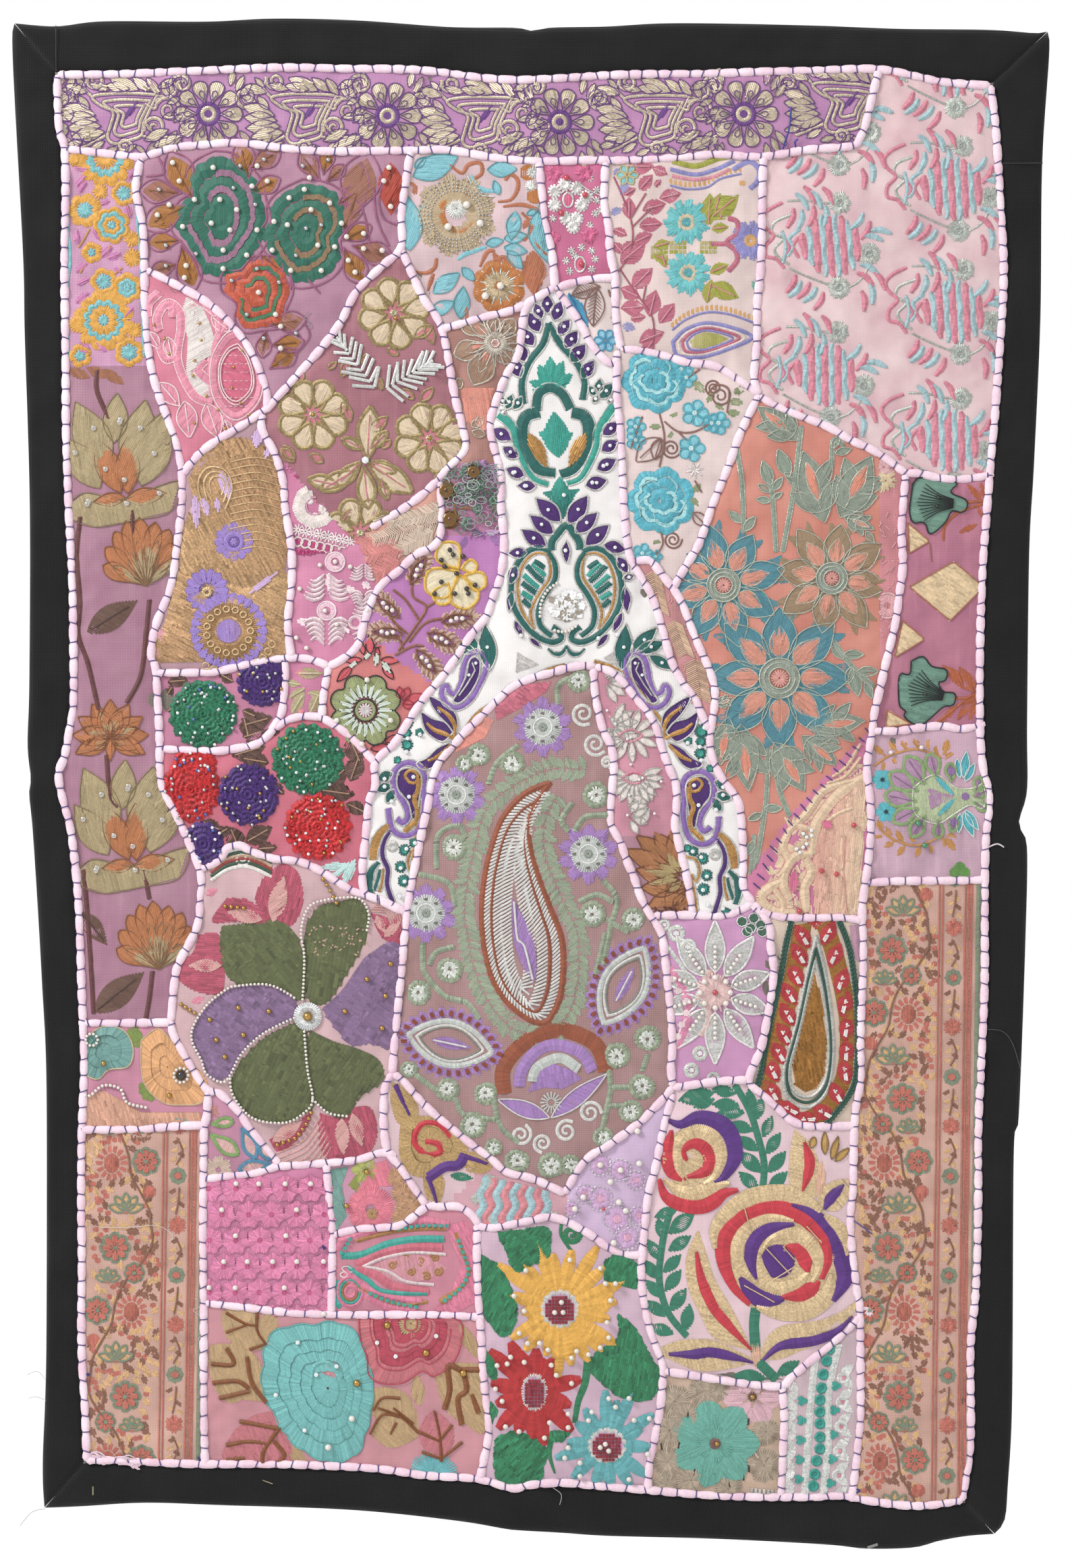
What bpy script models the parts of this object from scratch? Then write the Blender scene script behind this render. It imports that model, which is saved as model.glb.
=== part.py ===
"""A patchwork wall hanging: one quilted panel of joined patches, framed by a mitred black
cotton border, with a padded cord couched along every seam.

Metres, +Z up, +X to the right of someone facing the hanging, whose front looks along -Y.
The origin is the middle of the top edge, where the wall holds it.
Tables are in millimetres: x from the centre, and drop measured down from the top edge.
"""

import math

import bmesh
import bpy
from mathutils import Vector
from mathutils.bvhtree import BVHTree

mm = 0.001

# Cloth and trim, in millimetres.
panel_thickness = 2.0
border_thickness = 2.2
cord_radius = 2.2
piece_gap = 0.3
cord_lift = 0.6
cord_step = 18.0
# Points of 0.8 mm that a run's end may lose to a run laid before it.
skipped_ends = 7
corner_rise = 6.0
corner_reach = 90.0

# How many cells the panel has across and down. The border strips share them.
cells_across = 28
cells_down = 42

# The border's outer edges, each from left to right or from top to bottom.
outer_top = [
    (-306, -1), (-281, 1), (-253, -2), (-193, -2), (-152, -4), (-103, -3), (-49, 1), (-10, 2), (1, 4),
    (12, 2), (46, 1), (86, -1), (163, 0), (217, 2), (271, 3), (298, 5), (306, 4),
]
outer_right = [
    (306, 4), (307, 16), (303, 82), (302, 174), (298, 260), (295, 314), (294, 412), (294, 453), (289, 473),
    (294, 488), (293, 548), (289, 646), (286, 668), (285, 810), (282, 865), (280, 885), (274, 893),
]
outer_bottom = [
    (-288, 878), (-266, 877), (-228, 875), (-180, 877), (-103, 880), (-42, 886), (-16, 890), (-8, 891),
    (19, 893), (46, 895), (109, 897), (176, 900), (198, 902), (226, 901), (241, 897), (258, 894), (274, 893),
]
outer_left = [
    (-306, -1), (-307, 18), (-301, 134), (-300, 185), (-297, 286), (-297, 385), (-298, 426), (-296, 446),
    (-297, 456), (-295, 480), (-290, 565), (-287, 633), (-287, 784), (-289, 851), (-288, 878),
]

# The cords that edge the panel, in the same order.
edge_top = [
    (-280, 30), (-207, 28), (-148, 25), (-103, 26), (-62, 27), (-22, 32), (3, 33), (46, 30), (73, 29),
    (109, 29), (163, 27), (204, 26), (230, 31), (244, 34), (272, 36),
]
edge_right = [
    (272, 36), (275, 60), (278, 100), (280, 147), (276, 219), (271, 271), (266, 354), (266, 412), (268, 440),
    (271, 453), (271, 466), (269, 487), (269, 557), (265, 660), (264, 743), (260, 784), (260, 838), (255, 873),
]
edge_bottom = [
    (-263, 850), (-242, 850), (-196, 852), (-103, 854), (-62, 859), (-31, 861), (-11, 866), (-1, 864),
    (19, 863), (46, 866), (109, 871), (163, 872), (184, 871), (204, 874), (230, 876), (255, 873),
]
edge_left = [
    (-280, 30), (-280, 46), (-279, 64), (-276, 77), (-276, 140), (-276, 205), (-274, 286), (-271, 347),
    (-271, 399), (-273, 415), (-276, 433), (-279, 441), (-279, 449), (-276, 462), (-272, 480), (-268, 527),
    (-265, 606), (-266, 665), (-266, 770), (-264, 824), (-263, 850),
]

# The seams inside the panel. Each run stops short of the cords that it meets.
seams = {
    "top_strip": [
        (-278, 73), (-239, 78), (-228, 78), (-212, 73), (-193, 71), (-170, 70), (-126, 75), (-69, 74), (-49, 74),
        (-22, 79), (-3, 81), (14, 81), (32, 80), (60, 80), (86, 79), (109, 77), (136, 78), (163, 74), (190, 72),
        (195, 67), (198, 60), (202, 43), (206, 26),
    ],
    "left_long": [
        (-230, 77), (-234, 97), (-230, 120), (-229, 150), (-228, 178), (-223, 211), (-211, 246), (-207, 265),
        (-207, 286), (-210, 311), (-214, 334), (-222, 354), (-225, 373), (-222, 383), (-220, 423), (-220, 440),
        (-218, 453), (-209, 470), (-196, 500), (-196, 518), (-198, 534), (-208, 554), (-211, 565), (-213, 590),
    ],
    "lotus_end": [(-268, 591), (-239, 591), (-213, 591)],
    "flower_left": [(-213, 590), (-211, 600), (-193, 629), (-185, 632), (-174, 642), (-166, 654), (-149, 675)],
    "vine_left": [(-191, 630), (-192, 646), (-194, 660), (-194, 737), (-194, 797), (-193, 854)],
    "vine_left_top": [(-268, 654), (-234, 654), (-201, 652), (-193, 652)],
    "scallop_top": [
        (-194, 684), (-180, 682), (-163, 680), (-150, 676), (-126, 674), (-103, 672), (-89, 668), (-80, 670),
    ],
    "square_right": [(-121, 674), (-119, 701), (-118, 714), (-118, 763)],
    "pink_bottom": [(-194, 757), (-166, 760), (-146, 762), (-103, 764), (-49, 764), (-28, 765)],
    "rose_right": [
        (-71, 74), (-75, 97), (-77, 114), (-77, 132), (-87, 142), (-103, 158), (-115, 180), (-139, 208),
        (-158, 229),
    ],
    "blue_left": [
        (-77, 132), (-72, 144), (-64, 162), (-53, 180), (-45, 219), (-41, 236), (-39, 251), (-49, 262),
        (-62, 276), (-78, 288), (-95, 298),
    ],
    "leaf_top": [
        (-228, 145), (-218, 150), (-207, 156), (-193, 164), (-180, 175), (-169, 188), (-162, 201), (-157, 216),
        (-156, 227),
    ],
    "leaf_bottom": [(-156, 227), (-169, 236), (-193, 251), (-207, 266)],
    "tan_right": [
        (-159, 230), (-159, 240), (-152, 253), (-147, 270), (-146, 286), (-142, 311), (-142, 334), (-144, 354),
        (-142, 375),
    ],
    "tan_bottom": [(-223, 384), (-190, 383), (-174, 380), (-159, 377), (-143, 375), (-131, 376), (-120, 380)],
    "violet_edge": [
        (-54, 270), (-54, 304), (-68, 314), (-78, 323), (-89, 332), (-96, 345), (-100, 358), (-103, 368),
        (-112, 376), (-120, 380),
    ],
    "blue_bottom": [(-53, 180), (-42, 177), (-27, 173), (-13, 170), (-3, 166)],
    "arch_left": [
        (14, 156), (5, 161), (-3, 167), (-6, 184), (-8, 196), (-15, 208), (-20, 222), (-24, 236), (-22, 249),
        (-18, 265), (-18, 286), (-16, 307), (-18, 327), (-22, 338), (-26, 350), (-35, 361), (-49, 381),
        (-58, 392), (-66, 402), (-74, 415), (-81, 426), (-92, 437), (-92, 450), (-96, 460), (-98, 480),
        (-100, 500), (-98, 514), (-88, 519), (-76, 525),
    ],
    "silver_left": [(5, 81), (7, 104), (8, 117), (12, 134), (14, 156)],
    "silver_right": [(44, 80), (43, 104), (46, 120), (47, 134), (50, 150), (50, 167), (51, 181), (53, 192)],
    "silver_bottom": [(14, 156), (27, 152), (40, 150), (50, 150)],
    "arch_tip": [(16, 158), (23, 167), (30, 178), (36, 190), (47, 201), (52, 197)],
    "arch_right": [
        (51, 193), (51, 219), (53, 240), (54, 266), (55, 286), (57, 307), (60, 318), (68, 331), (73, 341),
        (78, 359), (83, 377), (90, 390), (97, 399), (102, 410), (106, 418),
    ],
    "salmon_left": [(135, 219), (125, 240), (117, 262), (108, 283), (104, 294), (99, 308), (92, 320), (84, 334)],
    "strip_right": [
        (60, 318), (70, 317), (77, 325), (84, 334), (89, 342), (94, 355), (99, 367), (105, 380), (109, 392),
        (109, 403), (107, 415), (106, 427), (109, 439), (116, 451), (121, 457), (124, 466), (126, 491),
        (126, 511), (132, 520),
    ],
    "flower_top": [(53, 192), (66, 193), (80, 196), (93, 200), (109, 202), (125, 212), (135, 219)],
    "pot_left": [(138, 78), (137, 97), (136, 140), (134, 167), (134, 188), (132, 209), (135, 219)],
    "pot_bottom": [
        (135, 220), (145, 226), (160, 232), (176, 238), (190, 246), (201, 251), (212, 258), (221, 265),
        (230, 266), (244, 269), (258, 269), (274, 266),
    ],
    "tulip_left": [
        (222, 266), (220, 286), (219, 300), (220, 320), (218, 338), (216, 354), (210, 378), (206, 395),
        (203, 408), (202, 418), (199, 440), (201, 460), (201, 480), (199, 500), (197, 514), (196, 527),
        (197, 557), (195, 599), (195, 626), (192, 646), (191, 687), (189, 707), (190, 729), (193, 750),
        (195, 763), (195, 817), (193, 844), (190, 874),
    ],
    "tulip_bottom": [(202, 418), (217, 418), (230, 416), (244, 415), (255, 417), (269, 414)],
    "vine_right_top": [(199, 508), (217, 507), (258, 507), (271, 506)],
    "red_top": [(132, 520), (134, 524), (149, 528), (170, 529), (184, 529), (197, 531)],
    "red_left": [
        (132, 520), (141, 533), (142, 545), (144, 558), (143, 572), (140, 588), (136, 606), (129, 625),
        (138, 634), (147, 642), (155, 649), (167, 652), (193, 652),
    ],
    "star_bottom": [(84, 629), (93, 628), (109, 626), (129, 625)],
    "star_top": [(73, 527), (96, 527), (109, 528), (121, 526), (132, 520)],
    "oval_left": [
        (38, 380), (27, 380), (14, 383), (0, 387), (-11, 392), (-19, 399), (-28, 408), (-38, 418), (-45, 426),
        (-53, 435), (-58, 446), (-61, 462), (-64, 474), (-68, 494), (-71, 510), (-74, 533), (-78, 572),
        (-80, 592), (-82, 621),
    ],
    "oval_foot_left": [
        (-82, 621), (-76, 625), (-68, 634), (-57, 645), (-46, 654), (-35, 663), (-23, 672), (-15, 679),
        (0, 683), (12, 688), (20, 692),
    ],
    "oval_foot_right": [
        (20, 692), (23, 687), (28, 678), (35, 670), (46, 663), (60, 653), (69, 645), (78, 636), (84, 629),
    ],
    "oval_right": [
        (84, 629), (83, 617), (84, 606), (83, 586), (81, 569), (79, 552), (77, 538), (70, 526), (65, 516),
        (61, 504), (57, 495), (53, 484), (47, 473), (47, 462), (48, 449), (49, 437), (47, 426), (43, 418),
        (40, 406), (38, 395), (37, 381),
    ],
    "arch_inner": [
        (38, 380), (47, 383), (55, 390), (62, 399), (69, 407), (74, 416), (78, 429), (82, 440), (86, 450),
        (86, 464), (85, 474), (88, 488), (92, 504), (94, 515), (96, 527),
    ],
    "rose_left": [
        (84, 633), (80, 646), (77, 660), (74, 676), (70, 691), (68, 707), (66, 725), (65, 743), (68, 763),
        (73, 780), (78, 794), (77, 817), (73, 838), (70, 851), (69, 868),
    ],
    "rose_bottom": [
        (78, 797), (93, 799), (109, 802), (122, 804), (136, 806), (149, 806), (154, 801), (163, 793),
        (174, 784), (184, 775), (195, 765),
    ],
    "blue_trim_left": [(149, 806), (150, 824), (149, 844), (148, 872)],
    "sun_left": [
        (-32, 710), (-32, 729), (-31, 750), (-30, 766), (-29, 784), (-28, 805), (-25, 831), (-28, 851),
        (-30, 861),
    ],
    "sun_top": [
        (-32, 711), (-22, 712), (-11, 710), (0, 708), (10, 706), (19, 708), (27, 712), (36, 717), (46, 724),
        (57, 728), (66, 728),
    ],
    "bud_left": [(-82, 621), (-86, 628), (-87, 640), (-87, 653), (-85, 667), (-78, 676), (-70, 688), (-62, 699)],
    "scallop_low": [
        (-118, 717), (-103, 713), (-89, 712), (-76, 710), (-62, 700), (-53, 700), (-43, 700), (-35, 705),
        (-31, 711),
    ],
    "flower_arc": [
        (-196, 500), (-185, 495), (-180, 488), (-173, 486), (-165, 490), (-152, 494), (-139, 495), (-128, 499),
        (-112, 509), (-103, 514), (-87, 519), (-74, 526),
    ],
    "yarn_upper": [(-146, 375), (-146, 388), (-147, 399), (-148, 408), (-154, 419)],
    "yarn_middle": [
        (-220, 429), (-200, 430), (-185, 430), (-172, 428), (-161, 425), (-150, 415), (-139, 410), (-126, 410),
        (-118, 414), (-109, 420), (-98, 431), (-92, 437),
    ],
    "yarn_right": [(-120, 380), (-123, 396), (-124, 410)],
}

# The cloth's soft creases: from one end to the other, how far they stand out and how wide they are.
creases = [
    {"start": (1, -5), "end": (-15, 900), "rise": 2.6, "width": 24.0},
    {"start": (-300, 447), "end": (-40, 452), "rise": 2.4, "width": 24.0},
    {"start": (-40, 452), "end": (295, 474), "rise": 2.4, "width": 24.0},
]

# Broad swells of the cloth: where each is, how far it reaches across and down, and how far it stands out.
swells = [
    {"x": -150, "drop": 150, "across": 95, "down": 80, "rise": 2.2},
    {"x": 150, "drop": 120, "across": 90, "down": 85, "rise": 1.8},
    {"x": -170, "drop": 330, "across": 80, "down": 90, "rise": -1.6},
    {"x": 170, "drop": 340, "across": 85, "down": 85, "rise": 2.4},
    {"x": -120, "drop": 610, "across": 90, "down": 90, "rise": 2.6},
    {"x": 30, "drop": 560, "across": 70, "down": 120, "rise": 2.0},
    {"x": 240, "drop": 640, "across": 60, "down": 120, "rise": -1.5},
    {"x": -60, "drop": 800, "across": 110, "down": 60, "rise": 1.8},
    {"x": 150, "drop": 760, "across": 80, "down": 80, "rise": 2.0},
]

palette = {
    "patchwork": ((0.62, 0.33, 0.36), 0.85),
    "black_cotton": ((0.014, 0.014, 0.015), 0.9),
    "cord": ((0.80, 0.62, 0.71), 0.8),
}


def clear_scene():
    for item in list(bpy.data.objects):
        bpy.data.objects.remove(item, do_unlink=True)


def collection(name):
    made = bpy.data.collections.new(name)
    bpy.context.scene.collection.children.link(made)
    return made


def material(name):
    colour, roughness = palette[name]
    made = bpy.data.materials.new(name)
    made.use_nodes = True
    surface = made.node_tree.nodes["Principled BSDF"]
    surface.inputs["Base Color"].default_value = (*colour, 1.0)
    surface.inputs["Roughness"].default_value = roughness
    surface.inputs["Metallic"].default_value = 0.0
    return made


def curve_through(points, count):
    """Evenly spaced points along a smooth curve through the given ones."""
    ends = [points[0], *points, points[-1]]
    fine = []
    for before, start, end, after in zip(ends, ends[1:], ends[2:], ends[3:]):
        for step in range(8):
            t = step / 8
            spot = []
            for a, b, c, d in zip(before, start, end, after):
                slope = (c - a) * t + (2 * a - 5 * b + 4 * c - d) * t**2 + (3 * b - a - 3 * c + d) * t**3
                spot.append(b + slope / 2)
            fine.append(Vector(spot))
    fine.append(Vector(points[-1]))
    travelled = [0.0]
    for a, b in zip(fine, fine[1:]):
        travelled.append(travelled[-1] + (b - a).length)
    line = []
    at = 0
    for i in range(count):
        wanted = travelled[-1] * i / (count - 1)
        while at < len(fine) - 2 and travelled[at + 1] < wanted:
            at += 1
        share = (wanted - travelled[at]) / max(travelled[at + 1] - travelled[at], 1e-9)
        line.append(fine[at].lerp(fine[at + 1], min(share, 1.0)))
    return line


def length_of(points):
    return sum(math.dist(a, b) for a, b in zip(points, points[1:]))


def bump(distance, width):
    return math.exp(-((distance / width) ** 2))


def distance_to_run(x, drop, start, end):
    run = Vector(end) - Vector(start)
    share = (Vector((x, drop)) - Vector(start)).dot(run) / run.length_squared
    nearest = Vector(start) + run * min(max(share, 0.0), 1.0)
    return (Vector((x, drop)) - nearest).length


def rise_at(x, drop):
    """How far the cloth's front stands out from the wall's plane, in millimetres."""
    rise = 0.0
    for crease in creases[:1]:
        rise += crease["rise"] * bump(distance_to_run(x, drop, crease["start"], crease["end"]), crease["width"])
    across = min(distance_to_run(x, drop, crease["start"], crease["end"]) for crease in creases[1:])
    rise += creases[1]["rise"] * bump(across, creases[1]["width"])
    for swell in swells:
        reach = math.hypot((x - swell["x"]) / swell["across"], (drop - swell["drop"]) / swell["down"])
        rise += swell["rise"] * bump(reach, 1.0)
    rise += 1.2 * math.sin(x / 48 + 0.6) * bump(drop, 60)
    rise += 1.6 * math.sin(x / 41 + 1.9) * bump(drop - 885, 70)
    rise += 1.5 * math.sin(drop / 52 + 0.4) * bump(x + 285, 45)
    rise += 1.7 * math.sin(drop / 57 + 2.2) * bump(x - 285, 45)
    rise += corner_rise * bump(math.hypot(x - 278, drop - 890), corner_reach)
    rise += 0.5 * corner_rise * bump(math.hypot(x + 288, drop - 880), corner_reach)
    return rise


def place(x, drop, out=0.0):
    """The world point at x and drop, out millimetres in front of the cloth's face."""
    return Vector((x * mm, -(rise_at(x, drop) + out) * mm, -drop * mm))


def pushed_out(line, outward, distance):
    """The line moved sideways, to the left of its direction where outward is 1."""
    moved = []
    for i, spot in enumerate(line):
        along = (line[min(i + 1, len(line) - 1)] - line[max(i - 1, 0)]).normalized()
        moved.append(spot + Vector((along.y, -along.x)) * outward * distance)
    return moved


def panel_edges():
    """The panel's four cut edges: the edge cords' lines moved out by the cord's radius."""
    top = pushed_out(curve_through(edge_top, cells_across + 1), 1, cord_radius)
    bottom = pushed_out(curve_through(edge_bottom, cells_across + 1), -1, cord_radius)
    left = pushed_out(curve_through(edge_left, cells_down + 1), -1, cord_radius)
    right = pushed_out(curve_through(edge_right, cells_down + 1), 1, cord_radius)
    corners = {
        "top_left": Vector((left[0].x, top[0].y)),
        "top_right": Vector((right[0].x, top[-1].y)),
        "bottom_left": Vector((left[-1].x, bottom[0].y)),
        "bottom_right": Vector((right[-1].x, bottom[-1].y)),
    }
    top[0] = left[0] = corners["top_left"]
    top[-1] = right[0] = corners["top_right"]
    bottom[0] = left[-1] = corners["bottom_left"]
    bottom[-1] = right[-1] = corners["bottom_right"]
    return {"top": top, "bottom": bottom, "left": left, "right": right}


def mapped_grid(name, across, down, spot_at, thickness, surface, home):
    """A grid primitive laid over spot_at(i, j) and thickened towards the wall."""
    bpy.ops.mesh.primitive_grid_add(x_subdivisions=across, y_subdivisions=down, size=1)
    sheet = bpy.context.object
    sheet.name = name
    sheet.data.name = name
    for vertex in sheet.data.vertices:
        i = round((vertex.co.x + 0.5) * across)
        j = round((0.5 - vertex.co.y) * down)
        vertex.co = spot_at(i, j)
    front_out = sheet.data.polygons[0].normal.y < 0
    solid = sheet.modifiers.new("Cloth", "SOLIDIFY")
    solid.thickness = thickness * mm
    solid.offset = -1.0 if front_out else 1.0
    finish(sheet, surface, home)
    return sheet


def finish(item, surface, home):
    item.data.materials.clear()
    item.data.materials.append(surface)
    for holder in list(item.users_collection):
        holder.objects.unlink(item)
    home.objects.link(item)


def make_panel(surface, home):
    edges = panel_edges()

    def spot_at(i, j):
        u = i / cells_across
        v = j / cells_down
        top, bottom = edges["top"], edges["bottom"]
        left, right = edges["left"], edges["right"]
        flat = top[i] * (1 - v) + bottom[i] * v + left[j] * (1 - u) + right[j] * u
        flat -= (top[0] * (1 - u) + top[-1] * u) * (1 - v) + (bottom[0] * (1 - u) + bottom[-1] * u) * v
        return place(flat.x, flat.y)

    return mapped_grid("patchwork_panel", cells_across, cells_down, spot_at, panel_thickness, surface, home)


def make_border(side, inner, outer, outward, surface, home):
    """One border strip between the panel's edge and the outer edge, with mitred ends."""
    near = pushed_out(inner, outward, piece_gap)
    count = len(inner)
    far = curve_through(outer, count)
    # The mitres part by the same gap, so each end moves in along the strip.
    for line in (near, far):
        for end, beside in ((0, 1), (-1, -2)):
            line[end] = line[end] + (line[beside] - line[end]).normalized() * piece_gap

    def spot_at(i, j):
        flat = near[i].lerp(far[i], j / 2)
        return place(flat.x, flat.y)

    return mapped_grid("border_" + side, count - 1, 2, spot_at, border_thickness, surface, home)


def front_of(panel):
    """The panel as built, for finding its front under a cord."""
    seen = panel.evaluated_get(bpy.context.evaluated_depsgraph_get())
    mesh = bmesh.new()
    mesh.from_mesh(seen.to_mesh())
    tree = BVHTree.FromBMesh(mesh)
    mesh.free()
    seen.to_mesh_clear()
    return tree


def nearest_on(line, spot):
    """The point of a line of points that is nearest to spot."""
    best = line[0]
    for a, b in zip(line, line[1:]):
        run = b - a
        share = (spot - a).dot(run) / max(run.length_squared, 1e-9)
        there = a + run * min(max(share, 0.0), 1.0)
        if (spot - there).length < (spot - best).length:
            best = there
    return best


def end_clears(line, others):
    """Whether the end cap at line[0] stands clear of every other cord."""
    along = (line[1] - line[0]).normalized()
    side = Vector((-along.y, along.x)) * cord_radius
    for other in others:
        for corner in (line[0] + side, line[0], line[0] - side):
            if (nearest_on(other, corner) - corner).length < cord_radius + 2 * piece_gap:
                return False
    return True


def trimmed(line, others):
    """The line cut back at both ends until its caps clear the other cords."""
    for _ in range(2):
        while len(line) > 3 and not end_clears(line, others):
            line = line[1:]
        line = line[::-1]
    return line


def make_cord(name, line, tree, surface, home):
    count = max(3, round(length_of(line) / cord_step) + 1)
    spots = curve_through([tuple(spot) for spot in line], count)
    shape = bpy.data.curves.new(name, "CURVE")
    shape.dimensions = "3D"
    shape.bevel_depth = cord_radius * mm
    shape.bevel_resolution = 1
    shape.use_fill_caps = True
    run = shape.splines.new("POLY")
    run.points.add(len(spots) - 1)
    for point, spot in zip(run.points, spots):
        start = Vector((spot.x * mm, -0.1, -spot.y * mm))
        found = tree.ray_cast(start, Vector((0, 1, 0)))[0]
        front = found.y if found else place(spot.x, spot.y).y
        point.co = (spot.x * mm, front - (cord_radius + cord_lift) * mm, -spot.y * mm, 1.0)
    cord = bpy.data.objects.new(name, shape)
    home.objects.link(cord)
    shape.materials.append(surface)
    return cord


def make_cords(tree, surface, home):
    """Where two cords meet, the one that ends there stops, and of two ends the later one does."""
    runs = {
        "cord_edge_top": edge_top,
        "cord_edge_bottom": edge_bottom,
        "cord_edge_left": edge_left,
        "cord_edge_right": edge_right,
    }
    for name, points in seams.items():
        runs["cord_" + name] = points
    fine = {name: curve_through(points, max(12, round(length_of(points) / 0.8))) for name, points in runs.items()}
    names = list(fine)
    for number, name in enumerate(names):
        before = [fine[other] for other in names[:number]]
        after = [fine[other][skipped_ends:-skipped_ends] for other in names[number + 1:]]
        fine[name] = trimmed(fine[name], before + [line for line in after if len(line) > 1])
        make_cord(name, fine[name], tree, surface, home)


def build():
    clear_scene()
    home = collection("patchwork_wall_hanging")
    surfaces = {name: material(name) for name in palette}
    panel = make_panel(surfaces["patchwork"], home)
    edges = panel_edges()
    sides = {
        "top": (outer_top, 1),
        "bottom": (outer_bottom, -1),
        "left": (outer_left, -1),
        "right": (outer_right, 1),
    }
    for side, (outer, outward) in sides.items():
        make_border(side, edges[side], outer, outward, surfaces["black_cotton"], home)
    make_cords(front_of(panel), surfaces["cord"], home)


build()
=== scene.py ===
import math

import bmesh
import bpy
import numpy as np
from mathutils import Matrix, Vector

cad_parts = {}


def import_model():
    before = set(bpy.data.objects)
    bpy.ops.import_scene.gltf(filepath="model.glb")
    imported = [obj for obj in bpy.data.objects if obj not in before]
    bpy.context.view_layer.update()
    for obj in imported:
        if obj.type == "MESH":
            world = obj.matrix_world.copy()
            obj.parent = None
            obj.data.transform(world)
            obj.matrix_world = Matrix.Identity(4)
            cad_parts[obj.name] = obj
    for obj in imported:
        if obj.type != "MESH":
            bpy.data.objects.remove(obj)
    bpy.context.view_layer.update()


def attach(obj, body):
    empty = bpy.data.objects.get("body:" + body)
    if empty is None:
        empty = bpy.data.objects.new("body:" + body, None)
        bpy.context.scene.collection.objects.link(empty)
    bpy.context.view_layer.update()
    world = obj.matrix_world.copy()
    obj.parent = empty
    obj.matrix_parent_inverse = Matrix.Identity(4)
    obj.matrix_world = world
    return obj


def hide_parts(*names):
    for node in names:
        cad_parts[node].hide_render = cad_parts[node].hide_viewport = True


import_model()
rng = np.random.default_rng(7)

# Sizes are in millimetres: x from the hanging's centre and drop down from its top edge.
mm = 0.001
fullLight = 0.68  # how much of a colour's lightness is dye; the rest is the studio's light
threadLight = 1.02  # threads shade one another, so their own dye is lighter than they look
faded = 0.1  # how far an old dye has gone toward grey


def linear(code):  # a colour given as six hex digits
    parts = np.array([int(code[i:i + 2], 16) / 255 for i in (0, 2, 4)])
    shade = np.where(parts <= 0.04045, parts / 12.92, ((parts + 0.055) / 1.055) ** 2.4) * fullLight
    return shade * (1 - faded) + shade @ (0.3, 0.6, 0.1) * faded


def smoothLine(points, spacing):
    pts = np.array([points[0], *points, points[-1]], float)
    t = np.linspace(0, 1, 9)[:-1, None]
    parts = []
    for a, b, c, d in zip(pts, pts[1:], pts[2:], pts[3:]):
        square, cube = 2 * a - 5 * b + 4 * c - d, 3 * b - a - 3 * c + d
        parts.append(b + ((c - a) * t + square * t**2 + cube * t**3) / 2)
    fine = np.vstack([*parts, pts[-1:]])
    return evenly(fine, spacing)


def evenly(line, spacing):
    line = np.asarray(line, float)
    gone = np.concatenate([[0], np.cumsum(np.hypot(*np.diff(line, axis=0).T))])
    count = max(2, int(round(gone[-1] / spacing)) + 1)
    at = np.linspace(0, gone[-1], count)
    return np.column_stack([np.interp(at, gone, line[:, 0]), np.interp(at, gone, line[:, 1])])


# The cloth's outline and seams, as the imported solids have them.
outerEdge = {
    "top": [
        (-306, -1), (-281, 1), (-253, -2), (-193, -2), (-152, -4), (-103, -3), (-49, 1), (-10, 2), (1, 4),
        (12, 2), (46, 1), (86, -1), (163, 0), (217, 2), (271, 3), (298, 5), (306, 4),
    ],
    "right": [
        (306, 4), (307, 16), (303, 82), (302, 174), (298, 260), (295, 314), (294, 412), (294, 453),
        (289, 473), (294, 488), (293, 548), (289, 646), (286, 668), (285, 810), (282, 865), (280, 885),
        (274, 893),
    ],
    "bottom": [
        (-288, 878), (-266, 877), (-228, 875), (-180, 877), (-103, 880), (-42, 886), (-16, 890), (-8, 891),
        (19, 893), (46, 895), (109, 897), (176, 900), (198, 902), (226, 901), (241, 897), (258, 894),
        (274, 893),
    ],
    "left": [
        (-306, -1), (-307, 18), (-301, 134), (-300, 185), (-297, 286), (-297, 385), (-298, 426), (-296, 446),
        (-297, 456), (-295, 480), (-290, 565), (-287, 633), (-287, 784), (-289, 851), (-288, 878),
    ],
}
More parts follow.
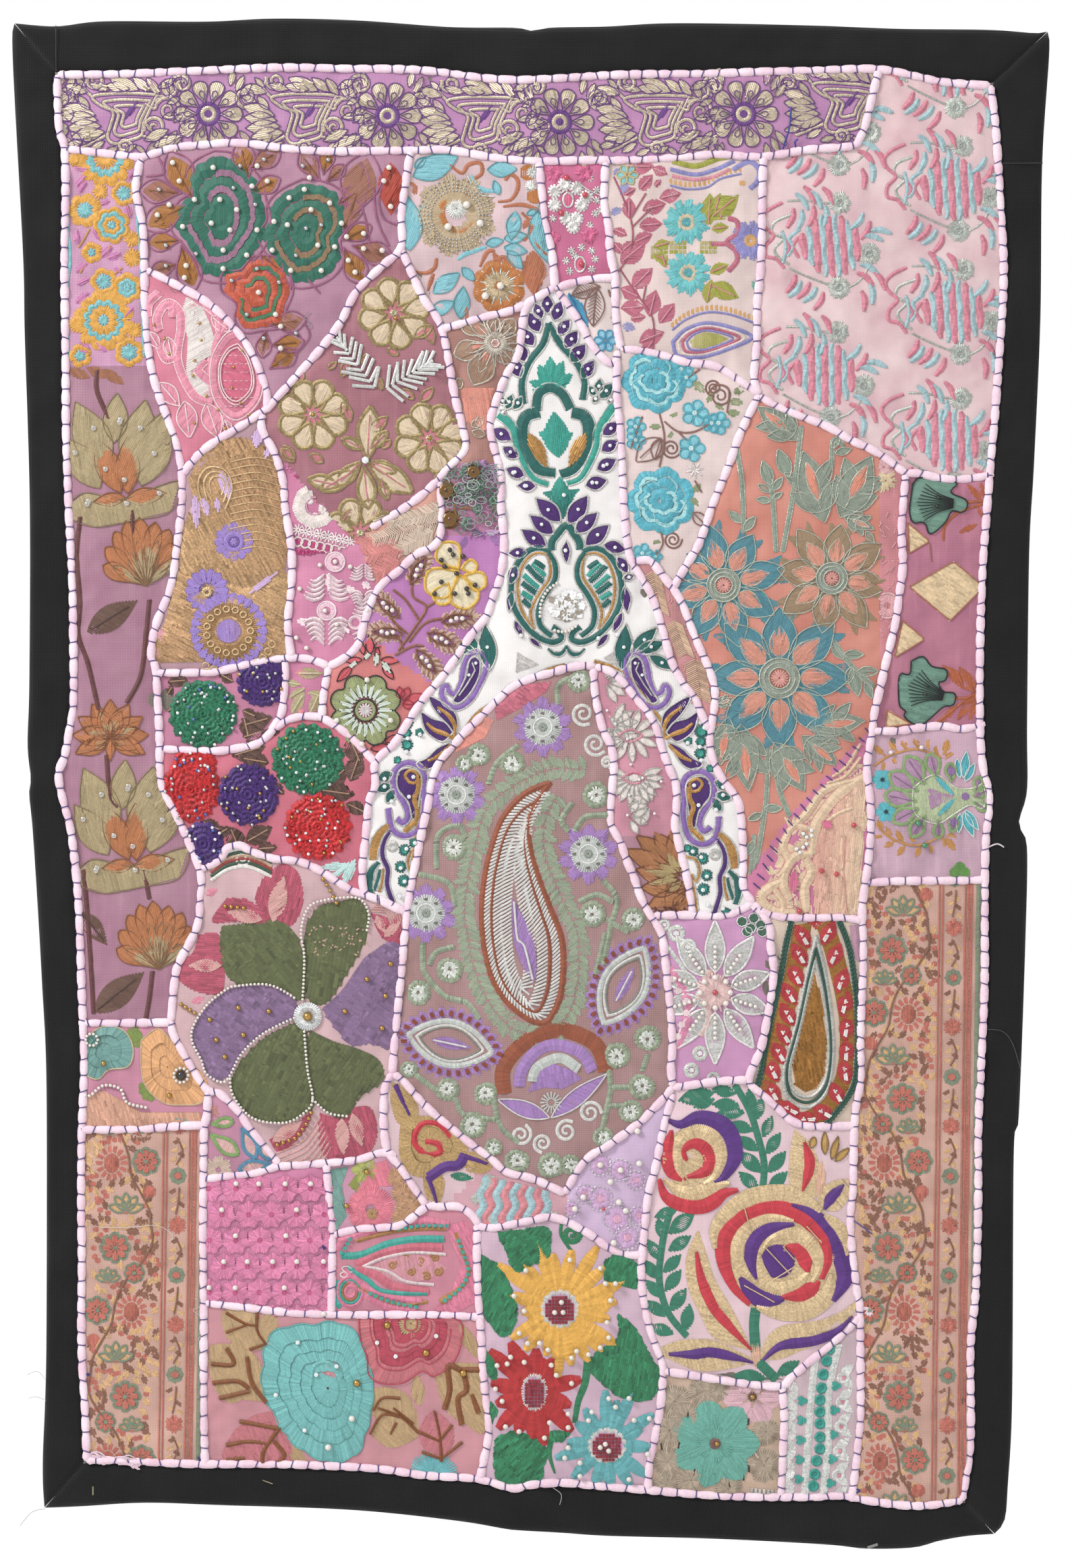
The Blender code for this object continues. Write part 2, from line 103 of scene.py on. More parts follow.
seamRuns = {
    "edgeTop": [
        (-280, 30), (-207, 28), (-148, 25), (-103, 26), (-62, 27), (-22, 32), (3, 33), (46, 30), (73, 29),
        (109, 29), (163, 27), (204, 26), (230, 31), (244, 34), (272, 36),
    ],
    "edgeRight": [
        (272, 36), (275, 60), (278, 100), (280, 147), (276, 219), (271, 271), (266, 354), (266, 412),
        (268, 440), (271, 453), (271, 466), (269, 487), (269, 557), (265, 660), (264, 743), (260, 784),
        (260, 838), (255, 873),
    ],
    "edgeBottom": [
        (-263, 850), (-242, 850), (-196, 852), (-103, 854), (-62, 859), (-31, 861), (-11, 866), (-1, 864),
        (19, 863), (46, 866), (109, 871), (163, 872), (184, 871), (204, 874), (230, 876), (255, 873),
    ],
    "edgeLeft": [
        (-280, 30), (-280, 46), (-279, 64), (-276, 77), (-276, 140), (-276, 205), (-274, 286), (-271, 347),
        (-271, 399), (-273, 415), (-276, 433), (-279, 441), (-279, 449), (-276, 462), (-272, 480),
        (-268, 527), (-265, 606), (-266, 665), (-266, 770), (-264, 824), (-263, 850),
    ],
    "topStrip": [
        (-278, 73), (-239, 78), (-228, 78), (-212, 73), (-193, 71), (-170, 70), (-126, 75), (-69, 74),
        (-49, 74), (-22, 79), (-3, 81), (14, 81), (32, 80), (60, 80), (86, 79), (109, 77), (136, 78),
        (163, 74), (190, 72), (195, 67), (198, 60), (202, 43), (206, 26),
    ],
    "leftLong": [
        (-230, 77), (-234, 97), (-230, 120), (-229, 150), (-228, 178), (-223, 211), (-211, 246), (-207, 265),
        (-207, 286), (-210, 311), (-214, 334), (-222, 354), (-225, 373), (-222, 383), (-220, 423),
        (-220, 440), (-218, 453), (-209, 470), (-196, 500), (-196, 518), (-198, 534), (-208, 554),
        (-211, 565), (-213, 590),
    ],
    "lotusEnd": [(-268, 591), (-239, 591), (-213, 591)],
    "flowerLeft": [(-213, 590), (-211, 600), (-193, 629), (-185, 632), (-174, 642), (-166, 654),
                   (-149, 675)],
    "vineLeft": [(-191, 630), (-192, 646), (-194, 660), (-194, 737), (-194, 797), (-193, 854)],
    "vineLeftTop": [(-268, 654), (-234, 654), (-201, 652), (-193, 652)],
    "scallopTop": [
        (-194, 684), (-180, 682), (-163, 680), (-150, 676), (-126, 674), (-103, 672), (-89, 668), (-80, 670),
    ],
    "squareRight": [(-121, 674), (-119, 701), (-118, 714), (-118, 763)],
    "pinkBottom": [(-194, 757), (-166, 760), (-146, 762), (-103, 764), (-49, 764), (-28, 765)],
    "roseRight": [
        (-71, 74), (-75, 97), (-77, 114), (-77, 132), (-87, 142), (-103, 158), (-115, 180), (-139, 208),
        (-158, 229),
    ],
    "blueLeft": [
        (-77, 132), (-72, 144), (-64, 162), (-53, 180), (-45, 219), (-41, 236), (-39, 251), (-49, 262),
        (-62, 276), (-78, 288), (-95, 298),
    ],
    "leafTop": [
        (-228, 145), (-218, 150), (-207, 156), (-193, 164), (-180, 175), (-169, 188), (-162, 201),
        (-157, 216), (-156, 227),
    ],
    "leafBottom": [(-156, 227), (-169, 236), (-193, 251), (-207, 266)],
    "tanRight": [
        (-159, 230), (-159, 240), (-152, 253), (-147, 270), (-146, 286), (-142, 311), (-142, 334),
        (-144, 354), (-142, 375),
    ],
    "tanBottom": [(-223, 384), (-190, 383), (-174, 380), (-159, 377), (-143, 375), (-131, 376), (-120, 380)],
    "violetEdge": [
        (-54, 270), (-54, 304), (-68, 314), (-78, 323), (-89, 332), (-96, 345), (-100, 358), (-103, 368),
        (-112, 376), (-120, 380),
    ],
    "blueBottom": [(-53, 180), (-42, 177), (-27, 173), (-13, 170), (-3, 166)],
    "archLeft": [
        (14, 156), (5, 161), (-3, 167), (-6, 184), (-8, 196), (-15, 208), (-20, 222), (-24, 236), (-22, 249),
        (-18, 265), (-18, 286), (-16, 307), (-18, 327), (-22, 338), (-26, 350), (-35, 361), (-49, 381),
        (-58, 392), (-66, 402), (-74, 415), (-81, 426), (-92, 437), (-92, 450), (-96, 460), (-98, 480),
        (-100, 500), (-98, 514), (-88, 519), (-76, 525),
    ],
    "silverLeft": [(5, 81), (7, 104), (8, 117), (12, 134), (14, 156)],
    "silverRight": [(44, 80), (43, 104), (46, 120), (47, 134), (50, 150), (50, 167), (51, 181), (53, 192)],
    "silverBottom": [(14, 156), (27, 152), (40, 150), (50, 150)],
    "archTip": [(16, 158), (23, 167), (30, 178), (36, 190), (47, 201), (52, 197)],
    "archRight": [
        (51, 193), (51, 219), (53, 240), (54, 266), (55, 286), (57, 307), (60, 318), (68, 331), (73, 341),
        (78, 359), (83, 377), (90, 390), (97, 399), (102, 410), (106, 418),
    ],
    "salmonLeft": [(135, 219), (125, 240), (117, 262), (108, 283), (104, 294), (99, 308), (92, 320),
                   (84, 334)],
    "stripRight": [
        (60, 318), (70, 317), (77, 325), (84, 334), (89, 342), (94, 355), (99, 367), (105, 380), (109, 392),
        (109, 403), (107, 415), (106, 427), (109, 439), (116, 451), (121, 457), (124, 466), (126, 491),
        (126, 511), (132, 520),
    ],
    "flowerTop": [(53, 192), (66, 193), (80, 196), (93, 200), (109, 202), (125, 212), (135, 219)],
    "potLeft": [(138, 78), (137, 97), (136, 140), (134, 167), (134, 188), (132, 209), (135, 219)],
    "potBottom": [
        (135, 220), (145, 226), (160, 232), (176, 238), (190, 246), (201, 251), (212, 258), (221, 265),
        (230, 266), (244, 269), (258, 269), (274, 266),
    ],
    "tulipLeft": [
        (222, 266), (220, 286), (219, 300), (220, 320), (218, 338), (216, 354), (210, 378), (206, 395),
        (203, 408), (202, 418), (199, 440), (201, 460), (201, 480), (199, 500), (197, 514), (196, 527),
        (197, 557), (195, 599), (195, 626), (192, 646), (191, 687), (189, 707), (190, 729), (193, 750),
        (195, 763), (195, 817), (193, 844), (190, 874),
    ],
    "tulipBottom": [(202, 418), (217, 418), (230, 416), (244, 415), (255, 417), (269, 414)],
    "vineRightTop": [(199, 508), (217, 507), (258, 507), (271, 506)],
    "redTop": [(132, 520), (134, 524), (149, 528), (170, 529), (184, 529), (197, 531)],
    "redLeft": [
        (132, 520), (141, 533), (142, 545), (144, 558), (143, 572), (140, 588), (136, 606), (129, 625),
        (138, 634), (147, 642), (155, 649), (167, 652), (193, 652),
    ],
    "starBottom": [(84, 629), (93, 628), (109, 626), (129, 625)],
    "starTop": [(73, 527), (96, 527), (109, 528), (121, 526), (132, 520)],
    "ovalLeft": [
        (38, 380), (27, 380), (14, 383), (0, 387), (-11, 392), (-19, 399), (-28, 408), (-38, 418),
        (-45, 426), (-53, 435), (-58, 446), (-61, 462), (-64, 474), (-68, 494), (-71, 510), (-74, 533),
        (-78, 572), (-80, 592), (-82, 621),
    ],
    "ovalFootLeft": [
        (-82, 621), (-76, 625), (-68, 634), (-57, 645), (-46, 654), (-35, 663), (-23, 672), (-15, 679),
        (0, 683), (12, 688), (20, 692),
    ],
    "ovalFootRight": [
        (20, 692), (23, 687), (28, 678), (35, 670), (46, 663), (60, 653), (69, 645), (78, 636), (84, 629),
    ],
    "ovalRight": [
        (84, 629), (83, 617), (84, 606), (83, 586), (81, 569), (79, 552), (77, 538), (70, 526), (65, 516),
        (61, 504), (57, 495), (53, 484), (47, 473), (47, 462), (48, 449), (49, 437), (47, 426), (43, 418),
        (40, 406), (38, 395), (37, 381),
    ],
    "archInner": [
        (38, 380), (47, 383), (55, 390), (62, 399), (69, 407), (74, 416), (78, 429), (82, 440), (86, 450),
        (86, 464), (85, 474), (88, 488), (92, 504), (94, 515), (96, 527),
    ],
    "roseLeft": [
        (84, 633), (80, 646), (77, 660), (74, 676), (70, 691), (68, 707), (66, 725), (65, 743), (68, 763),
        (73, 780), (78, 794), (77, 817), (73, 838), (70, 851), (69, 868),
    ],
    "roseBottom": [
        (78, 797), (93, 799), (109, 802), (122, 804), (136, 806), (149, 806), (154, 801), (163, 793),
        (174, 784), (184, 775), (195, 765),
    ],
    "blueTrimLeft": [(149, 806), (150, 824), (149, 844), (148, 872)],
    "sunLeft": [
        (-32, 710), (-32, 729), (-31, 750), (-30, 766), (-29, 784), (-28, 805), (-25, 831), (-28, 851),
        (-30, 861),
    ],
    "sunTop": [
        (-32, 711), (-22, 712), (-11, 710), (0, 708), (10, 706), (19, 708), (27, 712), (36, 717), (46, 724),
        (57, 728), (66, 728),
    ],
    "budLeft": [(-82, 621), (-86, 628), (-87, 640), (-87, 653), (-85, 667), (-78, 676), (-70, 688),
                (-62, 699)],
    "scallopLow": [
        (-118, 717), (-103, 713), (-89, 712), (-76, 710), (-62, 700), (-53, 700), (-43, 700), (-35, 705),
        (-31, 711),
    ],
    "flowerArc": [
        (-196, 500), (-185, 495), (-180, 488), (-173, 486), (-165, 490), (-152, 494), (-139, 495),
        (-128, 499), (-112, 509), (-103, 514), (-87, 519), (-74, 526),
    ],
    "yarnUpper": [(-146, 375), (-146, 388), (-147, 399), (-148, 408), (-154, 419)],
    "yarnMiddle": [
        (-220, 429), (-200, 430), (-185, 430), (-172, 428), (-161, 425), (-150, 415), (-139, 410),
        (-126, 410), (-118, 414), (-109, 420), (-98, 431), (-92, 437),
    ],
    "yarnRight": [(-120, 380), (-123, 396), (-124, 410)],
}

# Joins with no cord over them, where one patch simply ends on the next.
plainJoins = [
    [(-276, 202), (-225, 202)],
    [(-147, 258), (-127, 282), (-105, 305), (-91, 296)],
    [(-103, 305), (-96, 321), (-91, 334)],
    [(-144, 314), (-123, 312), (-102, 307)],
    [(-54, 301), (-35, 303), (-17, 301)],
    [(-97, 361), (-79, 377), (-57, 391)],
    [(206, 255), (206, 365), (209, 381)],
    [(201, 417), (174, 445), (155, 466), (145, 480), (125, 509)],
    [(51, 479), (87, 479)],
    [(20, 692), (20, 710)],
    [(-54, 265), (-35, 258), (-17, 261)],
]

cloth = {
    "creases": [((1, -5), (-15, 900)), ((-300, 447), (-40, 452)), ((-40, 452), (295, 474))],
    "creaseRise": (2.6, 2.4),
    "creaseWidth": 24,
    "puff": 1.3,  # how far a patch stands out between its seams
    "puffReach": 7,
    "wrinkle": 0.9,
    "wrinkles": ((9, 1, 0.5), (5, 2, 0.35), (23, 3, 0.7)),  # grain, seed, share
    "wrinkleEven": 0.4,
    "wrinkleSeam": 0.9,  # how much more it wrinkles beside a seam
    "wrinkleReach": 16,
    "flatBySeam": 3,
    "cell": 2.4,
    "left": -300,  # the patches lie within these
    "top": 10,
    "bottom": 900,
}
swells = [  # x, drop, reach across, reach down, rise
    (-150, 150, 95, 80, 2.2),
    (150, 120, 90, 85, 1.8),
    (-170, 330, 80, 90, -1.6),
    (170, 340, 85, 85, 2.4),
    (-120, 610, 90, 90, 2.6),
    (30, 560, 70, 120, 2.0),
    (240, 640, 60, 120, -1.5),
    (-60, 800, 110, 60, 1.8),
    (150, 760, 80, 80, 2.0),
]
edgeWaves = [  # which way it runs, where its edge is, reach inwards, rise, length of wave, where it starts
    ("across", 0, 60, 1.2, 48, 0.6),
    ("across", 885, 70, 1.6, 41, 1.9),
    ("down", -285, 45, 1.5, 52, 0.4),
    ("down", 285, 45, 1.7, 57, 2.2),
]
cornerLifts = [(278, 890, 90, 6.0), (-288, 880, 90, 3.0)]  # x, drop, reach, rise


def bump(distance, width):
    return np.exp(-((distance / width) ** 2))


def awayFrom(x, drop, run):
    (ax, ad), (bx, bd) = run
    share = ((x - ax) * (bx - ax) + (drop - ad) * (bd - ad)) / ((bx - ax) ** 2 + (bd - ad) ** 2)
    share = np.clip(share, 0, 1)
    return np.hypot(x - ax - share * (bx - ax), drop - ad - share * (bd - ad))


def riseAt(x, drop):  # the same swells and creases as the solids
    down, *across = cloth["creases"]
    rise = cloth["creaseRise"][0] * bump(awayFrom(x, drop, down), cloth["creaseWidth"])
    nearest = np.minimum(awayFrom(x, drop, across[0]), awayFrom(x, drop, across[1]))
    rise = rise + cloth["creaseRise"][1] * bump(nearest, cloth["creaseWidth"])
    for sx, sd, wide, high, out in swells:
        rise = rise + out * bump(np.hypot((x - sx) / wide, (drop - sd) / high), 1)
    for runs, edge, reach, out, long, start in edgeWaves:
        along, away = (x, drop - edge) if runs == "across" else (drop, x - edge)
        rise = rise + out * np.sin(along / long + start) * bump(away, reach)
    for sx, sd, reach, out in cornerLifts:
        rise = rise + out * bump(np.hypot(x - sx, drop - sd), reach)
    return rise


# A map of the cloth, one cell a millimetre: which patch lies there and how high its face is.
mapLeft, mapTop = -320, -14
mapWide, mapHigh = 641, 930
mapX, mapDrop = np.meshgrid(np.arange(mapWide) + mapLeft, np.arange(mapHigh) + mapTop)


def softNoise(grain, seed):
    random = np.random.default_rng(seed)
    coarse = random.normal(size=(mapHigh // grain + 4, mapWide // grain + 4))
    u, v = mapX / grain - mapX.min() / grain, mapDrop / grain - mapDrop.min() / grain
    i, j = u.astype(int), v.astype(int)
    fu, fv = u - i, v - j
    fu, fv = fu * fu * (3 - 2 * fu), fv * fv * (3 - 2 * fv)
    top = coarse[j, i] * (1 - fu) + coarse[j, i + 1] * fu
    low = coarse[j + 1, i] * (1 - fu) + coarse[j + 1, i + 1] * fu
    return top * (1 - fv) + low * fv


def spread(field, rounds, grow=False):  # blurs a field, or grows labels into their gaps
    for _ in range(rounds):
        near = [np.roll(field, 1, 0), np.roll(field, -1, 0), np.roll(field, 1, 1), np.roll(field, -1, 1)]
        if grow:
            field = np.where(field > 0, field, np.maximum.reduce(near))
        else:
            field = (field * 2 + sum(near)) / 6
    return field


def markLine(grid, points, spacing=0.4):
    line = evenly(points, spacing)
    i = np.rint(line[:, 0] - mapLeft).astype(int)
    j = np.rint(line[:, 1] - mapTop).astype(int)
    for di, dj in ((0, 0), (1, 0), (0, 1)):
        grid[j + dj, i + di] = True


seamLines = {name: smoothLine(points, 2.0) for name, points in seamRuns.items()}
patches = {  # where each patch is, its cloth's colour, what the cloth is, and the darker tone of its blotches, which are partly stains and partly painted sheen
    "topStrip": {"at": (68, 54), "colour": "C88CBA", "kind": "silk", "second": "B278AA"},
    "tealPots": {"at": (208, 147), "colour": "F0D2D3", "kind": "velvet", "second": "DDB0B8"},
    "roses": {"at": (-150, 128), "colour": "C08BA3", "kind": "silk", "second": "A9748F"},
    "amberFlowers": {"at": (-252, 174), "colour": "DA9EC2", "kind": "slubSilk"},
    "blueFloral": {"at": (-34, 121), "colour": "E2C2C6", "kind": "silk"},
    "redLeaves": {"at": (91, 123), "colour": "EED5D0", "kind": "silk"},
    "silverOnPink": {"at": (26, 115), "colour": "DB6E9A", "kind": "silk"},
    "oliveZari": {"at": (-94, 235), "colour": "B0707C", "kind": "slubSilk", "second": "9A5E6C"},
    "pinkPaisleys": {"at": (-190, 212), "colour": "E0839A", "kind": "silk", "second": "D66F8B"},
    "arch": {"at": (23, 338), "colour": "FDF8F6", "kind": "satin"},
    "brownSilk": {"at": (-30, 194), "colour": "BC8478", "kind": "slubSilk"},
    "brownLeaf": {"at": (39, 173), "colour": "F2DEDA", "kind": "silk"},
    "turquoiseFlowers": {"at": (85, 241), "colour": "F2DAD6", "kind": "silk"},
    "lotusStrip": {"at": (-233, 509), "colour": "B07F93", "kind": "slubSilk", "second": "A87089"},
    "salmon": {"at": (149, 336), "colour": "DE8F7C", "kind": "silk", "second": "CF7B68"},
    "tanScrolls": {"at": (-180, 344), "colour": "C59AA6", "kind": "silk"},
    "pinkStrip": {"at": (214, 270), "colour": "DE8C93", "kind": "slubSilk"},
    "tulips": {"at": (238, 387), "colour": "C37A90", "kind": "slubSilk", "second": "AD6480"},
    "feather": {"at": (-84, 309), "colour": "E3A18F", "kind": "slubSilk"},
    "butterfly": {"at": (-64, 350), "colour": "C47FBE", "kind": "silk", "second": "B56CB0"},
    "paleScrolls": {"at": (-118, 336), "colour": "DE86AC", "kind": "silk"},
    "fleshStrip": {"at": (92, 372), "colour": "DD9496", "kind": "slubSilk"},
    "beigeLeaf": {"at": (-134, 388), "colour": "D77FA6", "kind": "silk"},
    "upperYarn": {"at": (-177, 405), "colour": "CF7FA0", "kind": "silk"},
    "oval": {"at": (2, 589), "colour": "B38A8B", "kind": "net", "second": "A07A75"},
    "silverLeaves": {"at": (67, 437), "colour": "DB92A6", "kind": "silk"},
    "lowerYarn": {"at": (-135, 455), "colour": "DA6E84", "kind": "silk"},
    "sageFan": {"at": (236, 458), "colour": "D9AFC2", "kind": "slubSilk"},
    "creamRelief": {"at": (169, 499), "colour": "E080AA", "kind": "silk"},
    "rustLotus": {"at": (74, 505), "colour": "C48FA0", "kind": "silk"},
    "bigFlower": {"at": (-145, 580), "colour": "DDB4B8", "kind": "silk"},
    "rightVine": {"at": (227, 706), "colour": "DCAE9D", "kind": "cotton"},
    "silverStar": {"at": (112, 560), "colour": "DC9CCB", "kind": "silk"},
    "teardrop": {"at": (164, 617), "colour": "E0C8B4", "kind": "silk"},
    "mirrorFlower": {"at": (-234, 623), "colour": "D98DA8", "kind": "silk"},
    "lilacBeads": {"at": (46, 695), "colour": "DFBFE2", "kind": "silk"},
    "spiralRoses": {"at": (128, 739), "colour": "F2D0D8", "kind": "silk"},
    "blueLeaves": {"at": (-177, 666), "colour": "CF8DAA", "kind": "silk"},
    "leftVine": {"at": (-230, 757), "colour": "DCAE9D", "kind": "cotton"},
    "olivePink": {"at": (-99, 691), "colour": "D596B0", "kind": "silk"},
    "scallopRows": {"at": (-156, 718), "colour": "E88CB6", "kind": "velvet"},
    "tealPaisley": {"at": (-61, 735), "colour": "DC8A9E", "kind": "silk"},
    "sunflower": {"at": (25, 803), "colour": "E0BCD0", "kind": "silk"},
    "redRose": {"at": (-75, 811), "colour": "D9949E", "kind": "silk"},
    "tealTrim": {"at": (172, 814), "colour": "D8BCC4", "kind": "silk"},
    "beigeFlower": {"at": (108, 836), "colour": "D3B49B", "kind": "silk"},
    "whiteScallops": {"at": (-133, 287), "colour": "DB7FA8", "kind": "silk"},
    "discButtons": {"at": (-35, 279), "colour": "BE7AA0", "kind": "silk"},
    "mintFlower": {"at": (-91, 409), "colour": "E07F7C", "kind": "silk"},
    "rosebud": {"at": (-59, 665), "colour": "E7C5CC", "kind": "silk"},
    "wavyStripes": {"at": (-7, 699), "colour": "E0A8B4", "kind": "silk"},
}


mapping = {
    "growAtOnce": 12,  # rounds of growing between two looks at whether a patch still grows
    "outsideRounds": 90,  # how far the ground outside the hanging grows inwards
    "closeGaps": 5,  # rounds that grow the patches under the seams
    "farthest": 26,  # distances from a seam are counted up to this
    "soften": 3,
}


def mapPatches():
    walls = np.zeros(mapX.shape, bool)
    for line in seamLines.values():
        markLine(walls, line)
    joins = np.zeros(mapX.shape, bool)
    for line in plainJoins:
        markLine(joins, line)
    labels = np.zeros(mapX.shape, np.int32)
    for number, patch in enumerate(patches.values(), 1):
        labels[int(patch["at"][1]) - mapTop, int(patch["at"][0]) - mapLeft] = number
    closed = walls | joins
    filled = 0
    while filled != (labels > 0).sum():
        filled = (labels > 0).sum()
        for _ in range(mapping["growAtOnce"]):
            labels = np.where(closed, 0, spread(labels, 1, grow=True))
    outside = len(patches) + 1
    labels[[0, -1]] = outside
    labels[:, [0, -1]] = outside
    for _ in range(mapping["outsideRounds"]):
        grown = np.where(closed, 0, spread(labels, 1, grow=True))
        labels = np.where((labels == 0) & (grown == outside), outside, labels)
    labels = spread(labels, mapping["closeGaps"], grow=True)
    labels[labels == outside] = 0
    distance = np.zeros(mapX.shape)
    reached = walls.copy()
    for step in range(1, mapping["farthest"]):
        grown = reached | np.roll(reached, 1, 0) | np.roll(reached, -1, 0)
        grown |= np.roll(reached, 1, 1) | np.roll(reached, -1, 1)
        distance[grown & ~reached] = step
        reached = grown
    distance[~reached] = mapping["farthest"]
    return labels, spread(distance, mapping["soften"])


patchMap, seamDistance = mapPatches()
puffMap = cloth["puff"] * (1 - np.exp(-seamDistance / cloth["puffReach"]))
# The cloth is drawn up by its couching, so it wrinkles most beside a seam.
wrinkleMap = sum(softNoise(grain, seed) * share for grain, seed, share in cloth["wrinkles"])
drawn = cloth["wrinkleEven"] + cloth["wrinkleSeam"] * np.exp(-seamDistance / cloth["wrinkleReach"])
wrinkleMap = wrinkleMap * cloth["wrinkle"] * drawn
wrinkleMap = wrinkleMap * np.clip(seamDistance / cloth["flatBySeam"], 0, 1)
patchNumber = {name: number for number, name in enumerate(patches, 1)}
print("cloth map made,", len(patches), "patches")


def fromMap(grid, x, drop):
    u = np.clip(np.asarray(x, float) - mapLeft, 0, mapWide - 1.01)
    v = np.clip(np.asarray(drop, float) - mapTop, 0, mapHigh - 1.01)
    i, j = u.astype(int), v.astype(int)
    fu, fv = u - i, v - j
    top = grid[j, i] * (1 - fu) + grid[j, i + 1] * fu
    low = grid[j + 1, i] * (1 - fu) + grid[j + 1, i + 1] * fu
    return top * (1 - fv) + low * fv


def patchAt(x, drop):
    i = np.clip(np.rint(np.asarray(x) - mapLeft).astype(int), 0, mapWide - 1)
    j = np.clip(np.rint(np.asarray(drop) - mapTop).astype(int), 0, mapHigh - 1)
    return patchMap[j, i]


faceMap = riseAt(mapX, mapDrop) + puffMap + wrinkleMap  # the patches' face


def onFace(x, drop, out=0.0):
    return fromMap(faceMap, x, drop) + out


def world(x, drop, out):  # points in metres, out towards the viewer
    return np.stack([np.asarray(x) * mm, -np.asarray(out) * mm, -np.asarray(drop) * mm], -1)


def newMaterial(name):
    made = bpy.data.materials.new(name)
    made.use_nodes = True
    nodes, links = made.node_tree.nodes, made.node_tree.links
    return made, nodes, links, nodes["Principled BSDF"]


def setValues(node, values):
    for name, value in values.items():
        node.inputs[name].default_value = value


def mixColours(nodes, links, factor, a, b, how="MIX", amount=None):
    mix = nodes.new("ShaderNodeMix")
    mix.data_type = "RGBA"
    mix.blend_type = how
    for socket, value in ((mix.inputs[0], factor), (mix.inputs[6], a), (mix.inputs[7], b)):
        if isinstance(value, bpy.types.NodeSocket):
            links.new(value, socket)
        elif value is not None:
            socket.default_value = value
    if amount is not None:
        mix.inputs[0].default_value = amount
    return mix.outputs[2]


def grainOf(nodes, links, kind, scale, detail=2.0, stretch=(1, 1, 1)):
    where = nodes.new("ShaderNodeTexCoord")
    turn = nodes.new("ShaderNodeMapping")
    turn.inputs["Scale"].default_value = stretch
    links.new(where.outputs["Object"], turn.inputs["Vector"])
    grain = nodes.new("ShaderNodeTex" + kind)
    grain.inputs["Scale"].default_value = scale
    if "Detail" in grain.inputs:
        grain.inputs["Detail"].default_value = detail
    links.new(turn.outputs["Vector"], grain.inputs["Vector"])
    return grain.outputs[0]


def ramp(nodes, links, source, low, high, fromAt=0.3, toAt=0.7):
    made = nodes.new("ShaderNodeMapRange")
    setValues(made, {"From Min": fromAt, "From Max": toAt, "To Min": low, "To Max": high})
    links.new(source, made.inputs["Value"])
    return made.outputs["Result"]


def weaveHeight(nodes, links, threads):  # warp and weft as two crossed waves
    waves = []
    for direction in ("X", "Z"):
        where = nodes.new("ShaderNodeTexCoord")
        wave = nodes.new("ShaderNodeTexWave")
        wave.bands_direction = direction
        setValues(wave, {"Scale": threads, "Distortion": 1.2, "Detail Scale": 3})
        links.new(where.outputs["Object"], wave.inputs["Vector"])
        waves.append(wave.outputs["Fac"])
    both = nodes.new("ShaderNodeMath")
    both.operation = "ADD"
    links.new(waves[0], both.inputs[0])
    links.new(waves[1], both.inputs[1])
    return both.outputs[0]


def addBump(nodes, links, surface, height, strength, distance):
    made = nodes.new("ShaderNodeBump")
    setValues(made, {"Strength": strength, "Distance": distance})
    links.new(height, made.inputs["Height"])
    links.new(made.outputs["Normal"], surface.inputs["Normal"])


clothKinds = {  # roughness, sheen, how uneven its dye and its painted sheen are, how slubbed, how fine its weave
    "silk": {"rough": 0.55, "sheen": 0.35, "uneven": 0.10, "slub": 0.10, "threads": 420},
    "slubSilk": {"rough": 0.6, "sheen": 0.35, "uneven": 0.16, "slub": 0.26, "threads": 330},
    "velvet": {"rough": 0.85, "sheen": 0.7, "uneven": 0.16, "slub": 0.05, "threads": 500},
    "satin": {"rough": 0.38, "sheen": 0.2, "uneven": 0.05, "slub": 0.05, "threads": 520},
    "net": {"rough": 0.75, "sheen": 0.3, "uneven": 0.22, "slub": 0.22, "threads": 250},
    "cotton": {"rough": 0.9, "sheen": 0.25, "uneven": 0.12, "slub": 0.12, "threads": 300},
}


def clothMaterial(name, code, kind, second=None):
    values = clothKinds[kind]
    made, nodes, links, surface = newMaterial(name)
    base = (*linear(code), 1)
    # The blotches move toward a darker tone: partly stains and uneven dye, partly painted sheen.
    deep = (*(linear(second) if second else linear(code) * (1 - 2.2 * values["uneven"])), 1)
    stainAndSheen = grainOf(nodes, links, "Noise", 38, 4)
    blotch = ramp(nodes, links, stainAndSheen, 0, 1, 0.35, 0.72)
    colour = mixColours(nodes, links, blotch, base, deep)
    streak = grainOf(nodes, links, "Noise", 260, 3, (1, 1, 0.07))
    light = tuple(np.minimum(linear(code) * 1.2 + 0.02, 0.95)) + (1,)
    slub = ramp(nodes, links, streak, 0, values["slub"] * 1.6, 0.5, 0.8)
    colour = mixColours(nodes, links, slub, colour, light)
    weave = weaveHeight(nodes, links, values["threads"])
    # Painted shade: the cloth's colour darkens in the weave's hollows.
    shade = ramp(nodes, links, weave, 0.86, 1.06, 0.2, 1.6)
    colour = mixColours(nodes, links, None, colour, shade, "MULTIPLY", 1.0)
    links.new(colour, surface.inputs["Base Color"])
    roughness = ramp(nodes, links, stainAndSheen, values["rough"] - 0.06, values["rough"] + 0.08)
    links.new(roughness, surface.inputs["Roughness"])
    setValues(surface, {
        "Sheen Weight": values["sheen"],
        "Sheen Roughness": 0.45,
        "Specular IOR Level": 0.3,
    })
    addBump(nodes, links, surface, weave, 0.35, 0.0003)
    return made


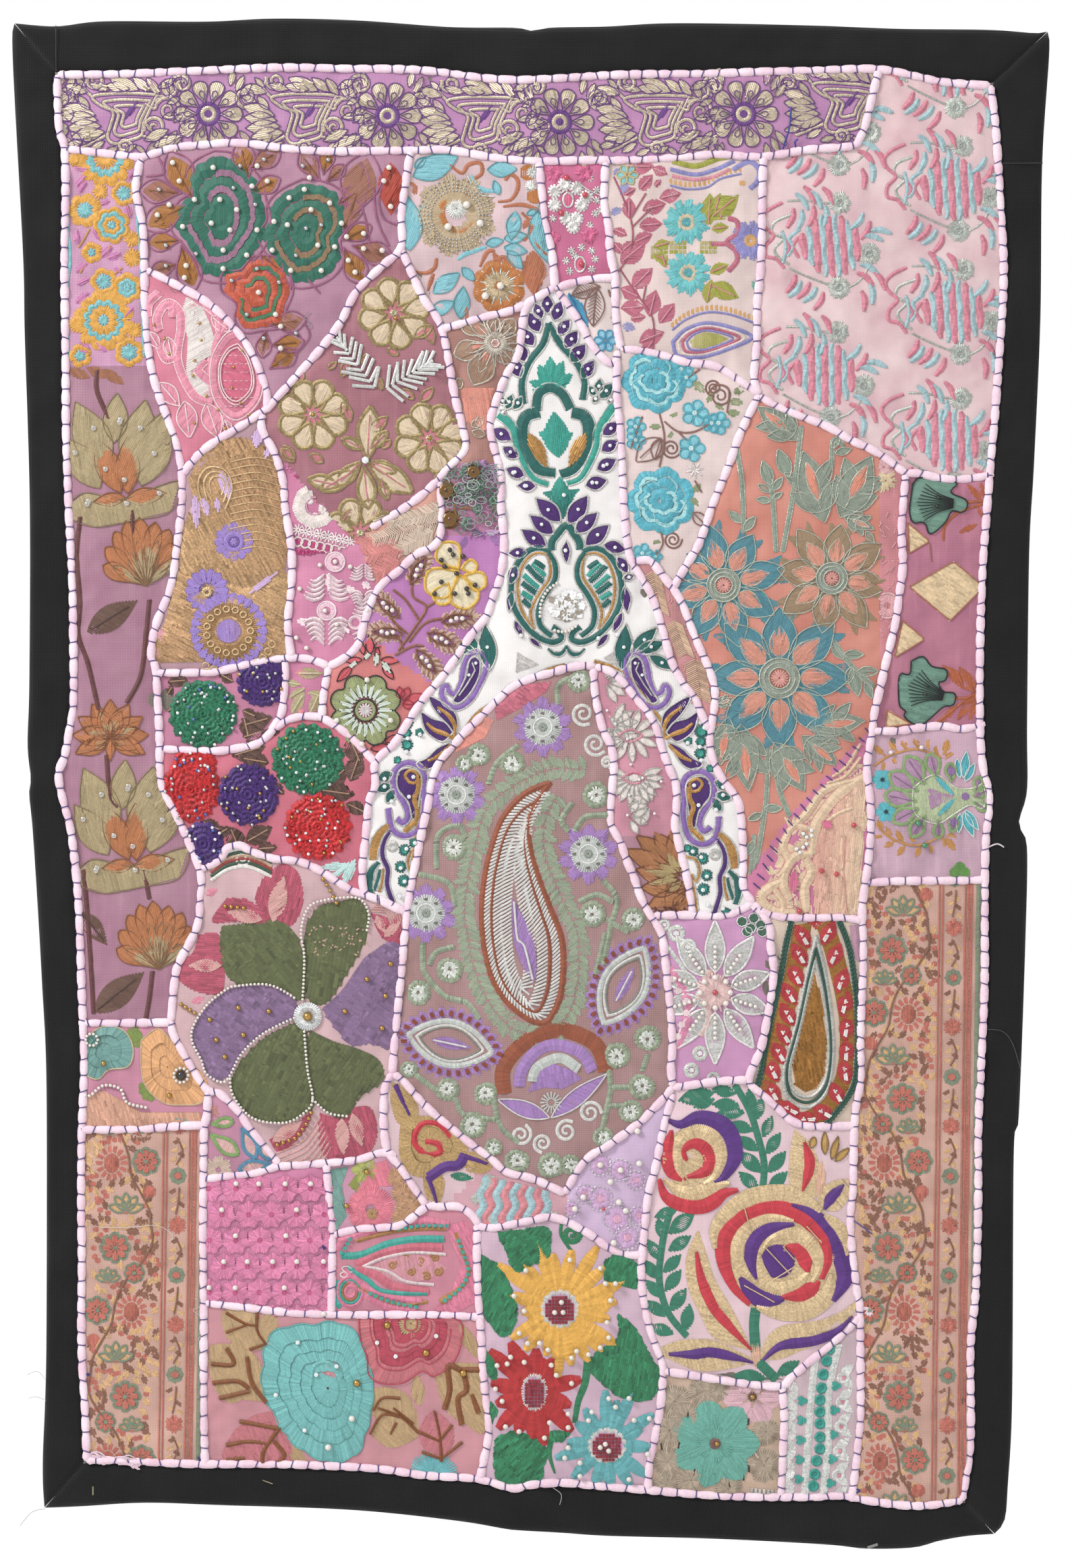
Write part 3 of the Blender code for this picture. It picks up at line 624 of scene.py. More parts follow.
def threadMaterial(name, rough, sheen, metallic=0.0, paintedGlint=0.0):  # colours come with the stitches
    made, nodes, links, surface = newMaterial(name)
    own = nodes.new("ShaderNodeAttribute")
    own.attribute_name = "dye"
    uneven = grainOf(nodes, links, "Noise", 900, 2)
    # For metal thread the tone spreads wider and also goes above its own colour: a painted glint.
    shade = ramp(nodes, links, uneven, 0.86 - paintedGlint, 1.08 + paintedGlint)
    colour = mixColours(nodes, links, None, own.outputs["Color"], shade, "MULTIPLY", 1.0)
    links.new(colour, surface.inputs["Base Color"])
    spot = ramp(nodes, links, uneven, rough - 0.08, rough + 0.1)
    links.new(spot, surface.inputs["Roughness"])
    setValues(surface, {
        "Sheen Weight": sheen,
        "Sheen Roughness": 0.4,
        "Metallic": metallic,
        "Specular IOR Level": 0.35,
    })
    twist = grainOf(nodes, links, "Wave", 900, 1, (1, 1, 0.6))
    addBump(nodes, links, surface, twist, 0.3, 0.0002)
    return made


flossFinish = threadMaterial("embroidery floss", 0.5, 0.3)
zariFinish = threadMaterial("metal thread", 0.38, 0.0, 0.55, 0.12)


def hardMaterial(name, code, rough, metallic=0.0, coat=0.0, pearly=0.0):
    made, nodes, links, surface = newMaterial(name)
    tint = grainOf(nodes, links, "Noise", 1400, 1)
    pale = tuple(np.minimum(linear(code) * 1.15, 0.95)) + (1,)
    deep = (*(linear(code) * 0.85), 1)
    colour = mixColours(nodes, links, ramp(nodes, links, tint, 0, 1), deep, pale)
    links.new(colour, surface.inputs["Base Color"])
    setValues(surface, {
        "Roughness": rough,
        "Metallic": metallic,
        "Coat Weight": coat,
        "Coat Roughness": 0.12,
        "Sheen Weight": pearly,
    })
    return made


beadFinishes = {
    "pearl": hardMaterial("pearl", "EFE6DA", 0.22, 0, 0.6, 0.25),
    "goldBead": hardMaterial("gold bead", "C79A45", 0.3, 0.85, 0.2),
    "silverBead": hardMaterial("silver bead", "CFCFD2", 0.28, 0.8, 0.2),
    "redBead": hardMaterial("red bead", "C8233A", 0.2, 0, 0.7),
    "blackBead": hardMaterial("black bead", "1B1A1D", 0.22, 0.1, 0.6),
    "greenBead": hardMaterial("green bead", "2E8C5E", 0.22, 0, 0.6),
    "blueBead": hardMaterial("blue bead", "3E5FA8", 0.22, 0, 0.6),
    "whiteBead": hardMaterial("white seed bead", "E9E1D6", 0.3, 0, 0.5),
    "stone": hardMaterial("cut stone", "EEF0F2", 0.14, 0.15, 0.8),
    "sequin": hardMaterial("sequin", "D8D2CB", 0.2, 0.75, 0.3),
    "mirror": hardMaterial("mirror foil", "D9D7D8", 0.12, 0.95, 0.2),
    "bronze": hardMaterial("bronze disc", "8A6637", 0.32, 0.85, 0.2),
}


def meshPiece(name, verts, faces, finish, colours=None, smooth=True):
    mesh = bpy.data.meshes.new(name)
    verts = np.asarray(verts, np.float32)
    faces = np.asarray(faces, np.int32)
    corners = faces != np.roll(faces, 1, axis=1)  # a corner given twice makes a triangle
    loops = faces[corners]
    count = corners.sum(1)
    mesh.vertices.add(len(verts))
    mesh.vertices.foreach_set("co", verts.ravel())
    mesh.loops.add(len(loops))
    mesh.loops.foreach_set("vertex_index", loops)
    mesh.polygons.add(len(faces))
    mesh.polygons.foreach_set("loop_start", (np.cumsum(count) - count).astype(np.int32))
    mesh.polygons.foreach_set("use_smooth", np.full(len(faces), smooth))
    mesh.update(calc_edges=True)
    if colours is not None:
        dye = mesh.color_attributes.new("dye", "FLOAT_COLOR", "POINT")
        dye.data.foreach_set("color", np.asarray(colours, np.float32).ravel())
    piece = bpy.data.objects.new(name, mesh)
    bpy.context.scene.collection.objects.link(piece)
    mesh.materials.append(finish)
    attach(piece, "root")
    return piece


# How much wider and longer the threads are laid than each stitch asks, to keep their number down.
laid = {"wider": 1.2, "longer": 1.3}


def reachOf(x, drop, tipX, tipDrop):  # how long a leaf is and which way it points
    return math.hypot(tipX - x, tipDrop - drop), math.degrees(math.atan2(tipDrop - drop, tipX - x))


class Needlework:  # gathers the stitches and beads of one patch, then sews them as joined meshes
    def __init__(self, patch):
        self.patch = patch
        self.floss, self.zari, self.beads = [], [], {}
        self.move()

    def move(self, x=0.0, drop=0.0, turn=0.0, size=1.0, flip=False):  # where the next shapes go
        self.x, self.drop, self.size, self.flip = x, drop, size, flip
        self.cos, self.sin = math.cos(math.radians(turn)), math.sin(math.radians(turn))
        self.turn = math.radians(turn)

    def put(self, points):
        points = np.asarray(points, float).reshape(-1, 2) * self.size
        if self.flip:
            points = points * (-1, 1)
        x = points[:, 0] * self.cos - points[:, 1] * self.sin
        drop = points[:, 0] * self.sin + points[:, 1] * self.cos
        return np.column_stack([self.x + x, self.drop + drop])

    def keep(self, store, start, end, wide, high, out0, out1, colour):
        if len(start) == 0:
            return
        middle = (start + end) / 2
        inside = patchAt(middle[:, 0], middle[:, 1]) == patchNumber[self.patch]
        count = inside.sum()
        if count:
            colour = np.broadcast_to(colour, (len(start), 3))[inside]
            full = [np.broadcast_to(v, len(start))[inside] for v in (wide, high, out0, out1)]
            store.append((start[inside], end[inside], *full, colour))

    def fill(self, shape, colour, angle=90, width=0.9, stitch=6.0, puff=0.5, to=None, metal=False, high=0.28,
             lift=0.1, vary=0.07, fade="across"):
        # Long and short stitches over a shape, given in its own millimetres.
        outline = self.put(shape)
        width, stitch = width * laid["wider"], stitch * laid["longer"]
        turn = math.radians(-angle if self.flip else angle) + self.turn
        if self.flip:
            turn = math.pi + turn
        along = np.array([math.cos(turn), math.sin(turn)])
        across = np.array([-along[1], along[0]])
        u, v = outline @ along, outline @ across
        rows = np.arange(v.min() + width / 2, v.max(), width)
        if len(rows) == 0:
            return
        nextU, nextV = np.roll(u, -1), np.roll(v, -1)
        cuts = (v[None] > rows[:, None]) != (nextV[None] > rows[:, None])
        step = np.where(nextV == v, 1, nextV - v)
        hits = np.where(cuts, u + (rows[:, None] - v) * (nextU - u) / step, np.inf)
        hits.sort(axis=1)
        pairs = hits.shape[1] // 2 * 2
        a, b = hits[:, 0:pairs:2].ravel(), hits[:, 1:pairs:2].ravel()
        row = np.repeat(rows, pairs // 2)
        good = np.isfinite(b) & (b - a > 0.5)
        a, b, row = a[good], b[good], row[good]
        if len(a) == 0:
            return
        pieces = np.maximum(1, np.rint((b - a) / stitch)).astype(int)
        which = np.repeat(np.arange(len(a)), pieces)
        number = np.arange(len(which)) - np.repeat(np.cumsum(pieces) - pieces, pieces)
        jog = rng.uniform(-0.3, 0.3, len(which))
        count = pieces[which]
        f0 = np.where(number == 0, 0, (number + jog) / count)
        f1 = np.where(number == count - 1, 1, (number + 1 + np.roll(jog, -1)) / count)
        f1 = np.maximum(f1, f0 + 0.15)
        u0 = a[which] + (b - a)[which] * f0
        u1 = a[which] + (b - a)[which] * np.minimum(f1, 1)
        r = row[which]
        start = u0[:, None] * along + r[:, None] * across
        end = u1[:, None] * along + r[:, None] * across
        side = np.clip(np.abs(2 * (r - v.min()) / (v.max() - v.min()) - 1), 0, 1)
        swell = puff * (1 - side**2)
        out0 = lift + swell * np.sin(np.pi * np.clip(f0, 0, 1)) ** 0.6
        out1 = lift + swell * np.sin(np.pi * np.clip(f1, 0, 1)) ** 0.6
        base = linear(colour) if isinstance(colour, str) else colour
        shade = np.broadcast_to(base, (len(start), 3))
        if to is not None:
            share = (r - v.min()) / (v.max() - v.min())
            if fade == "along":
                share = ((u0 + u1) / 2 - u.min()) / (u.max() - u.min())
            if fade == "outward":
                middle = (start + end) / 2 - outline.mean(0)
                share = np.hypot(*middle.T) / max(np.hypot(*(outline - outline.mean(0)).T).max(), 1)
            share = np.clip(share + rng.uniform(-0.14, 0.14, len(start)), 0, 1)[:, None]
            shade = shade * (1 - share) + linear(to) * share
        shade = shade * (1 + rng.normal(0, vary, len(start)))[:, None]
        store = self.zari if metal else self.floss
        self.keep(store, start, end, width * 1.15, high, out0, out1, np.clip(shade, 0, 0.95))

    def line(self, points, colour, width=1.0, metal=False, step=2.0, gap=0.0, closed=False, out=0.5,
             high=0.45, smooth=False, vary=0.06):
        # Chain or running stitch along a line, in the shape's own millimetres.
        line = self.put(points)
        if closed:
            line = np.vstack([line, line[:1]])
        step = step * laid["longer"]
        line = smoothLine(line, step) if smooth else evenly(line, step)
        start, end = line[:-1], line[1:]
        if gap:
            end = start + (end - start) * (1 - gap)
        base = linear(colour) if isinstance(colour, str) else colour
        shade = base * (1 + rng.normal(0, vary, len(start)))[:, None]
        store = self.zari if metal else self.floss
        self.keep(store, start, end, width, high, out, out, np.clip(shade, 0, 0.95))

    def bead(self, points, kind="pearl", radius=1.7, out=None):
        spots = self.put(points)
        inside = patchAt(spots[:, 0], spots[:, 1]) == patchNumber[self.patch]
        high = radius * 0.7 if out is None else out
        for x, drop in spots[inside]:
            self.beads.setdefault(kind, []).append((x, drop, radius, high))

    def beadLine(self, points, kind="whiteBead", radius=0.9, spacing=2.0, closed=False, smooth=False,
                 out=None):
        line = np.asarray(points, float)
        if closed:
            line = np.vstack([line, line[:1]])
        line = smoothLine(line, spacing / self.size) if smooth else evenly(line, spacing / self.size)
        self.bead(line[:-1] if closed else line, kind, radius, out)

    def band(self, points, wide, colour, taper=(1, 1), spacing=0.8, slant=0.5, metal=False, edge=None,
             closed=False, puff=0.35, smooth=True, vary=0.07, edgeWidth=0.6, edgeMetal=False, lift=0.0,
             thread=None):
        # Satin stitches laid across a line, as a stem, a curl or an outline is worked.
        line = self.put(points)
        if closed:
            line = np.vstack([line, line[:1]])
        thread = (thread or spacing * 1.2) * laid["wider"]
        spacing = spacing * laid["wider"]
        line = smoothLine(line, spacing) if smooth else evenly(line, spacing)
        run = np.gradient(line, axis=0)
        run /= np.maximum(np.hypot(*run.T), 1e-9)[:, None]
        side = np.column_stack([-run[:, 1], run[:, 0]])
        share = np.interp(np.linspace(0, 1, len(line)), np.linspace(0, 1, len(taper)), taper)
        half = (share * wide * self.size / 2)[:, None]
        left, right = line + side * half, line - side * half
        shift = run * slant / 2
        base = linear(colour) if isinstance(colour, str) else colour
        shade = np.clip(base * (1 + rng.normal(0, vary, len(line)))[:, None], 0, 0.95)
        store = self.zari if metal else self.floss
        middle, low, out = line, 0.1 + lift, 0.1 + lift + puff
        self.keep(store, left + shift, middle, thread, 0.25, low, out, shade)
        self.keep(store, middle, right - shift, thread, 0.25, out, low, shade)
        if edge:
            for edgeLine in (left, right):
                self.rawLine(edgeLine, edge, edgeWidth, edgeMetal)

    def rawLine(self, line, colour, width, metal):  # a line already on the cloth
        start, end = line[:-1], line[1:]
        shade = np.clip(linear(colour) * (1 + rng.normal(0, 0.06, len(start)))[:, None], 0, 0.95)
        self.keep(self.zari if metal else self.floss, start, end, width, 0.35, 0.25, 0.25, shade)

    def rays(self, x, drop, inner, outer, colour, count=None, width=0.8, metal=False, to=None, puff=0.3,
             uneven=0.0, vary=0.08, lift=0.15, lobes=0, depth=0.15, turn=0.0, oval=1.0):
        # Stitches worked outward round a centre, with a lobed edge where one is asked for.
        if count is None:
            width = width * laid["wider"]
            count = max(6, int(math.pi * (inner + outer) * self.size / width))
        around = np.linspace(0, 2 * math.pi, count, endpoint=False) + math.radians(turn)
        way = np.column_stack([np.cos(around), np.sin(around) * oval])
        lobe = 1.0
        if lobes:
            lobe = 1 - depth + depth * np.abs(np.sin(lobes * (around - math.radians(turn)) / 2)) ** 0.7
        reach = (outer * lobe * (1 - uneven * rng.uniform(0, 1, count)))[:, None]
        start = self.put(way * inner * (reach / outer) + (x, drop))
        end = self.put(way * reach + (x, drop))
        middle = (start + end) / 2
        near = linear(colour) * (1 + rng.normal(0, vary, count))[:, None]
        far = linear(to or colour) * (1 + rng.normal(0, vary, count))[:, None]
        store = self.zari if metal else self.floss
        self.keep(store, start, middle, width, 0.25, lift, lift + puff, np.clip(near, 0, 0.95))
        self.keep(store, middle, end, width * 1.15, 0.25, lift + puff, lift, np.clip(far, 0, 0.95))

    def leaf(self, x, drop, angle, long, wide, colour, edge=None, vein=None, bend=0.0, fat=0.45, slant=0,
             edgeWidth=0.8, edgeMetal=False, tip=1.0, **more):
        shape, rib = leafShape(long, wide, bend, fat, tip)
        shape, rib = turned(shape, x, drop, angle), turned(rib, x, drop, angle)
        if colour:
            self.fill(shape, colour, angle=angle + slant, **more)
        if edge:
            self.line(shape, edge, width=edgeWidth, closed=True, metal=edgeMetal, step=1.5)
        if vein:
            self.line(rib[1:-2], vein, width=0.8, step=1.6, out=0.8)

    def flower(self, x, drop, radius, colour, petals=8, inner=0.2, wide=1.0, turn=0, edge=None, fat=0.62,
               edgeWidth=0.8, edgeMetal=False, tip=0.8, centre=None, **more):
        across = wide * 2 * math.pi * radius * 0.62 / petals
        for k in range(petals):
            angle = turn + 360 * k / petals
            a = math.radians(angle)
            from_ = radius * inner * 0.6
            self.leaf(x + from_ * math.cos(a), drop + from_ * math.sin(a), angle, radius - from_, across,
                      colour, edge=edge, fat=fat, tip=tip, edgeWidth=edgeWidth, edgeMetal=edgeMetal, **more)
        if centre:
            self.rays(x, drop, 0, radius * 0.2, centre, puff=0.6, lift=0.5)

    def rings(self, x, drop, radius, colours, shares, lobes=8, depth=0.14, width=0.9, **more):
        # A flower worked as lobed rings of satin stitch, from its rim to its eye.
        for colour, outer, inner in zip(colours, shares, [*shares[1:], 0]):
            self.rays(x, drop, radius * inner, radius * outer, colour, width=width, lobes=lobes, depth=depth,
                      **more)

    def leaves(self, pairs, wide, colour, **more):  # each goes from its root to its tip
        for x, drop, tipX, tipDrop in pairs:
            length, angle = reachOf(x, drop, tipX, tipDrop)
            self.leaf(x, drop, angle, length, wide if wide > 1 else wide * length, colour, **more)

    def petalRing(self, outline, middle, outer, inner, colour, vary, width=1.3, out=0.8, metal=False):
        # One ring of long stitches, between two shares of the way to an outline on the cloth.
        start, end = middle + (outline - middle) * inner, middle + (outline - middle) * outer
        shade = linear(colour) * (1 + rng.normal(0, vary, len(outline)))[:, None]
        self.keep(self.zari if metal else self.floss, start, end, width, 0.3, out, 0.2, shade)
        return end

    def starAt(self, spots, radius, colour, count=9, metal=True, width=0.9, **more):
        for x, drop in spots:
            self.rays(x, drop, 0.2, radius, colour, count=count, metal=metal, width=width,
                      turn=rng.uniform(0, 40), **more)

    def spiral(self, x, drop, radius, colour, turns=1.5, start=0, wide=1.6, flip=1, **more):
        angles = np.linspace(0, 2 * math.pi * turns, int(10 * turns) + 2)
        reach = radius * (1 - 0.8 * angles / angles[-1])
        way = math.radians(start) + flip * angles
        points = np.column_stack([x + reach * np.cos(way), drop + reach * np.sin(way)])
        self.band(points, wide, colour, taper=(1, 1, 0.7), **more)

    def disc(self, x, drop, radius, colour, oval=1.0, **more):
        self.fill(ringShape(radius) * (1, oval) + (x, drop), colour, **more)

    def sew(self):
        for part, store, finish in (("floss", self.floss, flossFinish), ("zari", self.zari, zariFinish)):
            if store:
                sewThreads(f"{self.patch}_{part}", store, finish)
        for kind, spots in self.beads.items():
            sewBeads(f"{self.patch}_{kind}", np.array(spots), beadFinishes[kind], kind)


def laurel(work, line, colour, reach=4.2, step=2.6, wide=2.6, lean=45):
    # Small leaves in pairs along a line.
    line = smoothLine(line, step)
    run = np.gradient(line, axis=0)
    for (x, drop), (ax, ad) in zip(line, run):
        angle = math.degrees(math.atan2(ad, ax))
        for side in (-1, 1):
            way = angle + side * lean + rng.uniform(-12, 12)
            work.leaf(x, drop, way, reach * rng.uniform(0.85, 1.15), wide, colour, puff=0.6, width=0.8)


def turned(points, x, drop, angle):
    a = math.radians(angle)
    points = np.asarray(points, float)
    across = points[:, 0] * math.cos(a) - points[:, 1] * math.sin(a)
    down = points[:, 0] * math.sin(a) + points[:, 1] * math.cos(a)
    return np.column_stack([x + across, drop + down])


def leafShape(length, width, bend=0.0, fat=0.45, tip=1.0, count=13):
    # A leaf or petal from its root to its tip, and its midrib.
    t = np.linspace(0, 1, count)
    half = width / 2 * np.sin(np.pi * t ** (math.log(0.5) / math.log(fat))) ** tip
    bow = bend * length * t**2
    rib = np.column_stack([length * t, bow])
    run = np.gradient(rib, axis=0)
    run /= np.hypot(*run.T)[:, None]
    side = np.column_stack([-run[:, 1], run[:, 0]]) * half[:, None]
    return np.vstack([(rib + side), (rib - side)[-2:0:-1]]), rib


def ringShape(radius, count=22, lobes=0, depth=0.0, turn=0.0):
    around = np.linspace(0, 2 * math.pi, max(count, lobes * 6), endpoint=False)
    reach = radius
    if lobes:
        reach = radius * (1 - depth + depth * np.abs(np.sin(lobes * around / 2 + turn)) ** 0.7)
    return np.column_stack([reach * np.cos(around), reach * np.sin(around)])


def sewThreads(name, store, finish):
    start, end, wide, high, out0, out1, colour = (np.concatenate(column) for column in zip(*store))
    run = end - start
    long = np.maximum(np.hypot(*run.T), 1e-6)
    side = np.column_stack([-run[:, 1], run[:, 0]]) / long[:, None] * (wide / 2)[:, None]
    face0, face1 = onFace(*start.T), onFace(*end.T)
    middle = onFace(*((start + end) / 2).T)
    face0 = np.maximum(face0, 2 * middle - face1 - 0.4)
    rows = [
        world(*(start + side).T, face0 + out0 - 0.05),
        world(*start.T, face0 + out0 + high * 0.75),
        world(*(start - side).T, face0 + out0 - 0.05),
        world(*(end + side).T, face1 + out1 - 0.05),
        world(*end.T, face1 + out1 + high * 0.75),
        world(*(end - side).T, face1 + out1 - 0.05),
    ]
    verts = np.stack(rows, 1).reshape(-1, 3)
    first = np.arange(len(start))[:, None] * 6
    faces = np.concatenate([first + [0, 1, 4, 3], first + [1, 2, 5, 4]])
    colour = np.clip(colour * threadLight, 0, 0.95)
    dye = np.repeat(np.column_stack([colour, np.ones(len(colour))]), 6, axis=0)
    meshPiece(name, verts, faces, finish, colours=dye)


def domeOf(rings, sides, flat=1.0):  # a bead's visible dome, as unit points (across, drop, out) and faces
    points = [(0, 0, flat)]
    for ring in range(1, rings + 1):
        lean = math.pi * 0.62 * ring / rings
        for k in range(sides):
            around = 2 * math.pi * k / sides
            reach = math.sin(lean)
            points.append((reach * math.cos(around), reach * math.sin(around), flat * math.cos(lean)))
    faces = []
    for k in range(sides):
        after = (k + 1) % sides
        faces.append((0, 1 + k, 1 + after, 1 + after))
        for ring in range(rings - 1):
            low = 1 + ring * sides
            faces.append((low + k, low + sides + k, low + sides + after, low + after))
    return np.array(points, float), faces


def discOf(sides, hole):  # a sequin or mirror with a raised rim and a hole
    points, faces = [], []
    for reach, out in ((hole, 0.15), (hole + 0.25, 0.0), (0.8, 0.28), (1.0, 0.1)):
        for k in range(sides):
            around = 2 * math.pi * k / sides
            points.append((reach * math.cos(around), reach * math.sin(around), out))
    for ring in range(3):
        for k in range(sides):
            after = (k + 1) % sides
            low = ring * sides
            faces.append((low + k, low + sides + k, low + sides + after, low + after))
    return np.array(points, float), faces


roundBead = domeOf(3, 7)
flatDisc = discOf(10, 0.22)
beadShapes = {"stone": domeOf(2, 6, 0.7), "sequin": flatDisc, "mirror": flatDisc, "bronze": flatDisc}


def sewBeads(name, spots, finish, kind):
    points, faces = beadShapes.get(kind, roundBead)
    triangles = []
    for face in faces:
        corners = list(dict.fromkeys(face))
        triangles += [(corners[0], corners[k], corners[k + 1]) for k in range(1, len(corners) - 1)]
    count = len(points)
    turn = rng.uniform(0, 6.3, len(spots))
    cos, sin = np.cos(turn)[:, None], np.sin(turn)[:, None]
    x = points[None, :, 0] * cos - points[None, :, 1] * sin
    drop = points[None, :, 0] * sin + points[None, :, 1] * cos
    radius = spots[:, 2:3]
    base = onFace(spots[:, 0], spots[:, 1])[:, None] + spots[:, 3:4]
    out = base + points[None, :, 2] * radius
    verts = world(spots[:, 0:1] + x * radius, spots[:, 1:2] + drop * radius, out)
    first = (np.arange(len(spots)) * count)[:, None, None]
    faces = (first + np.array(triangles)[None]).reshape(-1, 3)[:, ::-1]
    meshPiece(name, verts.reshape(-1, 3), faces, finish, smooth=kind not in ("stone", "mirror"))


# The backing cloth, the border strips and each patch's ground.
backing = {"color": "8C8377", "thick": 1.2, "across": 46, "down": 70, "under": 1.0}
border = {
    "color": "161617",
    "thick": 2.4,
    "above": 0.9,
    "across": 8,  # faces over its width
    "top": 112,  # faces along the top and the bottom
    "side": 168,
    "roll": 1.3,  # how far its long edges roll back
    "foldShare": 9,
    "tuck": 0.25,  # its ends stop this short of the corner, so that two strips don't meet in one plane
    "cornerDip": 0.8,
    "ripples": ((14, 11, 0.5), (6, 12, 0.22)),  # grain, seed, height
}


def pushedOut(line, outward, distance):
    line = np.asarray(line, float)
    run = np.gradient(line, axis=0)
    run /= np.maximum(np.hypot(*run.T), 1e-9)[:, None]
    return line + np.column_stack([run[:, 1], -run[:, 0]]) * outward * distance


def panelEdges(across, down):
    edges = {}
    for side, outward, count in (("Top", 1, across), ("Bottom", -1, across), ("Left", -1, down),
                                 ("Right", 1, down)):
        line = smoothLine(seamRuns["edge" + side], 1.0)
        at = np.linspace(0, len(line) - 1, count + 1)
        line = np.column_stack([np.interp(at, np.arange(len(line)), line[:, k]) for k in (0, 1)])
        edges[side.lower()] = pushedOut(line, outward, 2.2)
    top, bottom, left, right = (edges[side] for side in ("top", "bottom", "left", "right"))
    for line, end, across0, along0 in ((top, 0, left, 0), (top, -1, right, 0), (bottom, 0, left, -1),
                                       (bottom, -1, right, -1)):
        corner = (across0[along0][0], line[end][1])
        line[end] = corner
        across0[along0] = corner
    return edges


def closedSheet(name, front, thick, finish):
    # front is a grid of world points seen from the front; the back lies behind it.
    rows, columns = front.shape[:2]
    back = front + np.array([0, thick * mm, 0])
    verts = np.concatenate([front.reshape(-1, 3), back.reshape(-1, 3)])
    index = np.arange(rows * columns).reshape(rows, columns)
    quads = np.stack([index[:-1, :-1], index[1:, :-1], index[1:, 1:], index[:-1, 1:]], -1).reshape(-1, 4)
    rim = np.concatenate([index[0, :-1], index[:-1, -1], index[-1, :0:-1], index[:0:-1, 0]])
    after = np.roll(rim, -1)
    shift = rows * columns
    sides = np.stack([rim, after, after + shift, rim + shift], -1)
    faces = np.concatenate([quads, quads[:, ::-1] + shift, sides])
    return meshPiece(name, verts, faces, finish)


def backMaterial():
    made, nodes, links, surface = newMaterial("backing cotton")
    weave = weaveHeight(nodes, links, 360)
    tone = ramp(nodes, links, grainOf(nodes, links, "Noise", 22, 5), 0, 1)
    pale = (*linear(backing["color"]), 1)
    deep = (*(linear(backing["color"]) * 0.8), 1)
    colour = mixColours(nodes, links, tone, pale, deep)
    # Painted shade: the backing's colour darkens in the weave's hollows.
    shade = ramp(nodes, links, weave, 0.8, 1.05, 0.2, 1.6)
    colour = mixColours(nodes, links, None, colour, shade, "MULTIPLY", 1.0)
    links.new(colour, surface.inputs["Base Color"])
    setValues(surface, {"Roughness": 0.92, "Sheen Weight": 0.2})
    addBump(nodes, links, surface, weave, 0.5, 0.0004)
    return made


def borderMaterial():
    made, nodes, links, surface = newMaterial("black cotton")
    weave = weaveHeight(nodes, links, 300)
    wear = ramp(nodes, links, grainOf(nodes, links, "Noise", 30, 5), 0.8, 1.35)
    lint = ramp(nodes, links, grainOf(nodes, links, "Noise", 1500, 2), 0, 0.5, 0.66, 0.8)
    base = (*linear(border["color"]), 1)
    colour = mixColours(nodes, links, None, base, wear, "MULTIPLY", 1.0)
    colour = mixColours(nodes, links, lint, colour, (0.03, 0.03, 0.031, 1))
    # Painted shade and highlight: the colour darkens in the weave's hollows and lightens on its crests.
    shade = ramp(nodes, links, weave, 0.7, 1.2, 0.2, 1.6)
    colour = mixColours(nodes, links, None, colour, shade, "MULTIPLY", 1.0)
    links.new(colour, surface.inputs["Base Color"])
    setValues(surface, {
        "Roughness": 0.9,
        "Sheen Weight": 0.12,
        "Sheen Roughness": 0.5,
        "Specular IOR Level": 0.2,
    })
    addBump(nodes, links, surface, weave, 0.5, 0.0004)
    return made


def makeBacking():
    across, down = backing["across"], backing["down"]
    edges = panelEdges(across, down)
    u = np.linspace(0, 1, across + 1)[None, :, None]
    v = np.linspace(0, 1, down + 1)[:, None, None]
    top, bottom = edges["top"][None], edges["bottom"][None]
    left, right = edges["left"][:, None], edges["right"][:, None]
    flat = top * (1 - v) + bottom * v + left * (1 - u) + right * u
    flat = flat - (top[:, :1] * (1 - u) + top[:, -1:] * u) * (1 - v)
    flat = flat - (bottom[:, :1] * (1 - u) + bottom[:, -1:] * u) * v
    x, drop = flat[..., 0], flat[..., 1]
    front = world(x, drop, riseAt(x, drop) - backing["under"])
    sheet = closedSheet("backing_cloth", front, backing["thick"], backMaterial())
    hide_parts("patchwork_panel")


def makeBorders():
    finish = borderMaterial()
    sides = {"top": 1, "bottom": -1, "left": -1, "right": 1}
    edges = panelEdges(border["top"], border["side"])
    bumpy = sum(softNoise(grain, seed) * height for grain, seed, height in border["ripples"])
    for side, outward in sides.items():
        near = pushedOut(edges[side], outward, -0.8)
        count = len(near)
        far = smoothLine(outerEdge[side], 1.0)
        at = np.linspace(0, len(far) - 1, count)
        far = np.column_stack([np.interp(at, np.arange(len(far)), far[:, k]) for k in (0, 1)])
        for line in (near, far):
            for end, beside in ((0, 1), (-1, -2)):
                run = line[beside] - line[end]
                line[end] = line[end] + run / np.hypot(*run) * border["tuck"]
        share = np.linspace(0, 1, border["across"] + 1)[:, None, None]
        flat = near[None] * (1 - share) + far[None] * share
        x, drop = flat[..., 0], flat[..., 1]
        fold = np.clip(np.minimum(share[..., 0], 1 - share[..., 0]) * border["foldShare"], 0, 1) ** 0.5
        ripple = fromMap(bumpy, x, drop)
        out = riseAt(x, drop) + border["above"] - border["roll"] * (1 - fold) + ripple * fold
        ends = np.minimum(np.arange(count), np.arange(count)[::-1])[None]
        out = out - border["cornerDip"] * np.exp(-ends / 1.2)
        grid = world(x, drop, out)
        if side in ("top", "right"):
            grid = grid[::-1]
        sheet = closedSheet("border_strip_" + side, grid, border["thick"], finish)
        fixNormals(sheet)
        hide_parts("border_" + side)


def fixNormals(piece):
    made = bmesh.new()
    made.from_mesh(piece.data)
    bmesh.ops.recalc_face_normals(made, faces=made.faces)
    made.to_mesh(piece.data)
    made.free()


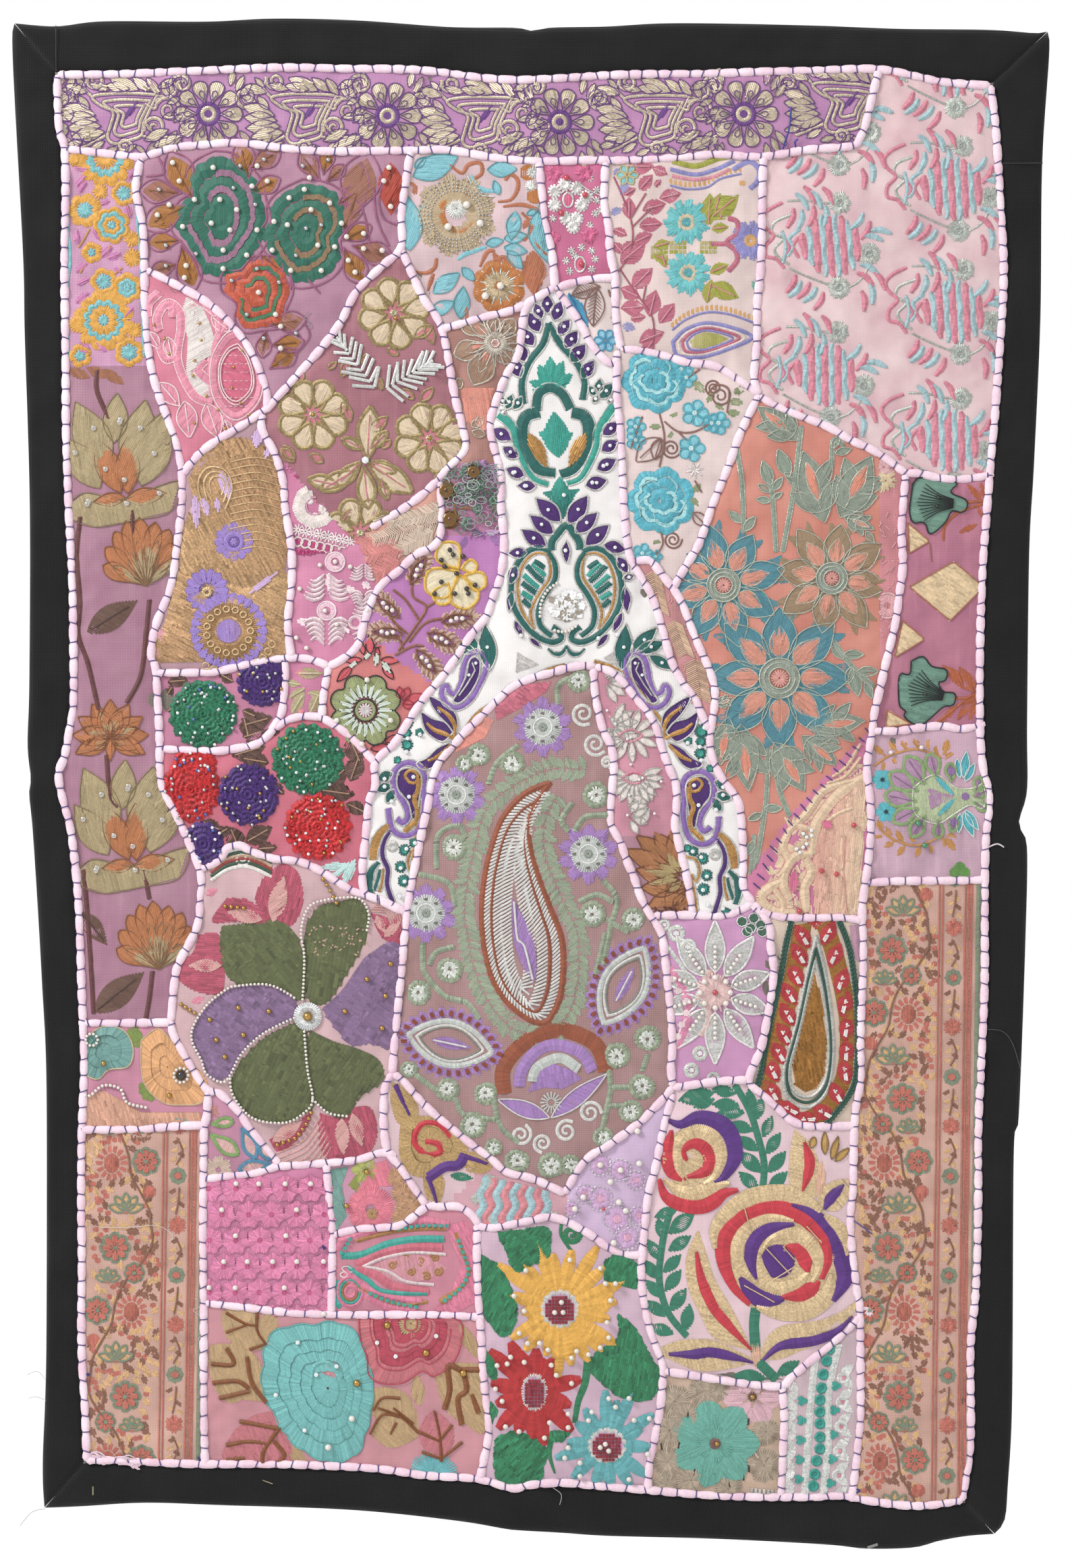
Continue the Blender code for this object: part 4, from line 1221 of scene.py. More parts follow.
def makeGround(name, patch):
    cell = cloth["cell"]
    columns = np.arange(cloth["left"], -cloth["left"], cell)
    rows = np.arange(cloth["top"], cloth["bottom"], cell)
    x, drop = np.meshgrid(columns, rows)
    middle = patchAt(x[:-1, :-1] + cell / 2, drop[:-1, :-1] + cell / 2) == patchNumber[name]
    j, i = np.nonzero(middle)
    if len(i) == 0:
        print("no ground for", name)
        return
    index = np.arange(x.size).reshape(x.shape)
    faces = np.stack([index[j, i], index[j + 1, i], index[j + 1, i + 1], index[j, i + 1]], -1)
    used, faces = np.unique(faces, return_inverse=True)
    faces = faces.reshape(-1, 4)
    x, drop = x.ravel()[used], drop.ravel()[used]
    verts = world(x, drop, onFace(x, drop))
    finish = clothMaterial(name + " cloth", patch["colour"], patch["kind"], patch.get("second"))
    piece = meshPiece("patch_" + name, verts, faces, finish)


makeBacking()
makeBorders()
for name, patch in patches.items():
    makeGround(name, patch)
print("cloth laid")

# The padded cords, each drawn in by the thread that couches it.
couching = {
    "wide": 2.55,  # half the cord's width
    "high": 1.9,
    "pinch": 0.30,  # how much of it each stitch draws in
    "stitch": 9.6,  # from one crossing thread to the next
    "sides": 8,
    "ring": 1.9,
    "sink": 0.5,  # its base lies this far below the cloth's own rise
    "stand": 0.9,  # its foot stands this far above that base
    "wander": 0.25,
    "uneven": 0.05,
    "thread": 0.42,
    "threadSides": 4,
    "threadPoints": 6,
    "cordColor": "F6DEE8",
    "threadColor": "4A3B8A",
}


def cordMaterial():
    made, nodes, links, surface = newMaterial("padded cord")
    patchy = ramp(nodes, links, grainOf(nodes, links, "Noise", 60, 3), 0, 1)
    pale, deep = linear(couching["cordColor"]) * 1.15, linear("E6BFD2") * 1.15
    colour = mixColours(nodes, links, patchy, (*pale, 1), (*deep, 1))
    fine = grainOf(nodes, links, "Noise", 700, 3)
    shade = ramp(nodes, links, fine, 0.9, 1.05)
    colour = mixColours(nodes, links, None, colour, shade, "MULTIPLY", 1.0)
    links.new(colour, surface.inputs["Base Color"])
    setValues(surface, {
        "Roughness": 0.75,
        "Sheen Weight": 0.45,
        "Sheen Roughness": 0.4,
    })
    addBump(nodes, links, surface, fine, 0.4, 0.0004)
    return made


def makeCord(name, finish, thread):
    line = evenly(seamLines[name], couching["ring"])
    run = np.gradient(line, axis=0)
    run /= np.hypot(*run.T)[:, None]
    side = np.column_stack([-run[:, 1], run[:, 0]])
    along = np.arange(len(line)) * couching["ring"]
    stitches = [rng.uniform(2, 6)]
    while stitches[-1] < along[-1] - 4:
        stitches.append(stitches[-1] + couching["stitch"] * rng.uniform(0.8, 1.25))
    stitches = np.array(stitches[:-1] if len(stitches) > 1 else stitches)
    near = np.abs(along[:, None] - stitches[None]).min(1)
    full = 1 - couching["pinch"] * np.exp(-((near / 1.5) ** 2))
    full = full * (1 + couching["uneven"] * np.sin(along / 11 + rng.uniform(0, 6)))
    full[0] = full[-1] = 0.5
    wander = np.sin(along / 17 + rng.uniform(0, 6)) * couching["wander"]
    line = line + side * wander[:, None]
    base = riseAt(*line.T) - couching["sink"]
    around = np.linspace(-0.12, math.pi + 0.12, couching["sides"])
    wide = np.cos(around)[None] * couching["wide"] * full[:, None]
    high = np.sin(around)[None] * couching["high"] * full[:, None] + couching["stand"]
    x = line[:, 0:1] + side[:, 0:1] * wide
    drop = line[:, 1:2] + side[:, 1:2] * wide
    verts = world(x, drop, base[:, None] + high)
    rows, columns = x.shape
    index = np.arange(rows * columns).reshape(rows, columns)
    faces = np.stack([index[:-1, :-1], index[:-1, 1:], index[1:, 1:], index[1:, :-1]], -1).reshape(-1, 4)
    piece = meshPiece("padded_" + name, verts.reshape(-1, 3), faces, finish)
    node = "cord_" + "".join("_" + c.lower() if c.isupper() else c for c in name)
    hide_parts(node)
    # A stitch crosses the cord at each pinch, a little aslant.
    lean = rng.uniform(-0.9, 0.9, len(stitches))
    at = np.interp(stitches, along, np.arange(len(line)))
    arc = np.linspace(-0.25, math.pi + 0.25, couching["threadPoints"])
    narrow = 1 - couching["pinch"]
    for place, slant in zip(at, lean):
        i = int(round(place))
        reach = np.cos(arc) * (couching["wide"] * narrow + 0.35)
        spot = line[i] + side[i] * reach[:, None] + run[i] * (slant * np.cos(arc))[:, None]
        out = base[i] + couching["stand"] + np.sin(arc) * (couching["high"] * narrow + 0.3)
        thread.append((spot, out))


def tubeAlong(lines, radius, sides):
    # Joined tubes, each along (points in millimetres, out) given as one list.
    allVerts, allFaces = [], []
    first = 0
    for spot, out in lines:
        path = np.column_stack([spot, out])
        run = np.gradient(path, axis=0)
        run /= np.maximum(np.linalg.norm(run, axis=1), 1e-9)[:, None]
        a = np.cross(run, (0.3, 0.5, 0.81))
        a /= np.maximum(np.linalg.norm(a, axis=1), 1e-9)[:, None]
        b = np.cross(run, a)
        for k in range(sides):
            lean = 2 * math.pi * k / sides
            ring = path + (a * math.cos(lean) + b * math.sin(lean)) * radius
            allVerts.append(world(ring[:, 0], ring[:, 1], ring[:, 2]))
        n = len(path)
        for k in range(sides):
            after = (k + 1) % sides
            i = np.arange(n - 1)
            allFaces.append(np.stack([first + k * n + i, first + k * n + i + 1, first + after * n + i + 1,
                                      first + after * n + i], -1))
        first += sides * n
    return np.concatenate(allVerts), np.concatenate(allFaces)


def plainThread(name, code):
    made, nodes, links, surface = newMaterial(name)
    shade = ramp(nodes, links, grainOf(nodes, links, "Noise", 1100, 2), 0.75, 1.1)
    colour = mixColours(nodes, links, None, (*linear(code), 1), shade, "MULTIPLY", 1.0)
    links.new(colour, surface.inputs["Base Color"])
    setValues(surface, {"Roughness": 0.6, "Sheen Weight": 0.3})
    return made


cordFinish = cordMaterial()
violetThread = plainThread("violet sewing thread", couching["threadColor"])
couchStitches = []
for name in seamRuns:
    makeCord(name, cordFinish, couchStitches)
verts, faces = tubeAlong(couchStitches, couching["thread"], couching["threadSides"])
meshPiece("couching_stitches", verts, faces, violetThread)
print("cords couched:", len(couchStitches), "stitches")
zariSilver = "D8D8D2"


def sewTopStrip():
    work = Needlework("topStrip")
    beige, plum = "C9B89F", "6B3A86"
    for x, drop in ((-191, 53), (-85, 54), (17, 58), (126, 53), (-291, 53)):
        work.move(x, drop)
        work.flower(0, 0, 20.5, beige, petals=10, inner=0.5, wide=1.15, edge=plum, fat=0.72, tip=0.5,
                    edgeWidth=0.7, metal=True, stitch=5)
        for k in range(10):
            a = math.radians(36 * k)
            loop = turned(leafShape(6.5, 3.4, fat=0.7)[0], 8 * math.cos(a), 8 * math.sin(a), 36 * k)
            work.line(loop, plum, width=0.55, closed=True, step=1, out=0.9)
        for angle in (28, 40, 53, 127, 140, 152, 208, 220, 233, 307, 320, 332):
            a = math.radians(angle)
            work.leaf(21 * math.cos(a), 21 * math.sin(a), angle + (24 if angle % 180 < 90 else -24), 11.5,
                      4.4, beige, metal=True, edge=plum, edgeWidth=0.5)
        work.rays(0, 0, 4.8, 7.4, plum)
        work.rays(0, 0, 2.4, 4.7, beige, metal=True)
        work.disc(0, 0, 2.1, plum, puff=0.7)
    cores = ((-236, 50), (-130, 50), (-26, 52), (79, 51), (190, 44))
    for x, drop in cores:
        work.move(x, drop, turn=0 if x < 180 else 4)
        outline = np.array([(14.9, -8.1), (2.7, -8.9), (-12.2, -8.9), (-23.7, -7), (-18.9, -2), (-11.5, 2),
                            (-12.8, 9.5), (-14.6, 16.9), (-10.8, 20.6), (-2.7, 18.9), (5.4, 16), (6.5, 9.5),
                            (10.1, 1.4)])
        for size, shift in ((1.0, 0), (0.72, 1.2), (0.44, 2.0)):
            work.band(outline * size + (0, shift), 2.2, beige, closed=True, metal=True, spacing=0.7,
                      edge=plum, edgeWidth=0.55)
        work.leaves([(-4.1, 6.1, 3.8, -5.7)], 3.2, plum, stitch=3)
        fan = [
            (-21.6, 4.1, -41.2, -2), (-20.3, 6.8, -40.6, 4.7), (-18.3, 10.1, -39.2, 11.5),
            (-16.2, 13.5, -36.5, 16.9), (-25, 0.7, -32.4, -8.1), (-23, 14.9, -30.4, 21.6),
            (-16.2, 18.9, -25.7, 25), (4.1, -10.8, -14.2, -18.9), (10.8, -10.1, 0, -18.9),
            (16.2, -8.1, 8.1, -18.9), (21.6, -6.1, 17.6, -16.9), (-26.4, -9.5, -40.6, -14.2),
            (-27.7, -12.8, -33.8, -18.9), (6.8, 18.9, 21.6, 12.2), (12.2, 22.3, 30.4, 16.2),
            (2.7, 21, -4.7, 25.7), (24.3, 8.1, 30.4, 2), (-1.4, -11.5, -16.2, -14.2),
            (29.1, 20.3, 35.2, 24.3), (16.2, 25.7, 27, 21.6), (17.6, 5.4, 27, 2.7),
            (14.9, -12.2, 25.7, -17.6), (-32.4, -4.1, -41.9, -8.1), (23, 4.1, 32.4, -1.4),
            (20.3, -2.7, 29.1, -6.8), (-8.1, 23, -17.6, 26.4), (8.1, 26.4, 1.4, 21.6),
            (-28.4, 18.9, -39.2, 21.6), (-13.5, -11.5, -25.7, -14.9), (16.2, 18.9, 8.1, 26.4),
        ]
        work.leaves(fan, 0.42, beige, edge=plum, metal=True, edgeWidth=0.6, fat=0.5)
        for cx, cy, r, start, flip in ((21.6, 0.7, 6.2, 200, 1), (13.5, 10.8, 5.0, 160, 1),
                                       (29.1, -14.6, 5.2, 150, 1), (-21.6, -16.9, 4.2, 200, -1),
                                       (-38.5, -6.8, 4.8, 90, 1), (-4.7, 22.3, 3.4, 20, -1),
                                       (33.8, 8.1, 4.0, 250, -1)):
            work.spiral(cx, cy, r * 1.3, beige, start=start, flip=flip, wide=2.5, turns=1.4, metal=True,
                        edge=plum, edgeWidth=0.55, spacing=0.7)
        for run in (
            [(14.9, -8.1), (20.3, -6.8), (25.7, -9.5), (25.7, -14.9)],
            [(5.4, 16), (13.5, 17.6), (18.9, 14.9)],
            [(10.1, 1.4), (8.1, 8.1), (13.5, 14.9), (24.3, 16.9), (31.1, 14.9)],
            [(-23.7, -7), (-28.4, -12.2), (-27, -16.9)],
            [(8.1, -2.7), (13.5, 0), (14.9, -5.4), (20.3, -6.1)],
            [(-16.2, 16.2), (-24.3, 20.3), (-31.1, 23.7)],
        ):
            work.band(run, 2.1, beige, metal=True, edge=plum, edgeWidth=0.55, spacing=0.7)
    work.move()
    tangle = [(154, 49), (153, 61), (150, 71), (148, 79), (152, 76), (157, 74), (156, 70), (158, 68)]
    work.line(tangle, "3B3F96", width=1.1, out=1.6, smooth=True)
    work.sew()


def sewAmberFlowers():
    work = Needlework("amberFlowers")
    amber, aqua, pink, leaf = "DFA02A", "76BCC0", "D47FB6", "CF7FB0"
    for x, drop, radius, colours, shares in (
        (-252, 79, 15, [amber, aqua, amber], [1, 0.66, 0.42]), (-241, 100, 6.6, [amber, aqua], [1, 0.6]),
        (-264, 110, 8.8, [amber, aqua], [1, 0.5]),
        (-248, 119, 9.6, [amber, aqua, amber, aqua], [1, 0.75, 0.5, 0.25]),
        (-260, 135, 5.6, [amber, aqua], [1, 0.4]), (-253, 152, 7.0, [amber, aqua], [1, 0.6]),
        (-239, 156, 8.0, [amber, aqua, aqua], [1, 0.62, 0.3]),
        (-253, 175, 15.5, [amber, aqua, amber, aqua], [1, 0.68, 0.5, 0.2]),
        (-238, 194, 7.5, [amber, aqua], [1, 0.6]), (-255, 99, 4.2, [amber], [1]),
        (-236, 127, 4.4, [amber], [1]), (-236, 138, 5.0, [amber], [1]), (-269, 177, 4.8, [amber], [1]),
        (-235, 181, 4.6, [amber], [1]), (-270, 80, 3.8, [amber], [1]),
        (-267, 196, 6.0, [amber, aqua], [1, 0.5]),
    ):
        work.rings(x, drop, radius * 1.18, colours, shares, lobes=max(5, int(radius * 0.8)), depth=0.2,
                   puff=0.5)
    work.leaves([
        (-263, 89, -270, 97), (-263, 93, -268, 100), (-270, 85, -261, 86), (-239, 107, -237, 115),
        (-238, 115, -240, 107), (-269, 121, -268, 131), (-259, 121, -255, 128), (-255, 138, -247, 131),
        (-251, 139, -242, 135), (-270, 147, -262, 140), (-269, 154, -261, 150), (-270, 165, -261, 158),
        (-267, 188, -261, 192), (-268, 193, -261, 194), (-258, 188, -251, 194), (-241, 174, -235, 167),
        (-234, 85, -239, 92), (-255, 107, -249, 104), (-247, 144, -242, 147),
    ], 0.42, pink, vein=leaf, puff=0.6, stitch=3)
    for run in ([(-261, 121), (-265, 128), (-268, 132)], [(-249, 131), (-251, 136)],
                [(-264, 142), (-267, 147)], [(-242, 144), (-247, 148)], [(-239, 107), (-237, 113)],
                [(-264, 185), (-265, 190)], [(-262, 90), (-266, 93)]):
        work.line(run, "C98A3A", width=1.1, step=1.4)
    work.band([(-274, 101), (-274, 120), (-273, 140), (-275, 161), (-274, 196)], 1.8, aqua)
    work.band([(-234, 107), (-231, 140), (-230, 174), (-229, 196)], 1.6, aqua)
    work.sew()


def scallopedRose(work, points, colour, second):
    # A rose of lobed rings of long stitches, with a second colour laid in curls between.
    rounds = 3
    outline = evenly(np.vstack([points, points[:1]]), 0.9)[:-1]
    middle = outline.mean(0)
    way = outline - middle
    around = np.arange(len(outline))
    scallop = 1 + 0.035 * np.abs(np.sin(around * math.pi / 9))[:, None]
    way = way * scallop
    run = np.gradient(way, axis=0)
    for number in range(rounds):
        outer = 1 - number * 0.31
        inner = outer - 0.28
        start, end = middle + way * inner, middle + way * outer + run * 0.2
        shade = linear(colour) * (1 + rng.normal(0, 0.12, len(way)))[:, None]
        half = (start + end) / 2
        work.keep(work.floss, work.put(start), work.put(half), 1.25, 0.3, 0.3, 0.9, shade)
        work.keep(work.floss, work.put(half), work.put(end), 1.3, 0.3, 0.9, 0.2, shade)
        if number < rounds - 1:
            shift = 0.06 * np.sin(around * 2 * math.pi / len(way) * 2 + number)[:, None]
            start, end = middle + way * (inner - 0.06 + shift), middle + way * (inner + 0.05 + shift)
            shade = linear(second) * (1 + rng.normal(0, 0.1, len(way)))[:, None]
            share = (around + number * 20) % len(way) < 0.72 * len(way)
            work.keep(work.floss, work.put(start[share]), work.put(end[share]), 1.0, 0.3, 0.8, 0.8,
                      shade[share])
    work.fill(middle + way * 0.32, colour, puff=0.8)


def sewRoses():
    work = Needlework("roses")
    green, mauve, brown, amber, tan = "1F6B57", "9A6B86", "8F6F4E", "A96A1E", "9E6450"
    outlineMauve = "9A5478"
    amberLeaves = [
        (-200, 104, -213, 78), (-203, 107, -227, 119), (-207, 128, -226, 129), (-207, 131, -200, 155),
        (-167, 92, -172, 71), (-166, 100, -150, 92), (-123, 89, -120, 74), (-112, 128, -96, 120),
        (-111, 132, -100, 152), (-154, 190, -136, 188), (-161, 136, -148, 146), (-155, 204, -140, 194),
    ]
    tanLeaves = [
        (-207, 100, -230, 98), (-167, 86, -150, 75), (-125, 92, -136, 77), (-121, 93, -111, 84),
        (-209, 142, -224, 146), (-155, 178, -135, 175), (-157, 181, -159, 196), (-106, 131, -84, 138),
        (-115, 107, -100, 98), (-108, 117, -97, 79), (-111, 123, -104, 102),
    ]
    for leavesHere, colour in ((amberLeaves, amber), (tanLeaves, tan)):
        for x, drop, tipX, tipDrop in leavesHere:
            length, angle = reachOf(x, drop, tipX, tipDrop)
            shape = turned(leafShape(length * 1.12, length * 0.62, fat=0.6)[0], x, drop, angle)
            work.line(shape, outlineMauve, width=1.0, closed=True, step=1.6)
            work.leaf(x, drop, angle, length, length * 0.5, colour, vein="7E4A1E", fat=0.58, puff=0.8,
                      slant=35)
    greenOne = np.array([(-187, 79), (-178, 80), (-171, 85), (-163, 93), (-159, 107), (-157, 115),
                         (-159, 127), (-165, 136), (-173, 146), (-182, 149), (-193, 147), (-197, 139),
                         (-203, 129), (-210, 120), (-207, 107), (-200, 101), (-202, 92), (-197, 84)])
    greenTwo = np.array([(-135, 95), (-125, 96), (-116, 100), (-111, 109), (-110, 119), (-115, 128),
                         (-113, 138), (-119, 147), (-130, 152), (-140, 152), (-148, 144), (-154, 135),
                         (-159, 125), (-154, 117), (-154, 109), (-147, 101)])
    redOne = np.array([(-165, 140), (-154, 140), (-146, 147), (-143, 158), (-147, 169), (-148, 177),
                       (-159, 179), (-169, 180), (-174, 173), (-173, 165), (-181, 158), (-180, 148),
                       (-171, 147)])
    for points, colour, second in ((greenOne, green, mauve), (greenTwo, green, brown),
                                   (redOne, "C4502F", "3F7A55")):
        middle = points.mean(0)
        work.line(middle + (points - middle) * 1.12, outlineMauve, width=1.1, closed=True, smooth=True)
        scallopedRose(work, points, colour, second)
    work.leaves([(-83, 82, -83, 113)], 15, "B83E28", vein="7E2A1E", puff=1.0, slant=30)
    stems = [[(-95, 134), (-100, 109), (-112, 97)], [(-84, 131), (-89, 121), (-92, 111), (-93, 97)],
             [(-142, 157), (-140, 144), (-125, 159)], [(-221, 78), (-217, 88), (-228, 90)],
             [(-101, 82), (-96, 92), (-99, 107)], [(-87, 93), (-90, 104), (-87, 115), (-78, 119)],
             [(-140, 196), (-131, 185), (-134, 177)]]
    for run in stems:
        work.line(run, outlineMauve, width=1.2, smooth=True)
    work.line([(-131, 170), (-134, 174), (-130, 177), (-132, 180)], "8F8F8F", width=0.4, smooth=True, out=1)
    pearls = [
        (-188, 85), (-199, 104), (-184, 104), (-174, 110), (-206, 120), (-189, 118), (-178, 122),
        (-162, 122), (-182, 134), (-168, 137), (-182, 145), (-165, 96), (-143, 103), (-134, 98), (-119, 106),
        (-152, 117), (-144, 119), (-130, 110), (-112, 118), (-153, 134), (-126, 131), (-116, 132),
        (-142, 146), (-124, 146), (-161, 159), (-151, 172), (-212, 82), (-208, 93), (-214, 107), (-221, 113),
        (-204, 143), (-205, 150), (-162, 84), (-156, 93), (-131, 91), (-109, 126), (-108, 140), (-148, 179),
        (-148, 192), (-99, 124), (-99, 133), (-88, 134), (-84, 85), (-83, 108), (-87, 93), (-104, 147),
    ]
    silver = [(-176, 97), (-163, 107), (-133, 121), (-124, 119), (-139, 137), (-177, 152), (-162, 145),
              (-149, 153), (-168, 172), (-220, 98), (-216, 131), (-158, 80), (-172, 84), (-120, 80),
              (-135, 84), (-139, 183), (-158, 186), (-216, 143), (-198, 136)]
    work.bead(pearls, "pearl", 1.75, out=1.6)
    work.bead(silver, "silverBead", 1.5, out=1.5)
    work.sew()


def sewTealPots():
    work = Needlework("tealPots")
    coral, blue, grey = "DB8295", "A3C6CC", "B9BDB4"
    leaflets = [  # x, drop, angle, which colour
        (-12, -35, 60, 0), (-8, -32, 60, 1), (-1, -34, 60, 0), (-17, -31, 55, 1), (-19, -22, 110, 0),
        (-14, -21, 105, 1), (-7, -23, 105, 0), (0, -23, 95, 1), (-19, 17, 120, 0), (-16, 21, 130, 1),
        (-11, 22, 130, 0), (-7, 25, 135, 1), (-3, 28, 120, 0), (22, -18, 130, 1), (26, -13, 120, 0),
        (27, -8, 10, 1), (22, -5, 15, 1), (25, 24, 85, 1), (20, 28, 85, 0), (28, 17, 60, 0), (18, 17, 40, 0),
        (20, 12, 30, 1),
    ]
    stripes = [(7, 0), (11, 1), (15, 0), (17.5, 1), (18, 0), (18, 1), (16.5, 0), (14, 1), (9, 0)]
    for x, drop in ((246, 24), (247, 97), (248, 170), (245, 246), (176, 58), (175, 131), (172, 207),
                    (171, 280)):
        work.move(x, drop, turn=rng.uniform(-3, 3))
        for k, (half, which) in enumerate(stripes):
            across = -13.5 + 3.9 * k
            down = np.linspace(-half, half, 12)
            wave = across + 0.9 * np.sin(down / 2.6 + 3 * (k % 2)) + down * 0.06
            work.band(np.column_stack([wave, down]), (5.2, 4.0)[which], (coral, blue)[which], puff=0.8,
                      taper=(0.5, 1, 1, 0.8, 1, 1, 0.5), spacing=0.9)
        for run, colour in (([(-17, -5), (-20, 0), (-17, 6)], coral),
                            ([(-16, -10), (-22, -5), (-20, 0), (-23, 5)], blue),
                            ([(-24, -3), (-22, 1), (-24, 4)], coral),
                            ([(-26, -9), (-24, 0), (-26, 9)], blue)):
            work.band(run, 2.2, colour, puff=0.6)
        work.band([(-22, -27), (-12, -27), (0, -25), (8, -25)], 1.1, grey, metal=True)
        work.band([(-22, 13), (-12, 18), (0, 23), (6, 25)], 1.1, grey, metal=True)
        work.band([(10, 26), (18, 22), (24, 14), (25, 6)], 1.1, grey, metal=True)
        for px, drop2 in ((8.4, -25), (25, 5.6), (6.4, 25)):
            work.rays(px, drop2, 2.4, 7.2, grey, metal=True, uneven=0.2, width=0.8)
            work.rays(px, drop2, 0.8, 3.0, "9FA8A2", metal=True)
        for px, drop2, angle, which in leaflets:
            a = math.radians(angle)
            finger = [(px, drop2), (px + 5 * math.cos(a - 0.25), drop2 + 5 * math.sin(a - 0.25)),
                      (px + 11 * math.cos(a), drop2 + 11 * math.sin(a))]
            work.band(finger, 3.6, (coral, blue)[which], taper=(0.6, 1, 1, 0.6), puff=0.9)
        work.band([(-26, -26), (-34, -22), (-38, -17), (-36, -12), (-31, -7), (-36, -1), (-36, 5), (-30, 7),
                   (-26, 12)],
                  2.2, coral, puff=0.7)
        work.band([(-20, -19), (-30, -15), (-32, -9), (-26, -5), (-31, 1), (-28, 7), (-23, 10)], 1.7, grey,
                  metal=True)
    work.sew()


def sewBlueFloral():
    work = Needlework("blueFloral")
    beige, orange, turquoise, rust = "BFA782", "BE722A", "7CC0CB", "B86B46"
    work.rays(-45, 113, 8, 25.5, beige, lobes=9, depth=0.2, width=1.0, puff=0.6, uneven=0.08)
    seedAngles = np.linspace(0, 2 * math.pi, 46, endpoint=False)
    seeds = [(r * math.cos(a), r * math.sin(a)) for a in seedAngles
             for r in (14.5, 16.5, 18.5, 20.5 + (a * 7 % 1.5))]
    work.move(-45, 113)
    work.bead(seeds, "silverBead", 0.62, out=0.9)
    work.move()
    work.band([(-46, 100), (-53, 107), (-53, 115), (-49, 121), (-41, 123), (-34, 117)], 5.4, orange,
              taper=(0.7, 1, 1, 1, 0.7))
    work.leaves([(-37, 112, -28, 115)], 6, orange)
    work.band([(-51, 100), (-43, 97), (-38, 101)], 5, orange)
    work.rays(-44, 109, 0.5, 6.2, zariSilver, metal=True, width=0.7)
    work.leaves([
        (-70, 90, -43, 78), (-69, 85, -62, 78), (-26, 86, -8, 86), (-9, 111, -12, 128),
        (-16, 127, -2, 125), (-16, 132, -2, 135), (-14, 134, -5, 145), (-27, 130, -16, 128),
        (3, 111, 11, 142), (4, 110, -3, 113), (-58, 159, -42, 147), (-42, 174, -40, 155),
        (-60, 171, -45, 164), (-41, 144, -33, 152), (-72, 134, -73, 101), (5, 107, 9, 115),
        (-19, 101, -22, 92),
    ], 0.50, turquoise, puff=0.6, slant=25, edge="5DA3B0", edgeWidth=0.5)
    for run in ([(-35, 90), (-31, 97), (-22, 99)], [(-62, 105), (-67, 113), (-67, 124)],
                [(-43, 139), (-37, 135), (-27, 132)]):
        work.band(run, 3.6, turquoise, taper=(0.5, 1, 0.5))
    for run in (
        [(-49, 82), (-41, 88), (-37, 83), (-30, 82), (-29, 88), (-33, 91)],
        [(-19, 105), (-12, 104), (-8, 98), (-8, 92), (-12, 89), (-15, 92)],
        [(-16, 108), (-5, 107), (4, 110)], [(-5, 112), (1, 120), (-4, 128)],
        [(-69, 146), (-62, 147), (-57, 144), (-56, 139)], [(-61, 157), (-58, 148)],
        [(-30, 143), (-26, 135), (-22, 134)], [(-16, 142), (-22, 136)], [(-39, 165), (-38, 173)],
        [(0, 120), (4, 131), (9, 136)], [(-22, 140), (-16, 138), (-11, 144)],
    ):
        work.band(run, 2.6, rust, taper=(0.5, 1, 0.8))
    work.leaves([(1, 134, 2, 161), (-71, 93, -68, 101), (-19, 142, -22, 135),
                 (-5, 121, 1, 115)], 0.53, rust, slant=20, puff=0.7)
    for x, drop, radius in ((-2, 88, 4.6), (2, 102, 4.4)):
        work.disc(x, drop, radius, orange)
    work.starAt([(0, 96), (1, 88)], 3.4, zariSilver, count=12)
    work.rays(-19, 155, 9, 16, orange, lobes=8, depth=0.14, width=1.0, puff=0.6)
    work.rays(-19, 155, 3, 9.5, beige, lobes=8, metal=True)
    work.disc(-20, 154, 3, orange)
    for k in range(13):
        a = 2 * math.pi * k / 13
        spoke = np.array([math.cos(a), math.sin(a)])
        work.line([spoke * 7 + (-19, 155), spoke * 14 + (-19, 155)], zariSilver, width=0.8, metal=True)
    work.line([(-38, 89), (-31, 100), (-22, 102)], zariSilver, width=0.8, metal=True, smooth=True)
    work.bead([(-38, 107), (-49, 120), (-30, 118), (-18, 155), (-27, 161)], "pearl", 2.4, out=1.8)
    work.sew()


def sewSilverOnPink():
    work = Needlework("silverOnPink")
    work.starAt([(20, 95), (27, 97), (14, 99), (30, 107), (14, 107), (21, 115), (27, 115),
                 (25, 120), (33, 102)], 4.2, "E4E0DC", count=11, width=1.3, puff=0.7)
    work.starAt([(35, 91), (39, 98), (39, 104), (41, 110), (35, 119), (38, 112),
                 (21, 140), (24, 134), (30, 132), (36, 134), (38, 139), (36, 145),
                 (23, 146), (26, 137), (13, 115)], 2.4, "D6D6D0", count=7, width=0.7)
    for x, drop, across, down in ((22, 104, 3.0, 4.4), (29, 142, 3.0, 4.6)):
        oval = ringShape(1) * (across, down) + (x, drop)
        work.fill(oval, "E0668F", puff=1.0)
        work.line(oval, "DADAD4", width=1.1, closed=True, metal=True, step=1.2)
    work.line([(18, 100), (27, 94), (34, 98), (41, 101)], "D6D6D0", width=0.8, metal=True, smooth=True)
    work.bead([(21, 91), (32, 101), (18, 112), (30, 142)], "redBead", 1.9, out=1.4)
    for x, drop in ((34, 125), (14, 88), (13, 127), (32, 88)):
        work.rays(x, drop, 0.5, 6.5, "D9608F", uneven=0.5, width=1.1, puff=0.8)
    work.sew()


